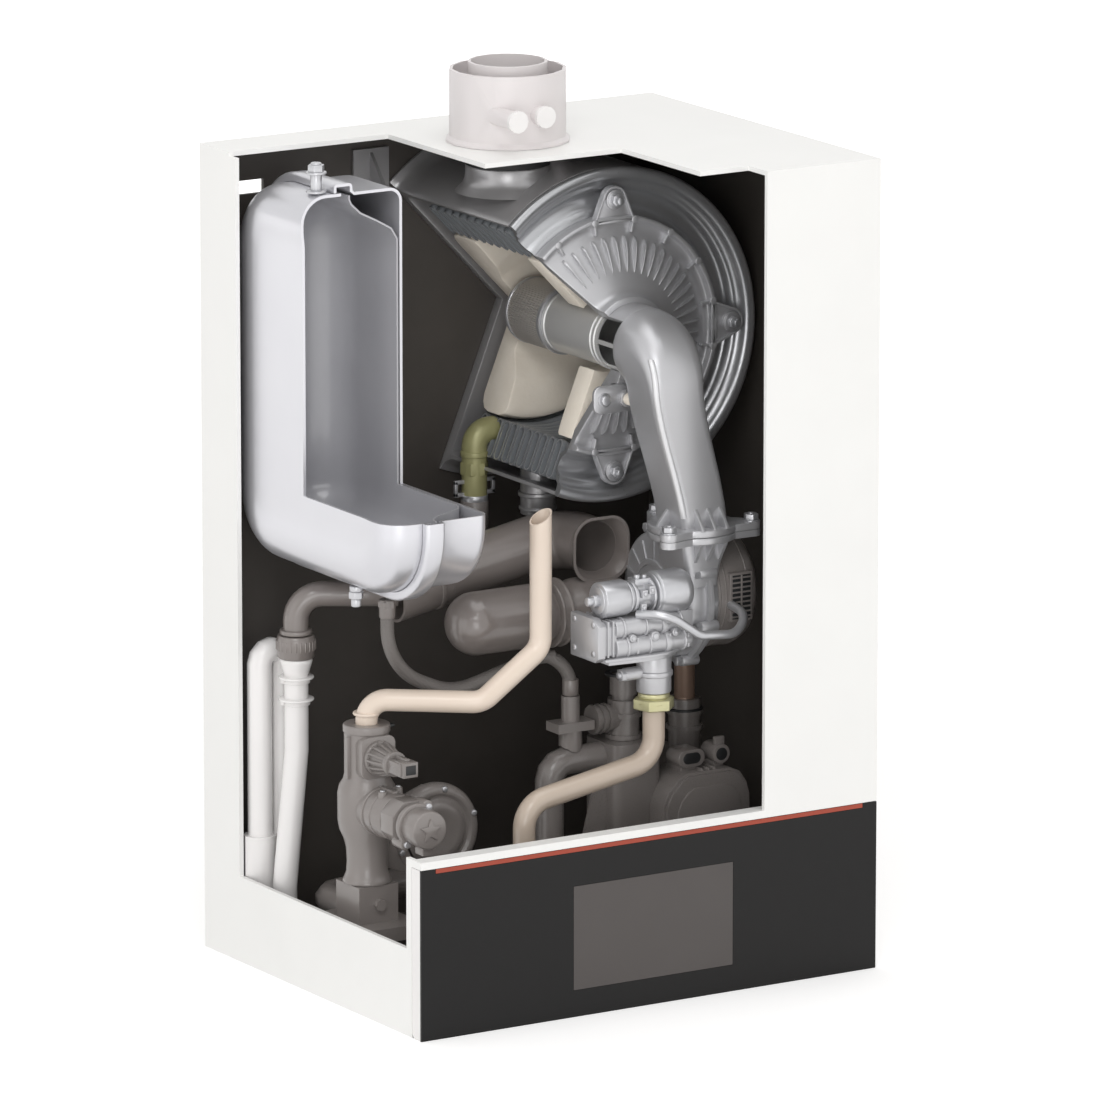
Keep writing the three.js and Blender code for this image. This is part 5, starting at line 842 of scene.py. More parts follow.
class Workshop:
    """Turns gathered faces to objects that ride on the frame's bodies."""

    def __init__(self, materials: dict[str, bpy.types.Material]) -> None:
        """Keep every finish's material by the name of its slot."""
        self.materials = materials
        self.groups: dict[int, bpy.types.NodeTree] = {}

    def smooth_group(self, degrees: int) -> bpy.types.NodeTree:
        """Give the node group that shades gentle edges smooth.

        Args:
            degrees: edges that turn less than this are smooth.

        Returns:
            The node group.
        """
        if degrees not in self.groups:
            self.groups[degrees] = smooth_tree(degrees)
        return self.groups[degrees]

    def soften(self, piece: bpy.types.Object, bevel: float, degrees: int) -> None:
        """Ease the sharp edges of a piece and shade its round faces smooth.

        Args:
            piece: the piece.
            bevel: width of the eased edge in millimetres, nought for none.
            degrees: edges that turn less than this are smooth.
        """
        if bevel:
            ease = piece.modifiers.new("eased_edges", "BEVEL")
            ease.width = bevel * MM
            ease.segments = 2
            ease.limit_method = "ANGLE"
            ease.angle_limit = math.radians(degrees)
        shade = piece.modifiers.new("smooth", "NODES")
        shade.node_group = self.smooth_group(degrees)

    def make(
        self, name: str, solid: Solid, slots: Sequence[str], replaces: Sequence[str] = (), body: str = BODY,
        bevel: float = 0.3, degrees: int = 42, cutters: Sequence[bpy.types.Object] = (),
    ) -> bpy.types.Object:
        """Make the object of a piece.

        Args:
            name: its name.
            solid: its faces.
            slots: material slots in the order that its faces number them.
            replaces: frame nodes that it stands for.
            body: frame body that it rides on.
            bevel: width of its eased edges in millimetres.
            degrees: edges that turn less than this are smooth.
            cutters: objects cut out of it.

        Returns:
            The object.
        """
        mesh = bpy.data.meshes.new(name)
        build = bmesh.new()
        points = [build.verts.new(point * MM) for point in solid.points]
        build.verts.ensure_lookup_table()
        for face, slot in zip(solid.faces, solid.slots):
            try:
                build.faces.new([points[i] for i in face]).material_index = slot
            except ValueError:
                LOG.debug("%s: a face stands twice", name)
        bmesh.ops.remove_doubles(build, verts=build.verts, dist=0.002 * MM)
        bmesh.ops.recalc_face_normals(build, faces=build.faces)
        build.to_mesh(mesh)
        build.free()
        for slot in slots:
            mesh.materials.append(self.materials[slot])
        piece = bpy.data.objects.new(name, mesh)
        bpy.context.scene.collection.objects.link(piece)
        for cutter in cutters:
            cut = piece.modifiers.new("cut", "BOOLEAN")
            cut.operation = "DIFFERENCE"
            cut.solver = "EXACT"
            cut.object = cutter
        self.soften(piece, bevel, degrees)
        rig.ride(piece, body)
        if replaces:
            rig.replaces(piece, *replaces)
        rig.slot(piece, FRAME_SLOT.get(slots[0], slots[0]))
        LOG.info("made %s: %d faces", name, len(mesh.polygons))
        return piece


@dataclass
class DrumSide:
    """A sub-assembly on the drum's axis, whose own frame has its z along the drum's depth."""

    workshop: Workshop
    centre: tuple[float, float] = (65.0, 187.0)

    def place(self, degrees: float = 0.0) -> Matrix:
        """Give the turn from this frame to the frame of the part.

        Args:
            degrees: a further turn about the drum's axis.

        Returns:
            The matrix.
        """
        x, z = self.centre
        upright = Matrix.Translation((x, 0, z)) @ Matrix.Rotation(math.pi / 2, 4, "X")
        return upright @ Matrix.Rotation(math.radians(degrees), 4, "Z")


@dataclass
class Exchanger(DrumSide):
    """Heat exchanger with a wedge taken out: drum, lamellae, insulation, plate, door and burner."""

    wedge_start: float = 134.0
    wedge_end: float = 248.0
    drum_radius: float = 143.5
    drum_wall: float = 3.0
    drum_front: float = 186.0
    coil_inner: float = 97.0
    coil_outer: float = 132.0
    coil_rear: float = 47.0
    coil_pitch: float = 12.2
    coil_turns: int = 11
    coil_thickness: float = 9.4
    coil_wall: float = 1.2
    bowl_radius: float = 95.0
    pad_radius: float = 94.0
    door_radius: float = 103.0
    door_rim: float = 197.0
    door_well: float = 191.0
    dome: float = 22.0
    collar: float = 38.0
    fin_outer: float = 84.0
    fin_count: int = 50
    lug_reach: float = 117.0
    rib_count: int = 16
    flue_socket: tuple[float, float] = (-62.0, 125.0)
    return_stub: tuple[float, float] = (-17.0, 100.0)
    steps: int = 160
    lug_angles: tuple[float, ...] = (0.0, 90.0, 270.0)

    def solid(self) -> Solid:
        """Start a piece in the exchanger's own frame."""
        return Solid(self.place())

    def turned(self, solid: Solid, profile: Profile) -> None:
        """Add a closed (radius, depth) profile turned round the drum's axis, without the wedge."""
        solid.lathe(profile, self.steps, self.wedge_end, 360 - (self.wedge_end - self.wedge_start))

    def inside_wedge(self, degrees: float, margin: float = 0.0) -> bool:
        """Say if an angle lies in the wedge taken out, made wider by a margin."""
        return self.wedge_start - margin < degrees % 360 < self.wedge_end + margin

    def build(self) -> None:
        """Build every piece."""
        self.build_drum()
        self.build_coil()
        self.build_insulation()
        self.build_plate()
        self.build_door()
        self.build_electrode()
        self.build_burner()
        self.build_sleeve()

    def build_drum(self) -> None:
        """Build the drum with its rear flare and its flue socket."""
        r, t = self.drum_radius, self.drum_wall
        profile = [
            (0, 4.3), (r + 11, 4.3), (r + 11.6, 5.6), (r + 11, 7), (r + 7, 8), (r + 4, 11), (r + 1.6, 16),
            (r + 0.4, 20), (r, 24), (r, self.drum_front), (r - t, self.drum_front), (r - t, 26),
            (r - t - 1, 19), (r - t - 5, 15.6), (r - t - 10, 15), (0, 15),
        ]
        drum = self.solid()
        self.turned(drum, profile)
        flue_x, depth = self.flue_socket
        socket = [
            (45, 120), (39, 126), (36.6, 131), (36, 136), (36, 142), (35.4, 143), (33.5, 143), (33, 142.4),
            (33, 118),
        ]
        rings = []
        for radius, height in socket:
            turns = [math.tau * i / 64 for i in range(64)]
            rings.append(
                [(flue_x + radius * math.cos(a), height, depth + radius * math.sin(a)) for a in turns]
            )
        drum.loft(rings, start=False, end=False)
        stub_x, depth = self.return_stub
        stub = [Bar(-126, -169.5, 15, 40), Bar(-150, -154, 17, 40), Bar(-163, -166, 16.2, 40)]
        drum.stack((stub_x, 0, depth), Axis.Y, stub)
        self.workshop.make("exchanger_drum", drum, ["dark_steel"], ["drum_shell"])

    def coil_section(self, depth: float, shrink: float) -> list[tuple[float, float]]:
        """Outline one lamella's hollow section.

        Args:
            depth: distance of its middle from the rear wall.
            shrink: how much smaller the outline is on every side.

        Returns:
            The outline's (radius, depth) points.
        """
        half = self.coil_thickness / 2 - shrink
        low, high = self.coil_inner + shrink, self.coil_outer - shrink
        points = []
        for centre, start in [(high - half, -90), (low + half, 90)]:
            for step in range(9):
                across, along = polar(half, start + 180 * step / 8)
                points.append((centre + across, depth + along))
        return points

    def build_coil(self) -> None:
        """Build the flat tubes of the coil, open where the wedge cuts them."""
        coil = self.solid()
        sweep = 360 - (self.wedge_end - self.wedge_start)
        count = round(self.steps * sweep / 360)
        for turn in range(self.coil_turns):
            depth = self.coil_rear + turn * self.coil_pitch
            outlines = [self.coil_section(depth, 0), self.coil_section(depth, self.coil_wall)]
            rings: list[list[tuple[float, float, float]]] = []
            for outline, order in zip(outlines, (1, -1)):
                for i in list(range(count + 1))[::order]:
                    degrees = self.wedge_end + sweep * i / count
                    rings.append([(*polar(r, degrees), h) for r, h in outline])
            first = len(coil.faces)
            coil.loft(rings, wrap=True)
            size = len(outlines[0])
            for row in (count, 2 * count + 1):
                for i in range(size):
                    coil.slots[first + row * size + i] = 1
        front = self.coil_rear + (self.coil_turns - 1) * self.coil_pitch
        for degrees in (254, 262, 128, 120):
            for radius in (self.coil_inner + 7, self.coil_outer - 7):
                coil.stack((*polar(radius, degrees), 0), Axis.Z, [Bar(self.coil_rear, front, 1.6, 10)])
        self.workshop.make(
            "exchanger_lamellae", coil, ["lamella_steel", "zinc_steel"], ["coil"], bevel=0, degrees=50
        )

    def build_insulation(self) -> None:
        """Build the rear bowl and the front ring of pressed fibre."""
        r = self.bowl_radius
        bowl = [
            (0, 34), (r - 14, 34), (r - 7, 36.5), (r - 2, 41), (r, 48), (r, 66), (r - 3, 74.5), (r - 7, 76),
            (r - 11, 75.5), (72, 74), (60, 72.8), (57, 71), (42, 60.6), (38, 58.2), (0, 57.8),
        ]
        rear = self.solid()
        self.turned(rear, bowl)
        self.workshop.make("rear_fibre_bowl", rear, ["insulation"], ["rear_insulation"], bevel=0.5)
        r = self.pad_radius
        ring = [
            (r, 163), (r, 183.7), (33, 183.7), (33, 160.8), (35, 160), (r - 20, 160), (r - 8, 160.4),
            (r - 2, 161.2),
        ]
        front = self.solid()
        self.turned(front, ring)
        self.workshop.make("front_fibre_ring", front, ["insulation"], ["front_insulation"], bevel=0.5)

    def build_plate(self) -> None:
        """Build the pressed front plate with its rolled rim, steps and studs."""
        seat, lip = 186.3, 183.7
        front = [
            (98, lip), (102, lip + 0.6), (107, lip - 0.2), (109.6, lip - 3.4), (112, lip - 5.2),
            (117, lip - 5.9), (121.5, lip - 5.6), (123.6, lip - 3.2), (125.4, lip + 0.6), (128, lip + 1.6),
            (131.6, lip + 2.6), (133.2, seat + 3.6), (135, seat + 5.6), (137.6, seat + 6.8),
            (141, seat + 7.2), (143.4, seat + 6), (144.2, seat + 3.6), (143.4, seat + 1.2), (142, seat),
        ]
        back = [
            (138, seat), (134, seat - 0.6), (130, lip - 3), (125, lip - 4.4), (122, lip - 8.2),
            (108, lip - 8.2), (105, lip - 3), (98, lip - 3),
        ]
        plate = self.solid()
        self.turned(plate, front + back)
        for degrees in self.lug_angles:
            plate.stack((*polar(self.lug_reach, degrees), 0), Axis.Z, [Bar(180.7, 207, 3.4, 16, 0.8)])
        self.workshop.make(
            "front_plate_pressing", plate, ["stainless"], ["front_plate"], bevel=0, degrees=60
        )

    def dome_height(self, radius: float) -> float:
        """Give how far the door's dome stands from the wall at a radius."""
        foot = self.fin_outer + 6
        return self.door_well + (foot - radius) * self.dome / (foot - self.collar)

    def build_door(self) -> None:
        """Build the cast burner door with its rim, ribs, fan of fins and bolted lugs."""
        r, rim, well, collar = self.door_radius, self.door_rim, self.door_well, self.collar
        top = well + self.dome
        profile = [
            (r, 184), (r, rim - 0.8), (r - 0.8, rim), (r - 3.4, rim), (r - 4.2, rim - 0.8),
            (r - 5, well + 1), (r - 6.2, well), (self.fin_outer + 7.5, well),
            (self.fin_outer + 5, well + 1.2),
        ]
        profile.extend((radius, self.dome_height(radius)) for radius in (78, 66, 54, 46, 42))
        profile += [(39.8, top + 0.6), (collar + 0.4, top + 3), (collar, top + 6), (collar, top + 9.2)]
        profile += [(collar - 0.8, top + 10), (28.4, top + 10), (27.6, top + 9), (27.6, top - 6), (86, 184)]
        door = self.solid()
        self.turned(door, profile)
        for build, count in [(self.add_fin, self.fin_count), (self.add_rib, self.rib_count)]:
            for i in range(count):
                degrees = 360 * (i + 0.5) / count
                if not self.inside_wedge(degrees, 3):
                    build(door, degrees)
        for degrees in self.lug_angles:
            self.add_lug(door, degrees)
        slots = ["cast_alloy", "zinc_steel"]
        self.workshop.make("burner_door_casting", door, slots, ["burner_door"], bevel=0.35, degrees=48)

    def add_rib(self, door: Solid, degrees: float) -> None:
        """Add one rib between the fins and the rim, with its boss.

        Args:
            door: the door.
            degrees: the rib's angle.
        """
        rim = self.door_rim
        rib = Solid(self.place(degrees))
        rib.box((self.fin_outer + 5, -1.1, self.door_well - 1), (self.door_radius - 3, 1.1, rim - 1))
        rib.stack((self.door_radius - 2.6, 0, 0), Axis.Z, [Bar(rim - 3, rim + 0.6, 3.2, 16)])
        door.join(rib)

    def add_fin(self, door: Solid, degrees: float) -> None:
        """Add one cooling fin that fades into the dome at both ends.

        Args:
            door: the door.
            degrees: the fin's angle.
        """
        fin = Solid(self.place(degrees))
        stations = [
            (55, -0.6, 0.4), (59, 1.4, 0.6), (66, 3.2, 0.9), (75, 4.6, 1.2), (81.5, 5, 1.5),
            (84.5, 2.8, 1.6), (86, -0.6, 1.2),
        ]
        rings = []
        for r, rise, half in stations:
            dome = self.dome_height(r)
            foot, top, crest = dome - 2, dome + rise, half * 0.7
            rings.append([(r, -half, foot), (r, half, foot), (r, crest, top), (r, -crest, top)])
        fin.loft(rings)
        door.join(fin)

    def add_lug(self, door: Solid, degrees: float) -> None:
        """Add one lug with its raised edge, washer, nut and stud end.

        Args:
            door: the door.
            degrees: the lug's angle.
        """
        rim, reach, foot = self.door_rim, self.lug_reach, self.door_radius
        lug = Solid(self.place(degrees))
        outline = [(foot - 6, -21), (foot - 1, -18.5)]
        for step in range(13):
            across, up = polar(11.5, -72 + 144 * step / 12)
            outline.append((reach + across, up))
        outline += [(foot - 1, 18.5), (foot - 6, 21)]
        lug.slab(outline, Axis.Z, rim - 7.5, rim - 2.2)
        inner = [(reach + (x - reach) * 0.84, y * 0.84) for x, y in outline]
        edges = [(outline, rim - 3), (outline, rim), (inner, rim), (inner, rim - 3)]
        lug.loft([[(x, y, level) for x, y in edge] for edge, level in edges], wrap=True)
        boss = [
            Bar(rim - 3, rim + 0.4, 8.6, 28), Bar(rim, rim + 1.2, 7.4, 28, 0.3, 1),
            Bar(rim + 5, rim + 8.2, 3, 16, 0.8, 1),
        ]
        lug.stack((reach, 0, 0), Axis.Z, boss)
        lug.hexagon((reach, 0, rim + 1.2), (reach, 0, rim + 5.4), 9.6, slot=1)
        door.join(lug)

    def build_electrode(self) -> None:
        """Build the ignition electrode: its rounded plate, screw, ceramic body and plug."""
        low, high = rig.box("ignition_electrode")
        x0, x1, z0, z1 = low[0] / MM, high[0] / MM, low[2] / MM, high[2] / MM
        middle_x, middle_z, plate = (x0 + x1) / 2, (z0 + z1) / 2, -225
        piece = Solid()
        rings = []
        for y, shrink in [(plate + 3.6, 0), (plate + 0.8, 0), (plate, 0.8)]:
            sizes = ((x1 - x0) / 2 - shrink, (z1 - z0) / 2 - shrink, 7)
            rings.append(rounded_ring((middle_x, y, middle_z), (1, 0, 0), (0, 0, 1), *sizes))
        piece.loft(rings)
        piece.box((middle_x - 12, plate + 3, middle_z - 5), (middle_x + 12, high[1] / MM, middle_z + 5))
        screw = [
            Bar(plate + 0.6, plate - 1, 6.4, 32, 0.3, 1), Bar(plate - 0.8, plate - 4.4, 4.6, 28, 1.2, 1)
        ]
        piece.stack((x0 + 10, 0, middle_z), Axis.Y, screw)
        pin = [Bar(plate + 0.5, plate - 5, 7.6, 36), Bar(plate - 4, plate - 15, 5.2, 32, 1, 2)]
        pin.append(Bar(plate - 14, low[1] / MM + 0.3, 2.6, 20, 0.8, 1))
        piece.stack((x1 - 15, 0, middle_z), Axis.Y, pin)
        slots = ["cast_alloy", "zinc_steel", "insulation"]
        self.workshop.make(
            "electrode_assembly", piece, slots, ["ignition_electrode"], bevel=0.3, degrees=45
        )

    def build_burner(self) -> None:
        """Build the knitted burner with its end disc, collar and pin."""
        burner = self.solid()
        flutes, rings = 90, []
        for outer, depth in [(28.6, 66.5), (28.6, 120.8), (27, 120.8), (27, 66.5)]:
            ring = []
            for i in range(4 * flutes):
                radius = outer - (0.7 if i % 4 in (0, 3) and outer > 28 else 0)
                ring.append((*polar(radius, 360 * i / (4 * flutes)), depth))
            rings.append(ring)
        burner.loft(rings, wrap=True)
        end = [(0, 64.6), (26.6, 64.6), (28, 65), (29, 66), (29, 68.6), (28.4, 69.2), (27, 69.2), (0, 69.2)]
        collar = [(28, 117), (29.4, 117.4), (29.8, 119), (29.4, 121), (27, 121), (27, 117)]
        for profile in (end, collar):
            burner.lathe(profile, 96, slot=1)
        burner.stack((0, 0, 0), Axis.Z, [Bar(59, 66, 2.4, 20, 0.5, 1), Bar(59.2, 62.4, 4.4, 24, 1.2, 1)])
        slots = ["burner_knit", "zinc_steel"]
        self.workshop.make("burner_knit", burner, slots, ["burner_mesh"], bevel=0, degrees=30)

    def build_sleeve(self) -> None:
        """Build the mixing sleeve with its two windows, beads and inner cone."""
        sleeve = self.solid()
        sleeve.lathe([(27, 121.3), (27, 211), (25.2, 211), (25.2, 121.3)], 96)
        sleeve.lathe([(27, 241.5), (27, 252.4), (26.4, 253), (25.2, 253), (25.2, 241.5)], 96)
        for start, sweep in [(231, 253), (174, 8)]:
            sleeve.lathe([(27, 210.9), (27, 241.6), (25.2, 241.6), (25.2, 210.9)], 96, start, sweep)
        for depth in (126, 200, 206):
            bead = [(26.8, depth - 1.2), (28, depth - 0.4), (28, depth + 0.4), (26.8, depth + 1.2)]
            sleeve.lathe(bead, 96)
        sleeve.lathe([(8, 121.4), (25.6, 121.4), (25.6, 122.6), (12, 126), (8, 126)], 72)
        self.workshop.make("mixing_sleeve", sleeve, ["mixer_steel"], ["mixing_tube"], bevel=0, degrees=50)


@dataclass
class ExpansionVessel:
    """Flat expansion vessel with its front corner cut away: two half shells and a membrane."""

    workshop: Workshop
    foot: tuple[float, float, float] = (-214.0, 0.0, 4.0)
    centre_y: float = -161.0
    centre_z: float = 161.0
    half_depth: float = 131.0
    half_height: float = 161.0
    corner: float = 58.0
    width: float = 98.0
    left_edge: float = 24.0
    right_edge: float = 12.0
    wall: float = 2.5
    seam_start: float = 32.0
    seam_end: float = 50.0
    seam_rise: float = 8.0
    cut_y: float = -150.0
    cut_z: float = 68.0
    bolt: tuple[float, float] = (-192.0, -138.0)
    charging_valve: tuple[float, float] = (-194.0, -204.0)
    steps: int = 14

    def ring(self, x: float, inset: float) -> list[Vector]:
        """Outline the vessel at a distance from its left face.

        Args:
            x: the distance.
            inset: how much smaller the outline is on every side.

        Returns:
            The points in order.
        """
        centre = (x, self.centre_y, self.centre_z)
        sizes = [size - inset for size in (self.half_depth, self.half_height, self.corner)]
        return rounded_ring(centre, (0, 1, 0), (0, 0, 1), *sizes, self.steps)

    def bowl(self, stations: Profile, wall: float) -> Solid:
        """Build one half shell from the (x, inset) stations of its outer face.

        Args:
            stations: from the open side round to the middle of the closed face.
            wall: thickness of the sheet.

        Returns:
            The half shell.
        """
        shell = Solid(Matrix.Translation(self.foot))
        outer = [self.ring(x, inset) for x, inset in stations]
        inner = []
        for i, (x, inset) in enumerate(stations):
            before = Vector(stations[max(i - 1, 0)])
            after = Vector(stations[min(i + 1, len(stations) - 1)])
            along = (after - before).normalized()
            normal = Vector((-along.y, along.x))
            if self.facing_left(stations):
                normal = -normal
            inner.append(self.ring(x + wall * normal.x, inset + wall * normal.y))
        shell.loft(outer, start=False)
        shell.loft(inner[::-1], slot=1, end=False)
        shell.loft([inner[0], outer[0]], start=False, end=False)
        return shell

    def facing_left(self, stations: Profile) -> bool:
        """Say if a half shell's stations close it towards the left."""
        return stations[-1][0] < stations[0][0]

    def edge_stations(self, x: float, radius: float, towards: int) -> list[tuple[float, float]]:
        """Round the rim where the side turns to the face.

        Args:
            x: where the face lies.
            radius: radius of the rounded rim.
            towards: 1 when the face looks right, -1 when it looks left.

        Returns:
            The stations from the side to the face.
        """
        turns = 9
        points = []
        for i in range(turns):
            across, up = polar(radius, 90 * i / (turns - 1))
            points.append((x - towards * (radius - up), radius - across))
        return points

    def knife(self) -> bpy.types.Object:
        """Make the hidden block that cuts the front corner away.

        Returns:
            The block, kept out of the render.
        """
        block = Solid(Matrix.Translation(self.foot))
        block.box((-40, self.centre_y - 200, self.cut_z), (200, self.cut_y, self.centre_z + 260))
        knife = self.workshop.make("vessel_knife", block, ["vessel_paint"], bevel=0)
        knife.hide_render = True
        knife.hide_viewport = True
        return knife

    def build(self) -> None:
        """Build every piece."""
        knife = self.knife()
        self.build_left(knife)
        self.build_right(knife)
        self.build_membrane(knife)
        self.build_plug()

    def build_left(self, knife: bpy.types.Object) -> None:
        """Build the left half shell with its pressed pad and round edges.

        Args:
            knife: the block that cuts the front corner away.
        """
        stations = [(self.seam_start + 7, 0), (30, 0)] + self.edge_stations(0, self.left_edge, -1)
        stations += [(0, 29), (0.2, 33), (0.8, 38), (1.2, 44), (1.2, 56), (1.2, 80)]
        shell = self.bowl(stations, self.wall)
        slots = ["vessel_paint", "vessel_inner"]
        self.workshop.make(
            "vessel_left_half", shell, slots, ["vessel_left_shell"], bevel=0, degrees=50, cutters=[knife]
        )

    def build_right(self, knife: bpy.types.Object) -> None:
        """Build the right half shell with the rolled seam that grips the membrane.

        Args:
            knife: the block that cuts the front corner away.
        """
        rise, start, end = self.seam_rise, self.seam_start, self.seam_end
        seam = [
            (start, -0.6), (start, -rise + 3), (start + 0.8, -rise + 1), (start + 3, -rise),
            (end - 3, -rise), (end - 0.9, -rise + 0.9), (end, -rise + 3), (end, -1.6), (end + 1.6, 0),
        ]
        face = [(self.width, 30), (self.width, 80)]
        stations = seam + self.edge_stations(self.width, self.right_edge, 1) + face
        shell = self.bowl(stations, self.wall)
        slots = ["vessel_paint", "vessel_inner"]
        self.workshop.make(
            "vessel_right_half", shell, slots, ["vessel_right_shell"], bevel=0, degrees=50, cutters=[knife]
        )

    def build_membrane(self, knife: bpy.types.Object) -> None:
        """Build the rubber membrane that hangs in a soft wave between the shells.

        Args:
            knife: the block that cuts the front corner away.
        """
        wave = [
            (47.6, 2.6), (47.6, 6), (49.4, 10), (58, 18), (74, 26), (88, 34), (94, 44), (94, 58), (94, 80)
        ]
        membrane = self.bowl(wave, 1.6)
        slots = ["grey_rubber", "grey_rubber"]
        self.workshop.make(
            "vessel_rubber", membrane, slots, ["vessel_membrane"], bevel=0, degrees=60, cutters=[knife]
        )

    def build_plug(self) -> None:
        """Build the flanged bolt on the top and the charging valve on the foot."""
        x, y = self.bolt
        bolt = Solid()
        shank = [Bar(326.4, 328.4, 8.6, 40, 0.6), Bar(327, 343, 4.8, 36), Bar(342.4, 344.4, 8.8, 40, 0.7)]
        bolt.stack((x, y, 0), Axis.Z, shank + [Bar(350, 352, 4.6, 32, 0.9)])
        bolt.hexagon((x, y, 344), (x, y, 350.4), 12.4)
        self.workshop.make("vessel_top_plug", bolt, ["zinc_steel"], ["vessel_plug"], bevel=0.2)
        x, y = self.charging_valve
        valve = Solid()
        valve.stack((x, y, 0), Axis.Z, [Bar(3.6, -1, 5.6, 32), Bar(-7.4, -14.2, 4.3, 28, 1)])
        valve.hexagon((x, y, -1), (x, y, -7.4), 11)
        self.workshop.make("vessel_charging_valve", valve, ["zinc_steel"], ["charging_valve"], bevel=0.2)


@dataclass
class FanGroup(DrumSide):
    """Inlet elbow, fan housing, motor and gas valve: the castings at the room side."""

    fan: tuple[float, float, float] = (92.0, -240.0, -28.0)
    sleeve: float = 33.0
    bend: float = 30.0
    neck: float = 26.0
    half_x: float = 22.5
    half_y: float = 24.0
    foot_x: float = 30.0
    foot_z: float = -150.0
    foot_depth: float = 272.0
    sleeve_depth: float = 246.0
    flange: float = 38.0
    lug_reach: float = 50.0
    lug_angles: tuple[float, ...] = (-25.0, 95.0, 215.0)
    spiral_radius: float = 48.0
    spiral_growth: float = 10.0
    half_thickness: float = 16.0
    bolt_angles: tuple[float, ...] = (25.0, 70.0, 115.0, 160.0, 205.0)
    motor_radius: float = 51.6
    motor_length: float = 45.0
    neck_place: tuple[float, float] = (3.0, -32.0)
    neck_top: float = 52.8
    outlet: tuple[float, float] = (42.0, -296.0)
    magnet: tuple[float, float] = (-300.0, -12.0)

    def build(self) -> None:
        """Build every piece."""
        self.build_elbow()
        self.build_volute()
        self.build_motor()
        self.build_valve()
        self.build_coil()

    def elbow_rings(self) -> list[list[Vector]]:
        """Lay the rings of the elbow from its round sleeve to its nearly square foot.

        Returns:
            The rings.
        """
        rings = []
        turns = 14
        for i in range(turns + 1):
            share = i / turns
            angle = share * math.pi / 2
            up = Vector((0, math.cos(angle), math.sin(angle)))
            centre = Vector((0, -self.bend, self.sleeve_depth)) + self.bend * up
            half = self.sleeve + (self.neck - self.sleeve) * share
            edge = half + (10 - half) * share
            rings.append(rounded_ring(centre, (1, 0, 0), up, half, half, edge, 9))
        start = Vector((0, -self.bend, self.sleeve_depth + self.bend))
        end = Vector((self.foot_x, self.foot_z, self.foot_depth))
        spans = 12
        for i in range(1, spans + 1):
            share = i / spans
            ease = share * share * (3 - 2 * share) * 0.5 + share * 0.5
            centre = start.lerp(end, ease)
            centre.y = start.y + (end.y - start.y) * share
            half_x = self.neck + (self.half_x - self.neck) * share
            half_y = self.neck + (self.half_y - self.neck) * share
            rings.append(rounded_ring(centre, (1, 0, 0), (0, 0, 1), half_x, half_y, 10 - 3.5 * share, 9))
        return rings

    def elbow_seat(self, x: float, y: float, height: float) -> Point:
        """Turn a place on the elbow's flange to the elbow's frame."""
        return (self.foot_x + x, self.foot_z + height, self.foot_depth + y)

    def neck_seat(self, x: float, y: float, height: float) -> Point:
        """Turn a place on the neck's flange to the fan's frame."""
        return (self.neck_place[0] + x, self.neck_place[1] - y, height)

    def build_elbow(self) -> None:
        """Build the cast inlet elbow, open at its left where the wedge is taken out."""
        elbow, seat = Solid(self.place()), self.elbow_seat
        rings = self.elbow_rings()
        elbow.loft(rings, start=False)
        inner = []
        for ring in rings[:9]:
            middle = sum((Vector(p) for p in ring), Vector()) / len(ring)
            inner.append([middle + (Vector(p) - middle) * 0.86 for p in ring])
        elbow.loft(inner[::-1], end=False)
        elbow.loft([inner[0], rings[0]], start=False, end=False)
        elbow.lathe([(self.sleeve, 223.4), (self.sleeve, 247), (28.4, 247), (28.4, 223.4)], 96, 248, 246)
        self.add_spine(elbow, rings)
        elbow.rod(seat(0, 0, -6), seat(0, 0, 0.2), self.flange, 72, edge=1)
        for degrees in self.lug_angles:
            x, y = polar(self.lug_reach, -degrees)
            self.add_ear(elbow, seat, degrees, -6, 0)
            elbow.rod(seat(x, y, 0), seat(x, y, 1.2), 7, 28, slot=1, edge=0.3)
            elbow.hexagon(seat(x, y, 1.2), seat(x, y, 6.4), 11, slot=1)
            elbow.rod(seat(x, y, 6), seat(x, y, 7.2), 2.6, 16, slot=1, edge=0.6)
        front = self.half_y
        for x, y, turn in [(0, front, 90), (-self.half_x, 0, 180), (12, front, 90), (-12, front, 90)]:
            self.add_gusset(elbow, seat, x, y, turn)
        slots = ["cast_alloy", "zinc_steel", "bright_edge"]
        self.workshop.make("inlet_casting", elbow, slots, ["inlet_elbow"], bevel=0.5, degrees=48)

    def add_spine(self, elbow: Solid, rings: list[list[Vector]]) -> None:
        """Add the cast rib along the left front corner of the downpipe.

        Args:
            elbow: the elbow.
            rings: its rings.
        """
        section = [(-4, -3), (-4, 3), (2, 2.6), (3.4, 1), (3.4, -1), (2, -2.6)]
        spine = []
        for ring in rings[9:-1]:
            middle = sum((Vector(p) for p in ring), Vector()) / len(ring)
            nose = Vector(ring[13])
            out = (nose - middle).normalized()
            across = out.cross(Vector((0, 1, 0))).normalized()
            spine.append([nose + out * rise + across * side for rise, side in section])
        # The rib takes the lighter finish: a painted highlight along the crease.
        elbow.loft(spine, slot=2)

    def add_ear(self, part: Solid, seat: Seat, degrees: float, low: float, high: float) -> None:
        """Add one bolted ear of a flange.

        Args:
            part: the piece that it is added to.
            seat: turns (x, y, height) of the flange to this piece's frame.
            degrees: the ear's angle.
            low: height of its lower face.
            high: height of its upper face.
        """
        root_x, root_y = polar(0.93 * self.flange, 28)
        outline = [(root_x, -root_y)]
        for step in range(11):
            across, up = polar(8, -80 + 16 * step)
            outline.append((self.lug_reach + across, up))
        outline.append((root_x, root_y))
        across, up = polar(1, degrees)
        turned = [(u * across - v * up, -(u * up + v * across)) for u, v in outline]
        part.loft([[seat(x, y, height) for x, y in turned] for height in (low, high)])

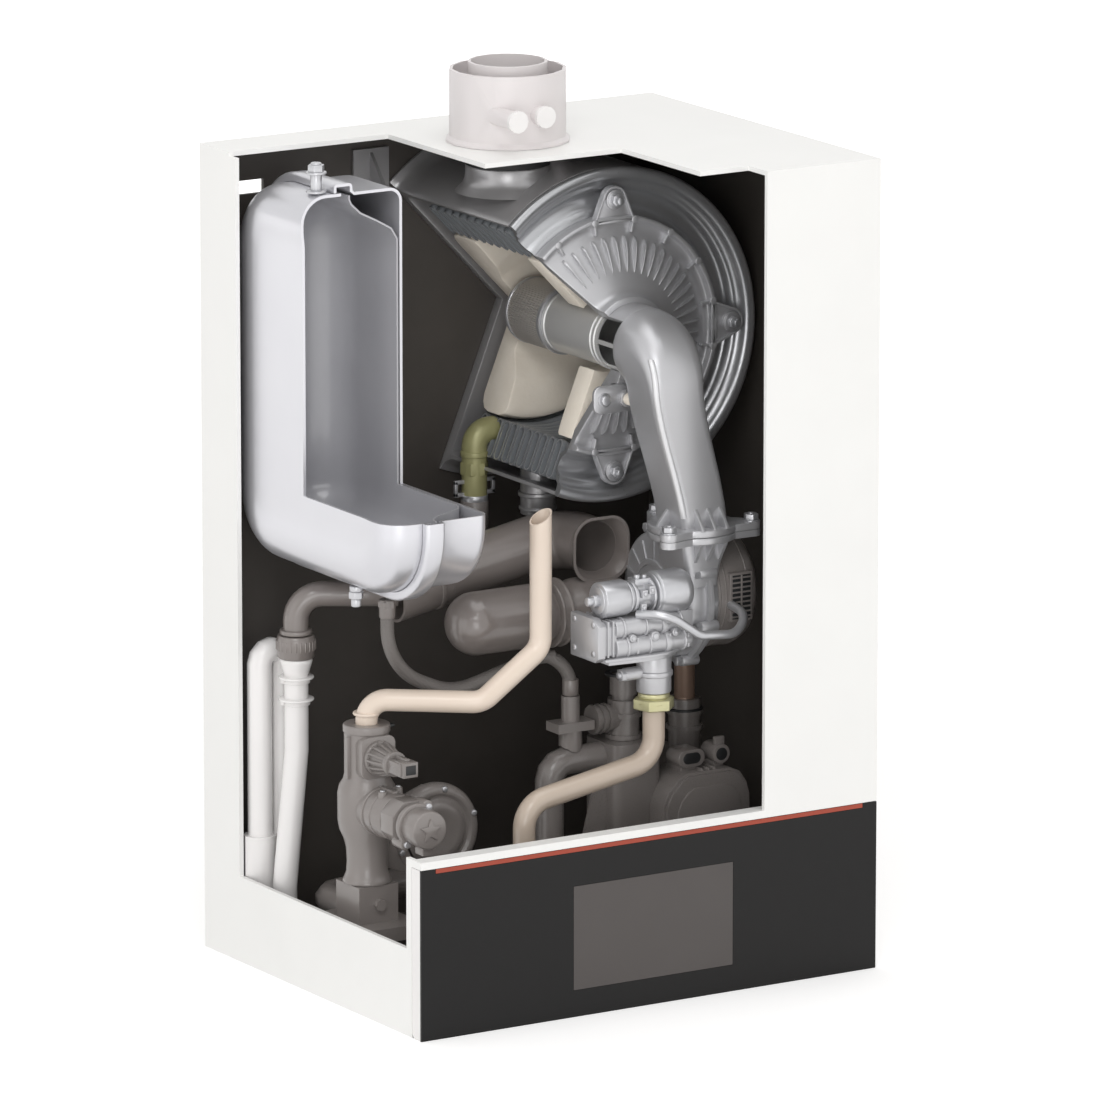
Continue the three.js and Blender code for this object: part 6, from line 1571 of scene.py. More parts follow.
    def add_gusset(self, part: Solid, seat: Seat, x: float, y: float, turn: float) -> None:
        """Add one thin gusset between the neck and its flange.

        Args:
            part: the piece that it is added to.
            seat: turns (x, y, height) of the flange to this piece's frame.
            x: where its root stands.
            y: where its root stands.
            turn: the way it points, in degrees.
        """
        across, up = polar(1, turn)
        outline = [(-2, 0), (13.5, 0), (12.5, 2), (0.5, 17), (-2, 18)]
        rings = []
        for half in (-1.4, 1.4):
            root_x, root_y = x - half * up, y + half * across
            rings.append([seat(root_x + r * across, root_y + r * up, height) for r, height in outline])
        part.loft(rings)

    def spiral(self, rise: float, steps: int = 96) -> list[tuple[float, float]]:
        """Outline the fan housing.

        Args:
            rise: how far outside the housing's wall it runs.
            steps: how many points.

        Returns:
            The outline's (y, z) points round the wheel's centre.
        """
        points = []
        for i in range(steps):
            share = i / (steps - 1)
            across, up = polar(self.spiral_radius + self.spiral_growth * (1 - share) + rise, 360 * share)
            points.append((-up, -across))
        return points

    def add_band(self, house: Solid, stations: Profile, start: bool = False) -> None:
        """Add a band of (x, rise) stations that follows the housing's spiral."""
        rings = [[(x, y, z) for y, z in self.spiral(rise)] for x, rise in stations]
        house.loft(rings, start=start, end=False)

    def build_volute(self) -> None:
        """Build the fan housing with its split line, bolts, neck and inlet boss."""
        house = Solid(Matrix.Translation(self.fan))
        half = self.half_thickness
        body = [(-half, -9), (-half + 1.2, -4), (-half + 4, -1), (-half + 8, 0), (half - 3, 0), (half, -2)]
        self.add_band(house, body, start=True)
        flange = [(2, -1), (2, 3.2), (2.6, 4), (8.2, 4), (8.8, 3.2), (8.8, -1)]
        split = [(5.2, 4.05), (5.2, 4.3), (5.9, 4.3), (5.9, 4.05)]
        for stations in (flange, split):
            self.add_band(house, stations)
        for degrees in self.bolt_angles:
            radius = self.spiral_radius + self.spiral_growth * (1 - degrees / 360) + 4
            z, y = polar(-radius, degrees)
            house.rod((-4.5, y, z), (12.2, y, z), 4.9, 28, edge=0.6)
            house.hexagon((-9.4, y, z), (-4.4, y, z), 7.6, slot=1)
        for step in range(10):
            angle = math.radians(20 + step * 24)
            rib = Solid(Matrix.Translation(self.fan) @ Matrix.Rotation(angle, 4, "X"))
            rib.box((-half - 0.9, 29, -1), (-half + 2, 45, 1))
            house.join(rib)
        ring = [
            (24.2, -half - 1.4), (28, -half - 1.4), (29, -half - 0.4), (29, -half + 2), (24.2, -half + 2)
        ]
        eye = Solid(Matrix.Translation(self.fan) @ Matrix.Rotation(math.pi / 2, 4, "Y"))
        eye.lathe(ring, 64)
        house.join(eye)
        self.add_neck(house)
        self.workshop.make(
            "fan_housing", house, ["cast_alloy", "zinc_steel"], ["fan_volute"], bevel=0.4, degrees=45
        )

    def add_neck(self, house: Solid) -> None:
        """Add the neck that rises from the housing to the elbow's flange.

        Args:
            house: the housing.
        """
        seat, low, high = self.neck_seat, self.neck_top, self.neck_top + 5.8
        shift, y = self.neck_place
        rings = []
        for height, share in [(14, 0), (20, 0), (30, 0.2), (40, 0.6), (47, 0.9), (53, 1)]:
            half_x = self.half_thickness + (self.half_x - self.half_thickness) * share
            rings.append(
                rounded_ring((shift * share, y, height), (1, 0, 0), (0, 1, 0), half_x, self.half_y, 6, 6)
            )
        house.loft(rings)
        house.rod(seat(0, 0, low), seat(0, 0, high), self.flange, 72, edge=0.9)
        for degrees in self.lug_angles:
            self.add_ear(house, seat, degrees, low, high)
        gusset = [(0, 53), (13, 53), (12, 50.5), (2.4, 36), (0, 34)]
        for x in (-12, 0, 12):
            rings = [[seat(x + half, self.half_y - 2 + r, h) for r, h in gusset] for half in (-1.4, 1.4)]
            house.loft(rings)

    def build_motor(self) -> None:
        """Build the round motor cover with its louvres, rim ribs and plug."""
        start, r = self.half_thickness + 0.4, self.motor_radius
        end = start + self.motor_length
        motor = Solid(Matrix.Translation(self.fan) @ Matrix.Rotation(math.pi / 2, 4, "Y"))
        profile = [
            (0, start), (r - 0.8, start), (r - 0.2, start + 0.8), (r - 0.2, end - 14), (r - 0.8, end - 10),
            (r - 2.6, end - 5.6), (r - 6, end - 2.2), (r - 10, end - 0.7), (r - 16, end), (0, end),
        ]
        motor.lathe(profile, 96, closed=False)
        for at_x in (start + 2, start + 8, end - 15):
            bead = [(r - 0.6, at_x), (r + 0.4, at_x + 0.3), (r + 0.4, at_x + 1.5), (r - 0.6, at_x + 1.8)]
            motor.lathe(bead, 96)
        shell = Solid(Matrix.Translation(self.fan))
        shell.box((start + 12, -r - 1, -21), (start + 34, -r + 9, 21))
        shell.box((start + 14, -r - 1.4, -19), (start + 32, -r + 8, 19), slot=1)
        for i in range(9):
            z = -17.6 + 4.2 * i
            shell.box((start + 13.5, -r - 2, z), (start + 32.5, -r + 2, z + 1.5))
        shell.box((start + 22, -r - 2.2, -19), (start + 23.6, -r + 2, 19))
        motor.join(shell)
        self.workshop.make(
            "fan_drive_cover", motor, ["dark_plastic", "black_plastic"], ["fan_motor"], bevel=0.3,
            degrees=45,
        )

    def build_valve(self) -> None:
        """Build the gas valve casting with its ribs, end cap, screws, plugs and outlet."""
        valve = Solid()
        left, right, front, rear, foot, top = -6.3, 71.6, -315, -273, -62, -28
        valve.box((left, front + 5, foot + 2), (right, rear, top))
        plate = [
            (front - 2, -58), (front + 3, -62), (rear, -62), (rear, -25.2), (front + 8, -25.2),
            (front - 2, -31),
        ]
        valve.slab(plate, Axis.X, -26.2, -19)
        inner = [(front + 1, -57), (rear, -57), (rear, -29), (front + 6, -29), (front + 1, -33)]
        valve.slab(inner, Axis.X, -19.2, left + 0.2)
        for x in (-16, -11):
            valve.box((x, front - 0.4, -58.5), (x + 2, rear, -27.4))
        barrels = [(0, front + 7, -36, right - 12, 8.2), (3, front + 6, -52, right - 4, 8.8)]
        for _, y, z, end, radius in barrels:
            valve.rod((left - 1, y, z), (end, y, z), radius, 48, edge=1.2)
        for x, width in [(0, 2.4), (22, 2), (38, 6), (56, 2.4)]:
            for shift, y, z, _, radius in barrels:
                valve.rod((x + shift, y, z), (x + shift + width, y, z), radius + 1.4, 48, edge=0.6)
        hull = [(-19, -317), (24, -321), (40, -320), (58, -311), (66, -300), (66, rear), (-19, rear)]
        valve.slab(hull, Axis.Z, -62, -59.6)
        valve.slab([(x * 0.9 + 2, y * 0.95 - 15) for x, y in hull], Axis.Z, -65, -61.8)
        for x, z, size in [(8, -44, 3.4), (30, -44.6, 4.4), (50, -43.6, 3.4)]:
            plug = [
                Bar(front + 2, front - 3.4, size, 24, 0.6),
                Bar(front - 3, front - 4.6, size - 1.4, 24, 0.5, 1),
            ]
            valve.stack((x, 0, z), Axis.Y, plug)
        for x in (12, 44, 62):
            valve.box((x, front - 2.4, -58), (x + 2.2, front + 6, -44))
        for z in (-55, -30):
            for y in (front + 6, rear - 6):
                valve.rod((-27, y, z), (-25.6, y, z), 2.8, 18, slot=1)
        x, y = self.outlet
        valve.stack((x, y, 0), Axis.Z, [Bar(-97.9, foot + 0.2, 14.8, 44, 1), Bar(-84, -79, 16, 44, 1)])
        valve.stack((0, y, -80), Axis.X, [Bar(x - 30, x, 5.6, 28), Bar(x - 30, x - 36, 3.2, 20, 0.5, 1)])
        valve.hexagon((x - 34, y, -80), (x - 22, y, -80), 10, slot=1)
        slots = ["cast_alloy", "zinc_steel", "dark_steel"]
        self.workshop.make("gas_valve_casting", valve, slots, ["gas_valve"], bevel=1, degrees=40)

    def build_coil(self) -> None:
        """Build the valve's magnet coils: two steel cans, their pins and the plug on top."""
        coil = Solid()
        y, z = self.magnet
        cans = [
            Bar(-16, 9, 15.4, 64, 1.4), Bar(-17, -15, 12, 48, 0.6), Bar(-22, -16, 5.4, 30, 0.8),
            Bar(-27.2, -21, 3.9, 24, 0.8), Bar(8, 38, 11.6, 48, 0.6),
        ]
        for x, radius, width in [(9.4, 14.2, 2.4), (14, 13.4, 3.6), (31, 15.2, 2.6), (35, 17.6, 3)]:
            cans.append(Bar(x, x + width, radius, 56, 0.7))
        coil.stack((0, y, z), Axis.X, cans)
        for x, dy, dz in [(18.4, -12.6, 4), (18.4, -11, -8), (25, -13, 7)]:
            coil.box((x, y + dy - 3, z + dz - 3.4), (x + 5.4, y + 4, z + dz + 3.4))
            coil.rod((x + 2.7, y + dy - 2, z + dz), (x + 2.7, y + dy - 4.6, z + dz), 1.9, 18, edge=0.4)
        coil.box((17, y - 6, z + 8), (32, y + 6, z + 15))
        for x, top, radius in [(21, 18.4, 2.6), (28, 17.6, 2.2)]:
            coil.rod((x, y - 2, z + 14), (x, y - 2, z + top), radius, 18)
        dome = Solid(Matrix.Translation((0, y, z)) @ Matrix.Rotation(math.pi / 2, 4, "Y"))
        cap = [
            (0, 37.6), (17.4, 37.6), (18.8, 39), (18.8, 62), (18, 66), (15.6, 69.4), (11, 71.6), (0, 71.6)
        ]
        dome.lathe(cap, 64, closed=False)
        coil.join(dome)
        self.workshop.make(
            "valve_magnet_coils", coil, ["zinc_steel", "dark_plastic"], ["valve_coil"], bevel=0.3,
            degrees=40,
        )


@dataclass(frozen=True)
class PipeRun:
    """One bent pipe: its route, its outer radius, the radius of its bends and its wall."""

    name: str
    node: str
    corners: tuple[Point, ...]
    radius: float
    bend: float
    slot: str
    wall: float = 0.0
    steps: int = 40


GAS_ROUTE = ((42, -296, -103.4), (42, -296, -157), (-86, -296, -180), (-86, -296, -349.8))
IMPULSE_ROUTE = (
    (17, -309, -26), (34, -331, -24), (66, -331, -46), (104, -327, -50), (122, -316, -38), (122, -290, -34),
)
PIPES = (
    PipeRun("gas_tube", "gas_pipe", GAS_ROUTE, 9.5, 24, "gas_pipe_paint", 1.2),
    PipeRun("impulse_line", "impulse_tube", IMPULSE_ROUTE, 3.8, 24, "zinc_steel", 0, 20),
)


@dataclass
class Pipework:
    """The bent pipes, ducts and hoses with their collars, clips and nuts.

    Each place is where an upright line stands, and each route a centre line's corners.
    """

    workshop: Workshop
    mouth: tuple[float, float] = (50.0, 5.0)
    mouth_radius: float = 24.6
    duct_route: tuple[Point, ...] = ((50, -187, 5), (50, -134, 5), (-120, -134, -27))
    lower_duct: tuple[float, float] = (-190.0, -47.0)
    lower_radius: float = 27.0
    siphon: tuple[float, float] = (-190.0, -97.0)
    drain_route: tuple[Point, ...] = ((-190, -97, -59.7), (-190, -97, -25), (-112, -134, -27))
    siphon_route: tuple[Point, ...] = (
        (-190, -97, -80.4), (-190, -97, -160), (-202, -97, -278), (-202, -97, -349.8),
    )
    flow: tuple[float, float] = (-185.0, -205.0)
    flow_route: tuple[Point, ...] = (
        (-185, -205, -128.6), (-185, -205, -95), (-108, -264, -95), (-50, -264, -55), (-50, -264, 57),
    )
    flow_cut: Point = (-0.62, -0.1, 1.0)
    hose_route: tuple[Point, ...] = (
        (-152, -184, -16.8), (-152, -184, -78), (-88, -184, -106), (-6, -192, -82), (19, -200, -86),
        (19, -200, -129),
    )
    hose_radius: float = 5.8
    safety: tuple[float, float] = (9.0, -60.0)
    safety_route: tuple[Point, ...] = ((9, -60, 0), (9, -60, 86), (29, -60, 86))
    gas: tuple[float, float] = (42.0, -296.0)

    def build(self) -> None:
        """Build every run."""
        for run in PIPES:
            solid = Solid()
            solid.sweep(bent_route(run.corners, run.bend), run.radius, run.steps, wall=run.wall)
            self.workshop.make(run.name, solid, [run.slot], [run.node], bevel=0, degrees=50)
        self.build_upper_duct()
        self.build_lower_duct()
        self.build_drain()
        self.build_siphon()
        self.build_flow_pipe()
        self.build_hose()
        self.build_riser()
        self.build_safety_elbow()
        self.build_union()

    def build_upper_duct(self) -> None:
        """Build the air duct that is cut at its front, with its cuff and cut edge."""
        duct = Solid()
        x, z = self.mouth
        r = self.mouth_radius
        route = bent_route(self.duct_route, 34, 14)
        duct.sweep(route, r, 56, wall=2.4)
        flare = [(-186.5, 0, r), (-191, 0.4, 23), (-195, 1.4, 21), (-198, 2.6, 19.5), (-200, 3.4, 19)]
        outside = []
        for y, swell, edge in flare:
            outside.append(rounded_ring((x, y, z), (1, 0, 0), (0, 0, 1), r + swell, r + swell, edge, 14))
        inside = [[Vector(point).lerp(Vector((x, point.y, z)), 0.09) for point in ring] for ring in outside]
        duct.loft(outside + inside[::-1], wrap=True)
        start = Vector(route[-1])
        along = (Vector(route[-2]) - start).normalized()
        for offset, radius, length in [(38, 25.4, 5), (48, 24.8, 3)]:
            duct.rod(start + offset * along, start + (offset + length) * along, radius, 56, edge=1)
        self.workshop.make("air_duct_upper", duct, ["duct_plastic"], ["upper_duct"], bevel=0, degrees=50)

    def build_lower_duct(self) -> None:
        """Build the lower duct with its domed end, neck and clamp band."""
        y, z = self.lower_duct
        r = self.lower_radius
        duct = Solid(Matrix.Translation((0, y, z)) @ Matrix.Rotation(math.pi / 2, 4, "Y"))
        profile = [
            (r * math.sin(a * math.pi / 16), -70 - 25 * math.cos(a * math.pi / 16)) for a in range(9)
        ]
        profile += [
            (r, -8), (r - 0.4, -5), (24, -2), (23.6, 0), (23.6, 16), (24.2, 20), (r - 0.4, 26), (r, 30),
            (r, 64), (r - 0.8, 69), (23.6, 73), (20, 75.2), (0, 75.4),
        ]
        duct.lathe(profile, 72, closed=False)
        clamp = [
            (23.4, 1), (29.2, 1.4), (29.6, 3), (28.4, 4.2), (28.4, 9.8), (29.6, 11), (29.2, 12.8),
            (23.4, 13.2),
        ]
        duct.lathe(clamp, 72)
        slots = ["duct_plastic", "zinc_steel"]
        self.workshop.make("air_duct_lower", duct, slots, ["intake_silencer"], bevel=0.2, degrees=40)

    def build_drain(self) -> None:
        """Build the drain elbow with its cuff and the coupling nut below it."""
        x, y = self.siphon
        elbow = Solid()
        elbow.sweep(bent_route(self.drain_route, 22, 12), 10.8, 40, wall=1.6)
        elbow.rod((x, y, -59.6), (x, y, -55.6), 13.8, 40, edge=0.8)
        self.workshop.make("drain_bend", elbow, ["duct_plastic"], ["drain_elbow"], bevel=0, degrees=50)
        nut = Solid(Matrix.Translation((x, y, 0)))
        profile = [
            (11.2, -79.9), (15, -79.9), (15.8, -79), (15.8, -74), (16.6, -73), (16.6, -64), (15.4, -60.4),
            (11.2, -60.1),
        ]
        nut.lathe(profile, 72)
        for i in range(24):
            nut.stack((*polar(16, 15 * i), 0), Axis.Z, [Bar(-73, -64.4, 1.1, 10, 0.4)])
        self.workshop.make("drain_coupling", nut, ["duct_plastic"], ["drain_nut"], bevel=0.2)

    def build_siphon(self) -> None:
        """Build the main siphon pipe with its cuff, collars and clips."""
        x, y = self.siphon
        main = Solid()
        main.sweep(bent_route(self.siphon_route, 40, 8), 10.4, 40, wall=1.2)
        cuff = [
            (10.2, -80.4), (13.6, -80.6), (14.2, -82), (13.4, -85), (11.6, -91), (10.8, -94), (10.2, -94)
        ]
        main.lathe(cuff, 64, centre=(x, y))
        for z in (-96, -115):
            collar = [Bar(z, z - 2, 15.2, 48, 0.7), Bar(z - 2, z - 6, 11.9, 48, 0.6)]
            main.stack((x, y, 0), Axis.Z, collar)
            main.box((x - 14, y - 2, z - 5), (x + 14, y + 2, z - 1))
        self.workshop.make(
            "siphon_pipe", main, ["white_plastic"], ["siphon_main_pipe"], bevel=0, degrees=40
        )

    def build_flow_pipe(self) -> None:
        """Build the flow pipe whose top is cut off at a slant, with its swaged collars."""
        x, y = self.flow
        pipe = Solid()
        pipe.sweep(bent_route(self.flow_route, 18, 12), 9.4, 44, wall=1.2, slant=self.flow_cut)
        pipe.stack((x, y, 0), Axis.Z, [Bar(z, z + 2.6, 11.6, 44, 1) for z in (-121, -108)])
        self.workshop.make("flow_tube", pipe, ["beige_pipe"], ["flow_pipe"], bevel=0, degrees=50)

    def build_hose(self) -> None:
        """Build the braided vessel hose with its crimped ends."""
        hose = Solid()
        hose.sweep(bent_route(self.hose_route, 55, 16), self.hose_radius, 32)
        crimp = self.hose_radius + 1.2
        hose.stack(self.hose_route[0], Axis.Z, [Bar(-17, -33, crimp, 32, 0.8, 1)])
        x, y, _ = self.hose_route[0]
        hose.hexagon((x, y, -18), (x, y, -24), 13.6, slot=1)
        hose.stack(self.hose_route[-1], Axis.Z, [Bar(-104, -118, crimp, 32, 0.8, 1)])
        slots = ["hose_rubber", "duct_plastic"]
        self.workshop.make("vessel_line", hose, slots, ["vessel_hose"], bevel=0, degrees=50)

    def build_riser(self) -> None:
        """Build the flow riser, as tall as the frame's."""
        low, high = (Vector(corner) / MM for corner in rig.box("flow_riser"))
        riser = Solid()
        bars = [Bar(low.z, high.z, 8.9, 40)] + [Bar(z, z + 2, 9, 40) for z in (-150, -143)]
        riser.stack((low + high) / 2, Axis.Z, bars)
        self.workshop.make("riser_tube", riser, ["copper_pipe"], ["flow_riser"], bevel=0)

    def build_safety_elbow(self) -> None:
        """Build the cast outlet elbow with its nut, cup and clip plates."""
        x, y = self.safety
        elbow = Solid()
        elbow.sweep(bent_route(self.safety_route, 14, 10), 11, 40)
        elbow.hexagon((x, y, 48), (x, y, 60), 21.6)
        cup = [Bar(64, 69, 12, 40, 0.8), Bar(-1.8, 26, 12, 40, 0.8, 1), Bar(25, 31, 11.6, 40, 0.8, 2)]
        elbow.stack((x, y, 0), Axis.Z, cup)
        for side in (-1, 1):
            for height in (30.5, 41.5):
                elbow.box(
                    (x + 8 * side, y - 1.5, height - 0.4), (x + 20 * side, y + 1.5, height + 3), slot=2
                )
            elbow.box((x + 17 * side, y - 1.5, 30.5), (x + 20 * side, y + 1.5, 44), slot=2)
        slots = ["olive_brass", "dark_plastic", "zinc_steel"]
        self.workshop.make("outlet_elbow", elbow, slots, ["safety_elbow"], bevel=0.3)

    def build_union(self) -> None:
        """Build the brass union nut of the gas pipe."""
        x, y = self.gas
        union = Solid()
        union.hexagon((x, y, -113.2), (x, y, -102.6), 31)
        union.stack((x, y, 0), Axis.Z, [Bar(-102.6, -98.4, 13.4, 40, 0.8), Bar(-107.4, -106.8, 15.9, 48)])
        self.workshop.make("gas_nut", union, ["brass"], ["gas_union"], bevel=0.4)


@dataclass
class Hydraulics:
    """Finer pieces on the water side: diverter, its drive, sensor, round housing and pump box."""

    workshop: Workshop
    axis: tuple[float, float, float] = (-185.0, -205.0, -186.0)
    sensor_z: float = -141.0
    bypass: tuple[float, float, float] = (-112.4, -192.0, -221.0)
    box_middle: tuple[float, float] = (126.0, -232.0)
    box_foot: float = -271.8
    socket_z: float = -177.0
    screw_angles: tuple[float, ...] = (20.0, 80.0, 140.0, 200.0, 260.0, 320.0)

    def build(self) -> None:
        """Build every piece."""
        self.build_bypass()
        self.build_diverter()
        self.build_actuator()
        self.build_sensor()
        self.build_control_box()
        self.build_trim()

    def build_bypass(self) -> None:
        """Build the round housing behind the diverter and the arm that joins it."""
        housing = Solid(Matrix.Translation(self.bypass) @ Matrix.Rotation(math.pi / 2, 4, "X"))
        profile = [
            (0, 9), (16, 9), (18, 10), (24, 10), (26.5, 8), (28.5, 6), (31, 6), (33.5, 8.4), (37, 8.4),
            (40, 6.6), (41.6, 3.4), (42, 0), (41.6, -3.4), (40, -6.8), (37, -9), (33, -10), (0, -10),
        ]
        housing.lathe(profile, 96, closed=False)
        arm = [(-62, -20), (-30, -31), (-6, -40), (-6, 40), (-30, 31), (-62, 20)]
        housing.slab(arm, Axis.Z, -8.6, 6)
        for degrees in self.screw_angles:
            housing.stack((*polar(37.6, degrees), 0), Axis.Z, [Bar(6, 9.8, 2.6, 18, 0.6, 1)])
        slots = ["dark_plastic", "zinc_steel"]
        self.workshop.make("bypass_round", housing, slots, ["bypass_housing"], bevel=0.5, degrees=40)

    def build_diverter(self) -> None:
        """Build the diverter casing: socket, bulge, waisted neck, sensor pad and front barrel."""
        x, y, z = self.axis
        casing = Solid()
        profile = [
            (9.9, -115.2), (19, -115.2), (20, -116.2), (20, -121.6), (19, -122.6), (19, -158), (20.2, -163),
            (23.4, -168), (24.8, -175), (24.8, -198), (23.4, -206), (19.8, -214), (17.8, -222),
            (17.2, -234), (17.8, -243), (19.6, -247.5), (20.8, -250), (20.8, -251.6), (9.9, -251.6),
        ]
        casing.lathe(profile, 80, centre=(x, y))
        barrel = [
            Bar(y, -258.9, 19.8, 64, 1.4), Bar(-229, -231.6, 21.2, 64, 0.8),
            Bar(-241, -243.2, 20.8, 64, 0.8),
        ]
        casing.stack(self.axis, Axis.Y, barrel)
        pad = rounded_ring((x, y, self.sensor_z), (1, 0, 0), (0, 0, 1), 16.4, 18, 7, 8)
        casing.loft([[(px, depth, pz) for px, _, pz in pad] for depth in (y - 6, -223.6, -224.8)])
        casing.box((x - 21.6, y - 5, -160), (x - 17, y - 2.6, -124))
        casing.box((x - 2, -252, z + 18.6), (x + 2, -228, z + 21.6))
        for px, depth in [(x + 11, -238), (x - 9, -246)]:
            boss = [Bar(z + 14, z + 21.4, 3.6, 24, 0.6), Bar(z + 21, z + 22.6, 2.2, 18, 0.4, 1)]
            casing.stack((px, depth, 0), Axis.Z, boss)
        slots = ["block_plastic", "zinc_steel"]
        self.workshop.make("diverter_casing", casing, slots, ["diverter_body"], bevel=0.6, degrees=40)

    def around_axis(self, points: Iterable[tuple[float, float]]) -> list[tuple[float, float]]:
        """Place points round the barrel's axis.

        Args:
            points: their (radius, degrees).

        Returns:
            Their x and z.
        """
        x, _, z = self.axis
        flat = [polar(radius, degrees) for radius, degrees in points]
        return [(x + across, z + up) for across, up in flat]

    def build_actuator(self) -> None:
        """Build the stepping motor on the barrel: eight-sided shell, ears, knob and star."""
        x, _, z = self.axis
        drive = Solid()
        drive.slab(self.around_axis((20.6, 22.5 + 45 * i) for i in range(8)), Axis.Y, -279, -259.5)
        for px, pz in self.around_axis([(18.2, 55), (18.2, 235)]):
            ear = [Bar(-271, -287, 5.2, 30, 0.8), Bar(-286, -290, 3, 24, 0.6, 1)]
            drive.stack((px, 0, pz), Axis.Y, ear)
        knob = [
            Bar(-278, -286, 15.6, 56, 0.5, 2), Bar(-283, -288.6, 19, 64, 1.2),
            Bar(-288, -308.4, 16.4, 64, 2),
        ]
        drive.stack(self.axis, Axis.Y, knob)
        star = self.around_axis((4.6 if i % 2 else 10.4, 90 + 36 * i) for i in range(10))
        drive.slab(star, Axis.Y, -310.2, -308)
        drive.box((x - 4, -303, z - 22.6), (x + 6, -290, z - 12))
        slots = ["block_plastic", "zinc_steel", "black_plastic"]
        self.workshop.make("diverter_drive", drive, slots, ["diverter_actuator"], bevel=0.6, degrees=40)

    def build_sensor(self) -> None:
        """Build the flow sensor: ribbed cone and its plug."""
        x, z = self.axis[0], self.sensor_z
        sensor = Solid()
        sensor.rod((x, -224.9, z), (x, -229, z), 14.8, 56, edge=0.8)
        sensor.loft([ring_on((x, depth, z), (0, -1, 0), r, 40) for depth, r in [(-228, 12.2), (-249, 8.6)]])
        for i in range(14):
            a = math.tau * i / 14
            out = Vector((math.cos(a), 0, math.sin(a)))
            across = Vector((-math.sin(a), 0, math.cos(a))) * 0.9
            rib = []
            for depth, high in [(-228.4, 14.6), (-236, 13.6), (-248, 10.2)]:
                middle = Vector((x, depth, z))
                top = middle + high * out
                rib.append([middle - across, middle + across, top + across, top - across])
            sensor.loft(rib)
        sensor.rod((x, -247.6, z), (x, -253, z), 10.8, 48, edge=0.8)
        blocks = [(8.4, 5.4, -274, -252), (7, 6.4, -277.2, -262), (4.8, 4, -277.6, -276.8)]
        for slot, (wide, high, front, rear) in zip((0, 0, 1), blocks):
            sensor.box((x - wide, front, z - high), (x + wide, rear, z + high), slot=slot)
        sensor.box((x - 2, -272, z + 5.6), (x + 2, -256, z + 8.6))
        slots = ["dark_plastic", "black_plastic"]
        self.workshop.make("flow_sensor_ribbed", sensor, slots, ["flow_sensor"], bevel=0.4)

    def build_control_box(self) -> None:
        """Build the pump's control box with its raised lid and its two plug sockets."""
        foot, socket_z = self.box_foot, self.socket_z
        middle_x, middle_z = self.box_middle
        case = Solid()
        outline = [
            (82.6, foot), (82.6, -216), (88, -203), (98, -193), (106, -188.6), (150, -188.6), (160, -193),
            (167, -203), (170.2, -214), (170.2, foot),
        ]
        case.slab(outline, Axis.Y, -247, -204.4)
        for share, low, high in [(0.95, -250.4, -246.8), (0.72, -252.2, -250.2)]:
            lid = []
            for x, z in outline:
                height = max(middle_z + share * (z - middle_z), foot)
                lid.append((middle_x + share * (x - middle_x), height))
            case.slab(lid, Axis.Y, low, high)
        for x, wide, high in [(114, 13.4, 7.6), (144, 8.6, 8.6)]:
            for size, depth, slot in [(1, -243, 0), (0.66, -243.6, 1)]:
                sizes = (wide * size, high * size, high * size)
                ring = rounded_ring((x, 0, socket_z), (1, 0, 0), (0, 0, 1), *sizes, 10)
                case.loft([[(px, level, pz) for px, _, pz in ring] for level in (-222, depth)], slot)
            case.box((x - 0.6 * wide, -238, socket_z - 13), (x + 0.6 * wide, -214, socket_z - 5))
        case.box((139, -240, socket_z + 6), (149, -236, socket_z + 14.8))
        for x in (122, 128, 134):
            case.box((x, -246, -192), (x + 2.4, -206, -186.4))
        slots = ["dark_plastic", "black_plastic"]
        self.workshop.make("pump_electronics", case, slots, ["pump_control_box"], bevel=1.2, degrees=30)

    def build_trim(self) -> None:
        """Build the clip rings that hold the water side's joints together."""
        trim = Solid()
        rings = [
            (self.axis[:2], 13.4, 15.8, (-119.4, -119, -117.2, -116.8)),
            ((150, -174), 9, 16, (-152.6, -152.2, -150.4, -150)),
            ((68, -200), 9, 12.6, (-106.6, -106.4, -104.6, -104.2)),
        ]
        for centre, inner, outer, levels in rings:
            trim.lathe(list(zip((inner, outer, outer, inner), levels)), 64, centre=centre)
        trim.box((-172, -214, -119.2), (-163, -196, -117))
        self.workshop.make("water_side_clips", trim, ["black_plastic"], bevel=0.2)


@dataclass(frozen=True)
class Lamp:
    """One soft square lamp that is aimed at the part."""

    name: str
    place: Point
    size: float
    watts: float


LAMPS = (
    Lamp("key", (-1900.0, -2600.0, 2300.0), 1400.0, 26.0),
    Lamp("fill", (1500.0, -3200.0, 900.0), 2600.0, 7.0),
    Lamp("left_wash", (-3000.0, -400.0, 700.0), 1800.0, 7.0),
    Lamp("front_soft", (-2000.0, -3300.0, 300.0), 1400.0, 17.0),
    Lamp("overhead", (0.0, -700.0, 3200.0), 2400.0, 25.0),
)


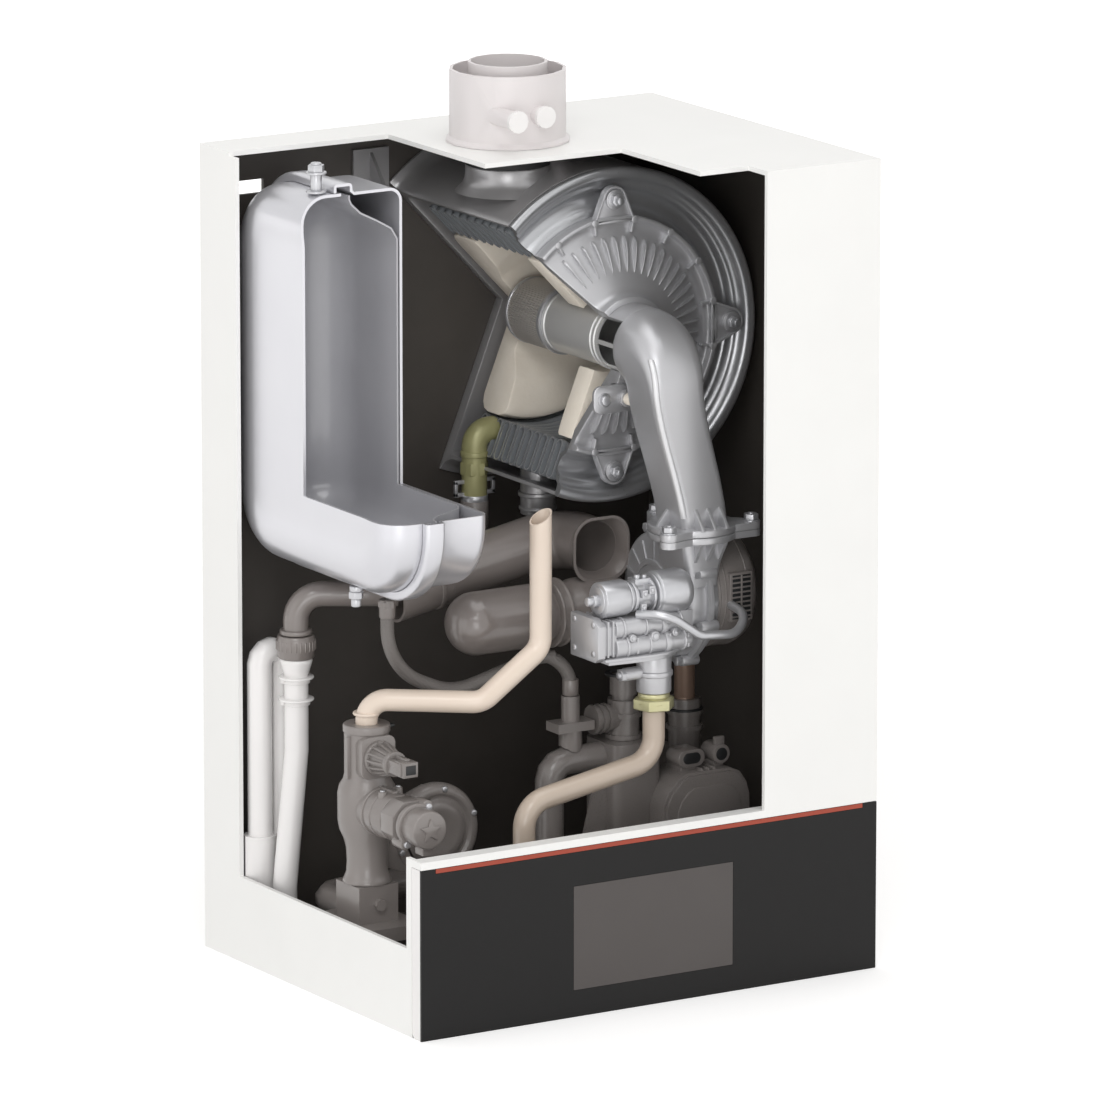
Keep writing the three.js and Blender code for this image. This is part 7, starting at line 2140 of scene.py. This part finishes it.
@dataclass
class Studio:
    """Floor, light, background and the camera at the photograph's angle.

    Near the part the floor glows by floor_glow, so that its shadow stays; the glow grows to full
    white over the distances of glow_reach.
    """

    floor_z: float = -350.0
    camera_place: tuple[float, float, float] = (-4517.7, -7518.3, 1976.9)
    camera_towards: tuple[float, float, float] = (0.5117, 0.8298, -0.2226)
    lens_mm: float = 344.2
    sensor_mm: float = 36.0
    clip_m: float = 100.0
    world_strength: float = 0.6
    world_colour: tuple[float, ...] = (1.0, 0.985, 0.97, 1.0)
    floor_size: float = 9000.0
    floor_glow: float = 0.24
    glow_reach: tuple[float, float] = (700.0, 4200.0)

    def build(self) -> None:
        """Build the whole studio."""
        bpy.context.scene.view_settings.view_transform = "Standard"
        self.build_floor()
        self.build_world()
        self.build_lamps()
        self.build_camera()

    def build_floor(self) -> None:
        """Lay the pale floor, which shows white to the camera where light and shadow allow."""
        mesh = bpy.data.meshes.new("floor")
        half, z = self.floor_size / 2 * MM, self.floor_z * MM
        mesh.from_pydata(
            [(-half, -half, z), (half, -half, z), (half, half, z), (-half, half, z)], [], [(0, 1, 2, 3)]
        )
        floor = bpy.data.objects.new("floor", mesh)
        bpy.context.scene.collection.objects.link(floor)
        mesh.materials.append(self.floor_material())
        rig.stage(floor)

    def floor_material(self) -> bpy.types.Material:
        """Make the matt floor with the glow that whitens it to the camera.

        Returns:
            The material.
        """
        material = bpy.data.materials.new("floor_pale")
        material.use_nodes = True
        tree = material.node_tree
        shader = tree.nodes["Principled BSDF"]
        shader.inputs["Base Color"].default_value = (0.97, 0.97, 0.97, 1.0)
        shader.inputs["Roughness"].default_value = 0.95
        shader.inputs["Specular IOR Level"].default_value = 0.1
        shader.inputs["Emission Color"].default_value = (1.0, 1.0, 1.0, 1.0)
        seen = self.seen_rays(tree)
        middle = add_node(tree, "ShaderNodeTexCoord").outputs["Object"]
        away = add_node(tree, "ShaderNodeVectorMath", {0: middle}, operation="LENGTH")
        growth = add_node(tree, "ShaderNodeMapRange", {"Value": away.outputs["Value"]})
        limits = {
            "From Min": self.glow_reach[0] * MM, "From Max": self.glow_reach[1] * MM,
            "To Min": self.floor_glow,
        }
        for name, value in limits.items():
            growth.inputs[name].default_value = value
        glow = add_node(
            tree, "ShaderNodeMath", {0: seen, 1: growth.outputs["Result"]}, operation="MULTIPLY"
        )
        tree.links.new(glow.outputs[0], shader.inputs["Emission Strength"])
        return material

    def seen_rays(self, tree: bpy.types.NodeTree) -> bpy.types.NodeSocket:
        """Pick out the rays that show a thing to the camera, straight, by reflection or through glass.

        Args:
            tree: the material's or the world's tree.

        Returns:
            One for those rays and nought for the others.
        """
        rays = add_node(tree, "ShaderNodeLightPath")
        seen = rays.outputs["Is Camera Ray"]
        for name in ("Is Glossy Ray", "Is Transmission Ray"):
            links = {0: seen, 1: rays.outputs[name]}
            seen = add_node(tree, "ShaderNodeMath", links, operation="MAXIMUM").outputs[0]
        return seen

    def build_world(self) -> None:
        """Light the scene evenly and show white to the camera."""
        world = bpy.data.worlds.new("studio")
        bpy.context.scene.world = world
        world.use_nodes = True
        tree = world.node_tree
        tree.nodes.clear()
        soft = add_node(tree, "ShaderNodeBackground", strength=self.world_strength)
        soft.inputs["Color"].default_value = self.world_colour
        white = add_node(tree, "ShaderNodeBackground", strength=1.0)
        white.inputs["Color"].default_value = (1.0, 1.0, 1.0, 1.0)
        seen = self.seen_rays(tree)
        mix = add_node(tree, "ShaderNodeMixShader", {0: seen, 1: soft.outputs[0], 2: white.outputs[0]})
        add_node(tree, "ShaderNodeOutputWorld", {"Surface": mix.outputs[0]})

    def build_lamps(self) -> None:
        """Hang the soft lamps and aim them at the part."""
        for lamp in LAMPS:
            light = bpy.data.lights.new(lamp.name, "AREA")
            light.shape = "SQUARE"
            light.size = lamp.size * MM
            light.energy = lamp.watts
            self.hold(bpy.data.objects.new(lamp.name, light), lamp.place, -Vector(lamp.place))

    def hold(self, holder: bpy.types.Object, place: Point, towards: Point) -> None:
        """Put a lamp or the camera in its place.

        Args:
            holder: the lamp's or the camera's object.
            place: where it stands.
            towards: the way it looks.
        """
        holder.location = Vector(place) * MM
        holder.rotation_euler = Vector(towards).to_track_quat("-Z", "Y").to_euler()
        bpy.context.scene.collection.objects.link(holder)

    def build_camera(self) -> None:
        """Set the camera at the photograph's viewing angle."""
        camera = bpy.data.cameras.new("camera")
        camera.lens = self.lens_mm
        camera.sensor_width = self.sensor_mm
        camera.clip_end = self.clip_m
        holder = bpy.data.objects.new("camera", camera)
        self.hold(holder, self.camera_place, self.camera_towards)
        bpy.context.scene.camera = holder


INNER_SIDES = {
    "rear_wall": (0, -1, 0),
    "left_panel": (1, 0, 0),
    "right_panel": (-1, 0, 0),
    "top_panel": (0, 0, -1),
    "base_pan": (0, 0, 1),
    "front_cover": (0, 1, 0),
}


@dataclass
class Casing:
    """The sheet casing, painted white outside, with painted shade in dark grey brown on its inner faces.

    Everything on the rear wall that stands further out than wall_skin is inside the casing.
    """

    workshop: Workshop
    wall_skin: float = 1.0

    def build(self) -> None:
        """Give the inner faces of the casing their painted shade, a dark grey brown."""
        # Painted shade: the inner faces are coloured dark grey brown for the shade inside the casing.
        dark = self.workshop.materials["inner_coating"]
        for name, towards in INNER_SIDES.items():
            data = frame["nodes"][name].data
            if dark.name not in data.materials:
                data.materials.append(dark)
            slot = data.materials.find(dark.name)
            for face in data.polygons:
                inside = name == "rear_wall" and face.center.y / MM < -self.wall_skin
                if face.normal.dot(Vector(towards)) > 0.5 or inside:
                    face.material_index = slot


class FrameDresser:
    """Gives the frame's own nodes their finishes, eased edges and smooth round faces."""

    def __init__(self, workshop: Workshop) -> None:
        """Keep the workshop and read every node's slot from the record."""
        self.workshop = workshop
        self.slots = {entry["node"]: entry["material_slot"] for entry in frame["record"]["subparts"]}

    def dress(self, name: str) -> None:
        """Dress one node of the frame.

        Args:
            name: the node's name.
        """
        node = frame["nodes"][name]
        node.data.materials.clear()
        node.data.materials.append(self.workshop.materials[OTHER_FINISH.get(name, self.slots[name])])
        self.workshop.soften(node, EASED.get(name, 0.4), 40)
        LOG.info("dressed %s", name)


def write_sizes() -> None:
    """Write the frame's box and the dressed part's box."""
    boxes = {
        "cad": [list(corner) for corner in CAD_BOX], "visual": [list(corner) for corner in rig.bounds()]
    }
    with open(SIZE_FILE, "w", encoding="utf-8") as out:
        json.dump(boxes, out)


def main() -> None:
    """Build the studio, dress every node and add the finer pieces."""
    logging.basicConfig(level=logging.INFO, format="%(name)s: %(message)s")
    workshop = Workshop({slot: finish.build() for slot, finish in FINISHES.items()})
    dresser = FrameDresser(workshop)
    for name in frame["nodes"]:
        dresser.dress(name)
    Casing(workshop).build()
    Exchanger(workshop).build()
    ExpansionVessel(workshop).build()
    FanGroup(workshop).build()
    Pipework(workshop).build()
    Hydraulics(workshop).build()
    Studio().build()
    write_sizes()


if __name__ == "__main__":
    main()
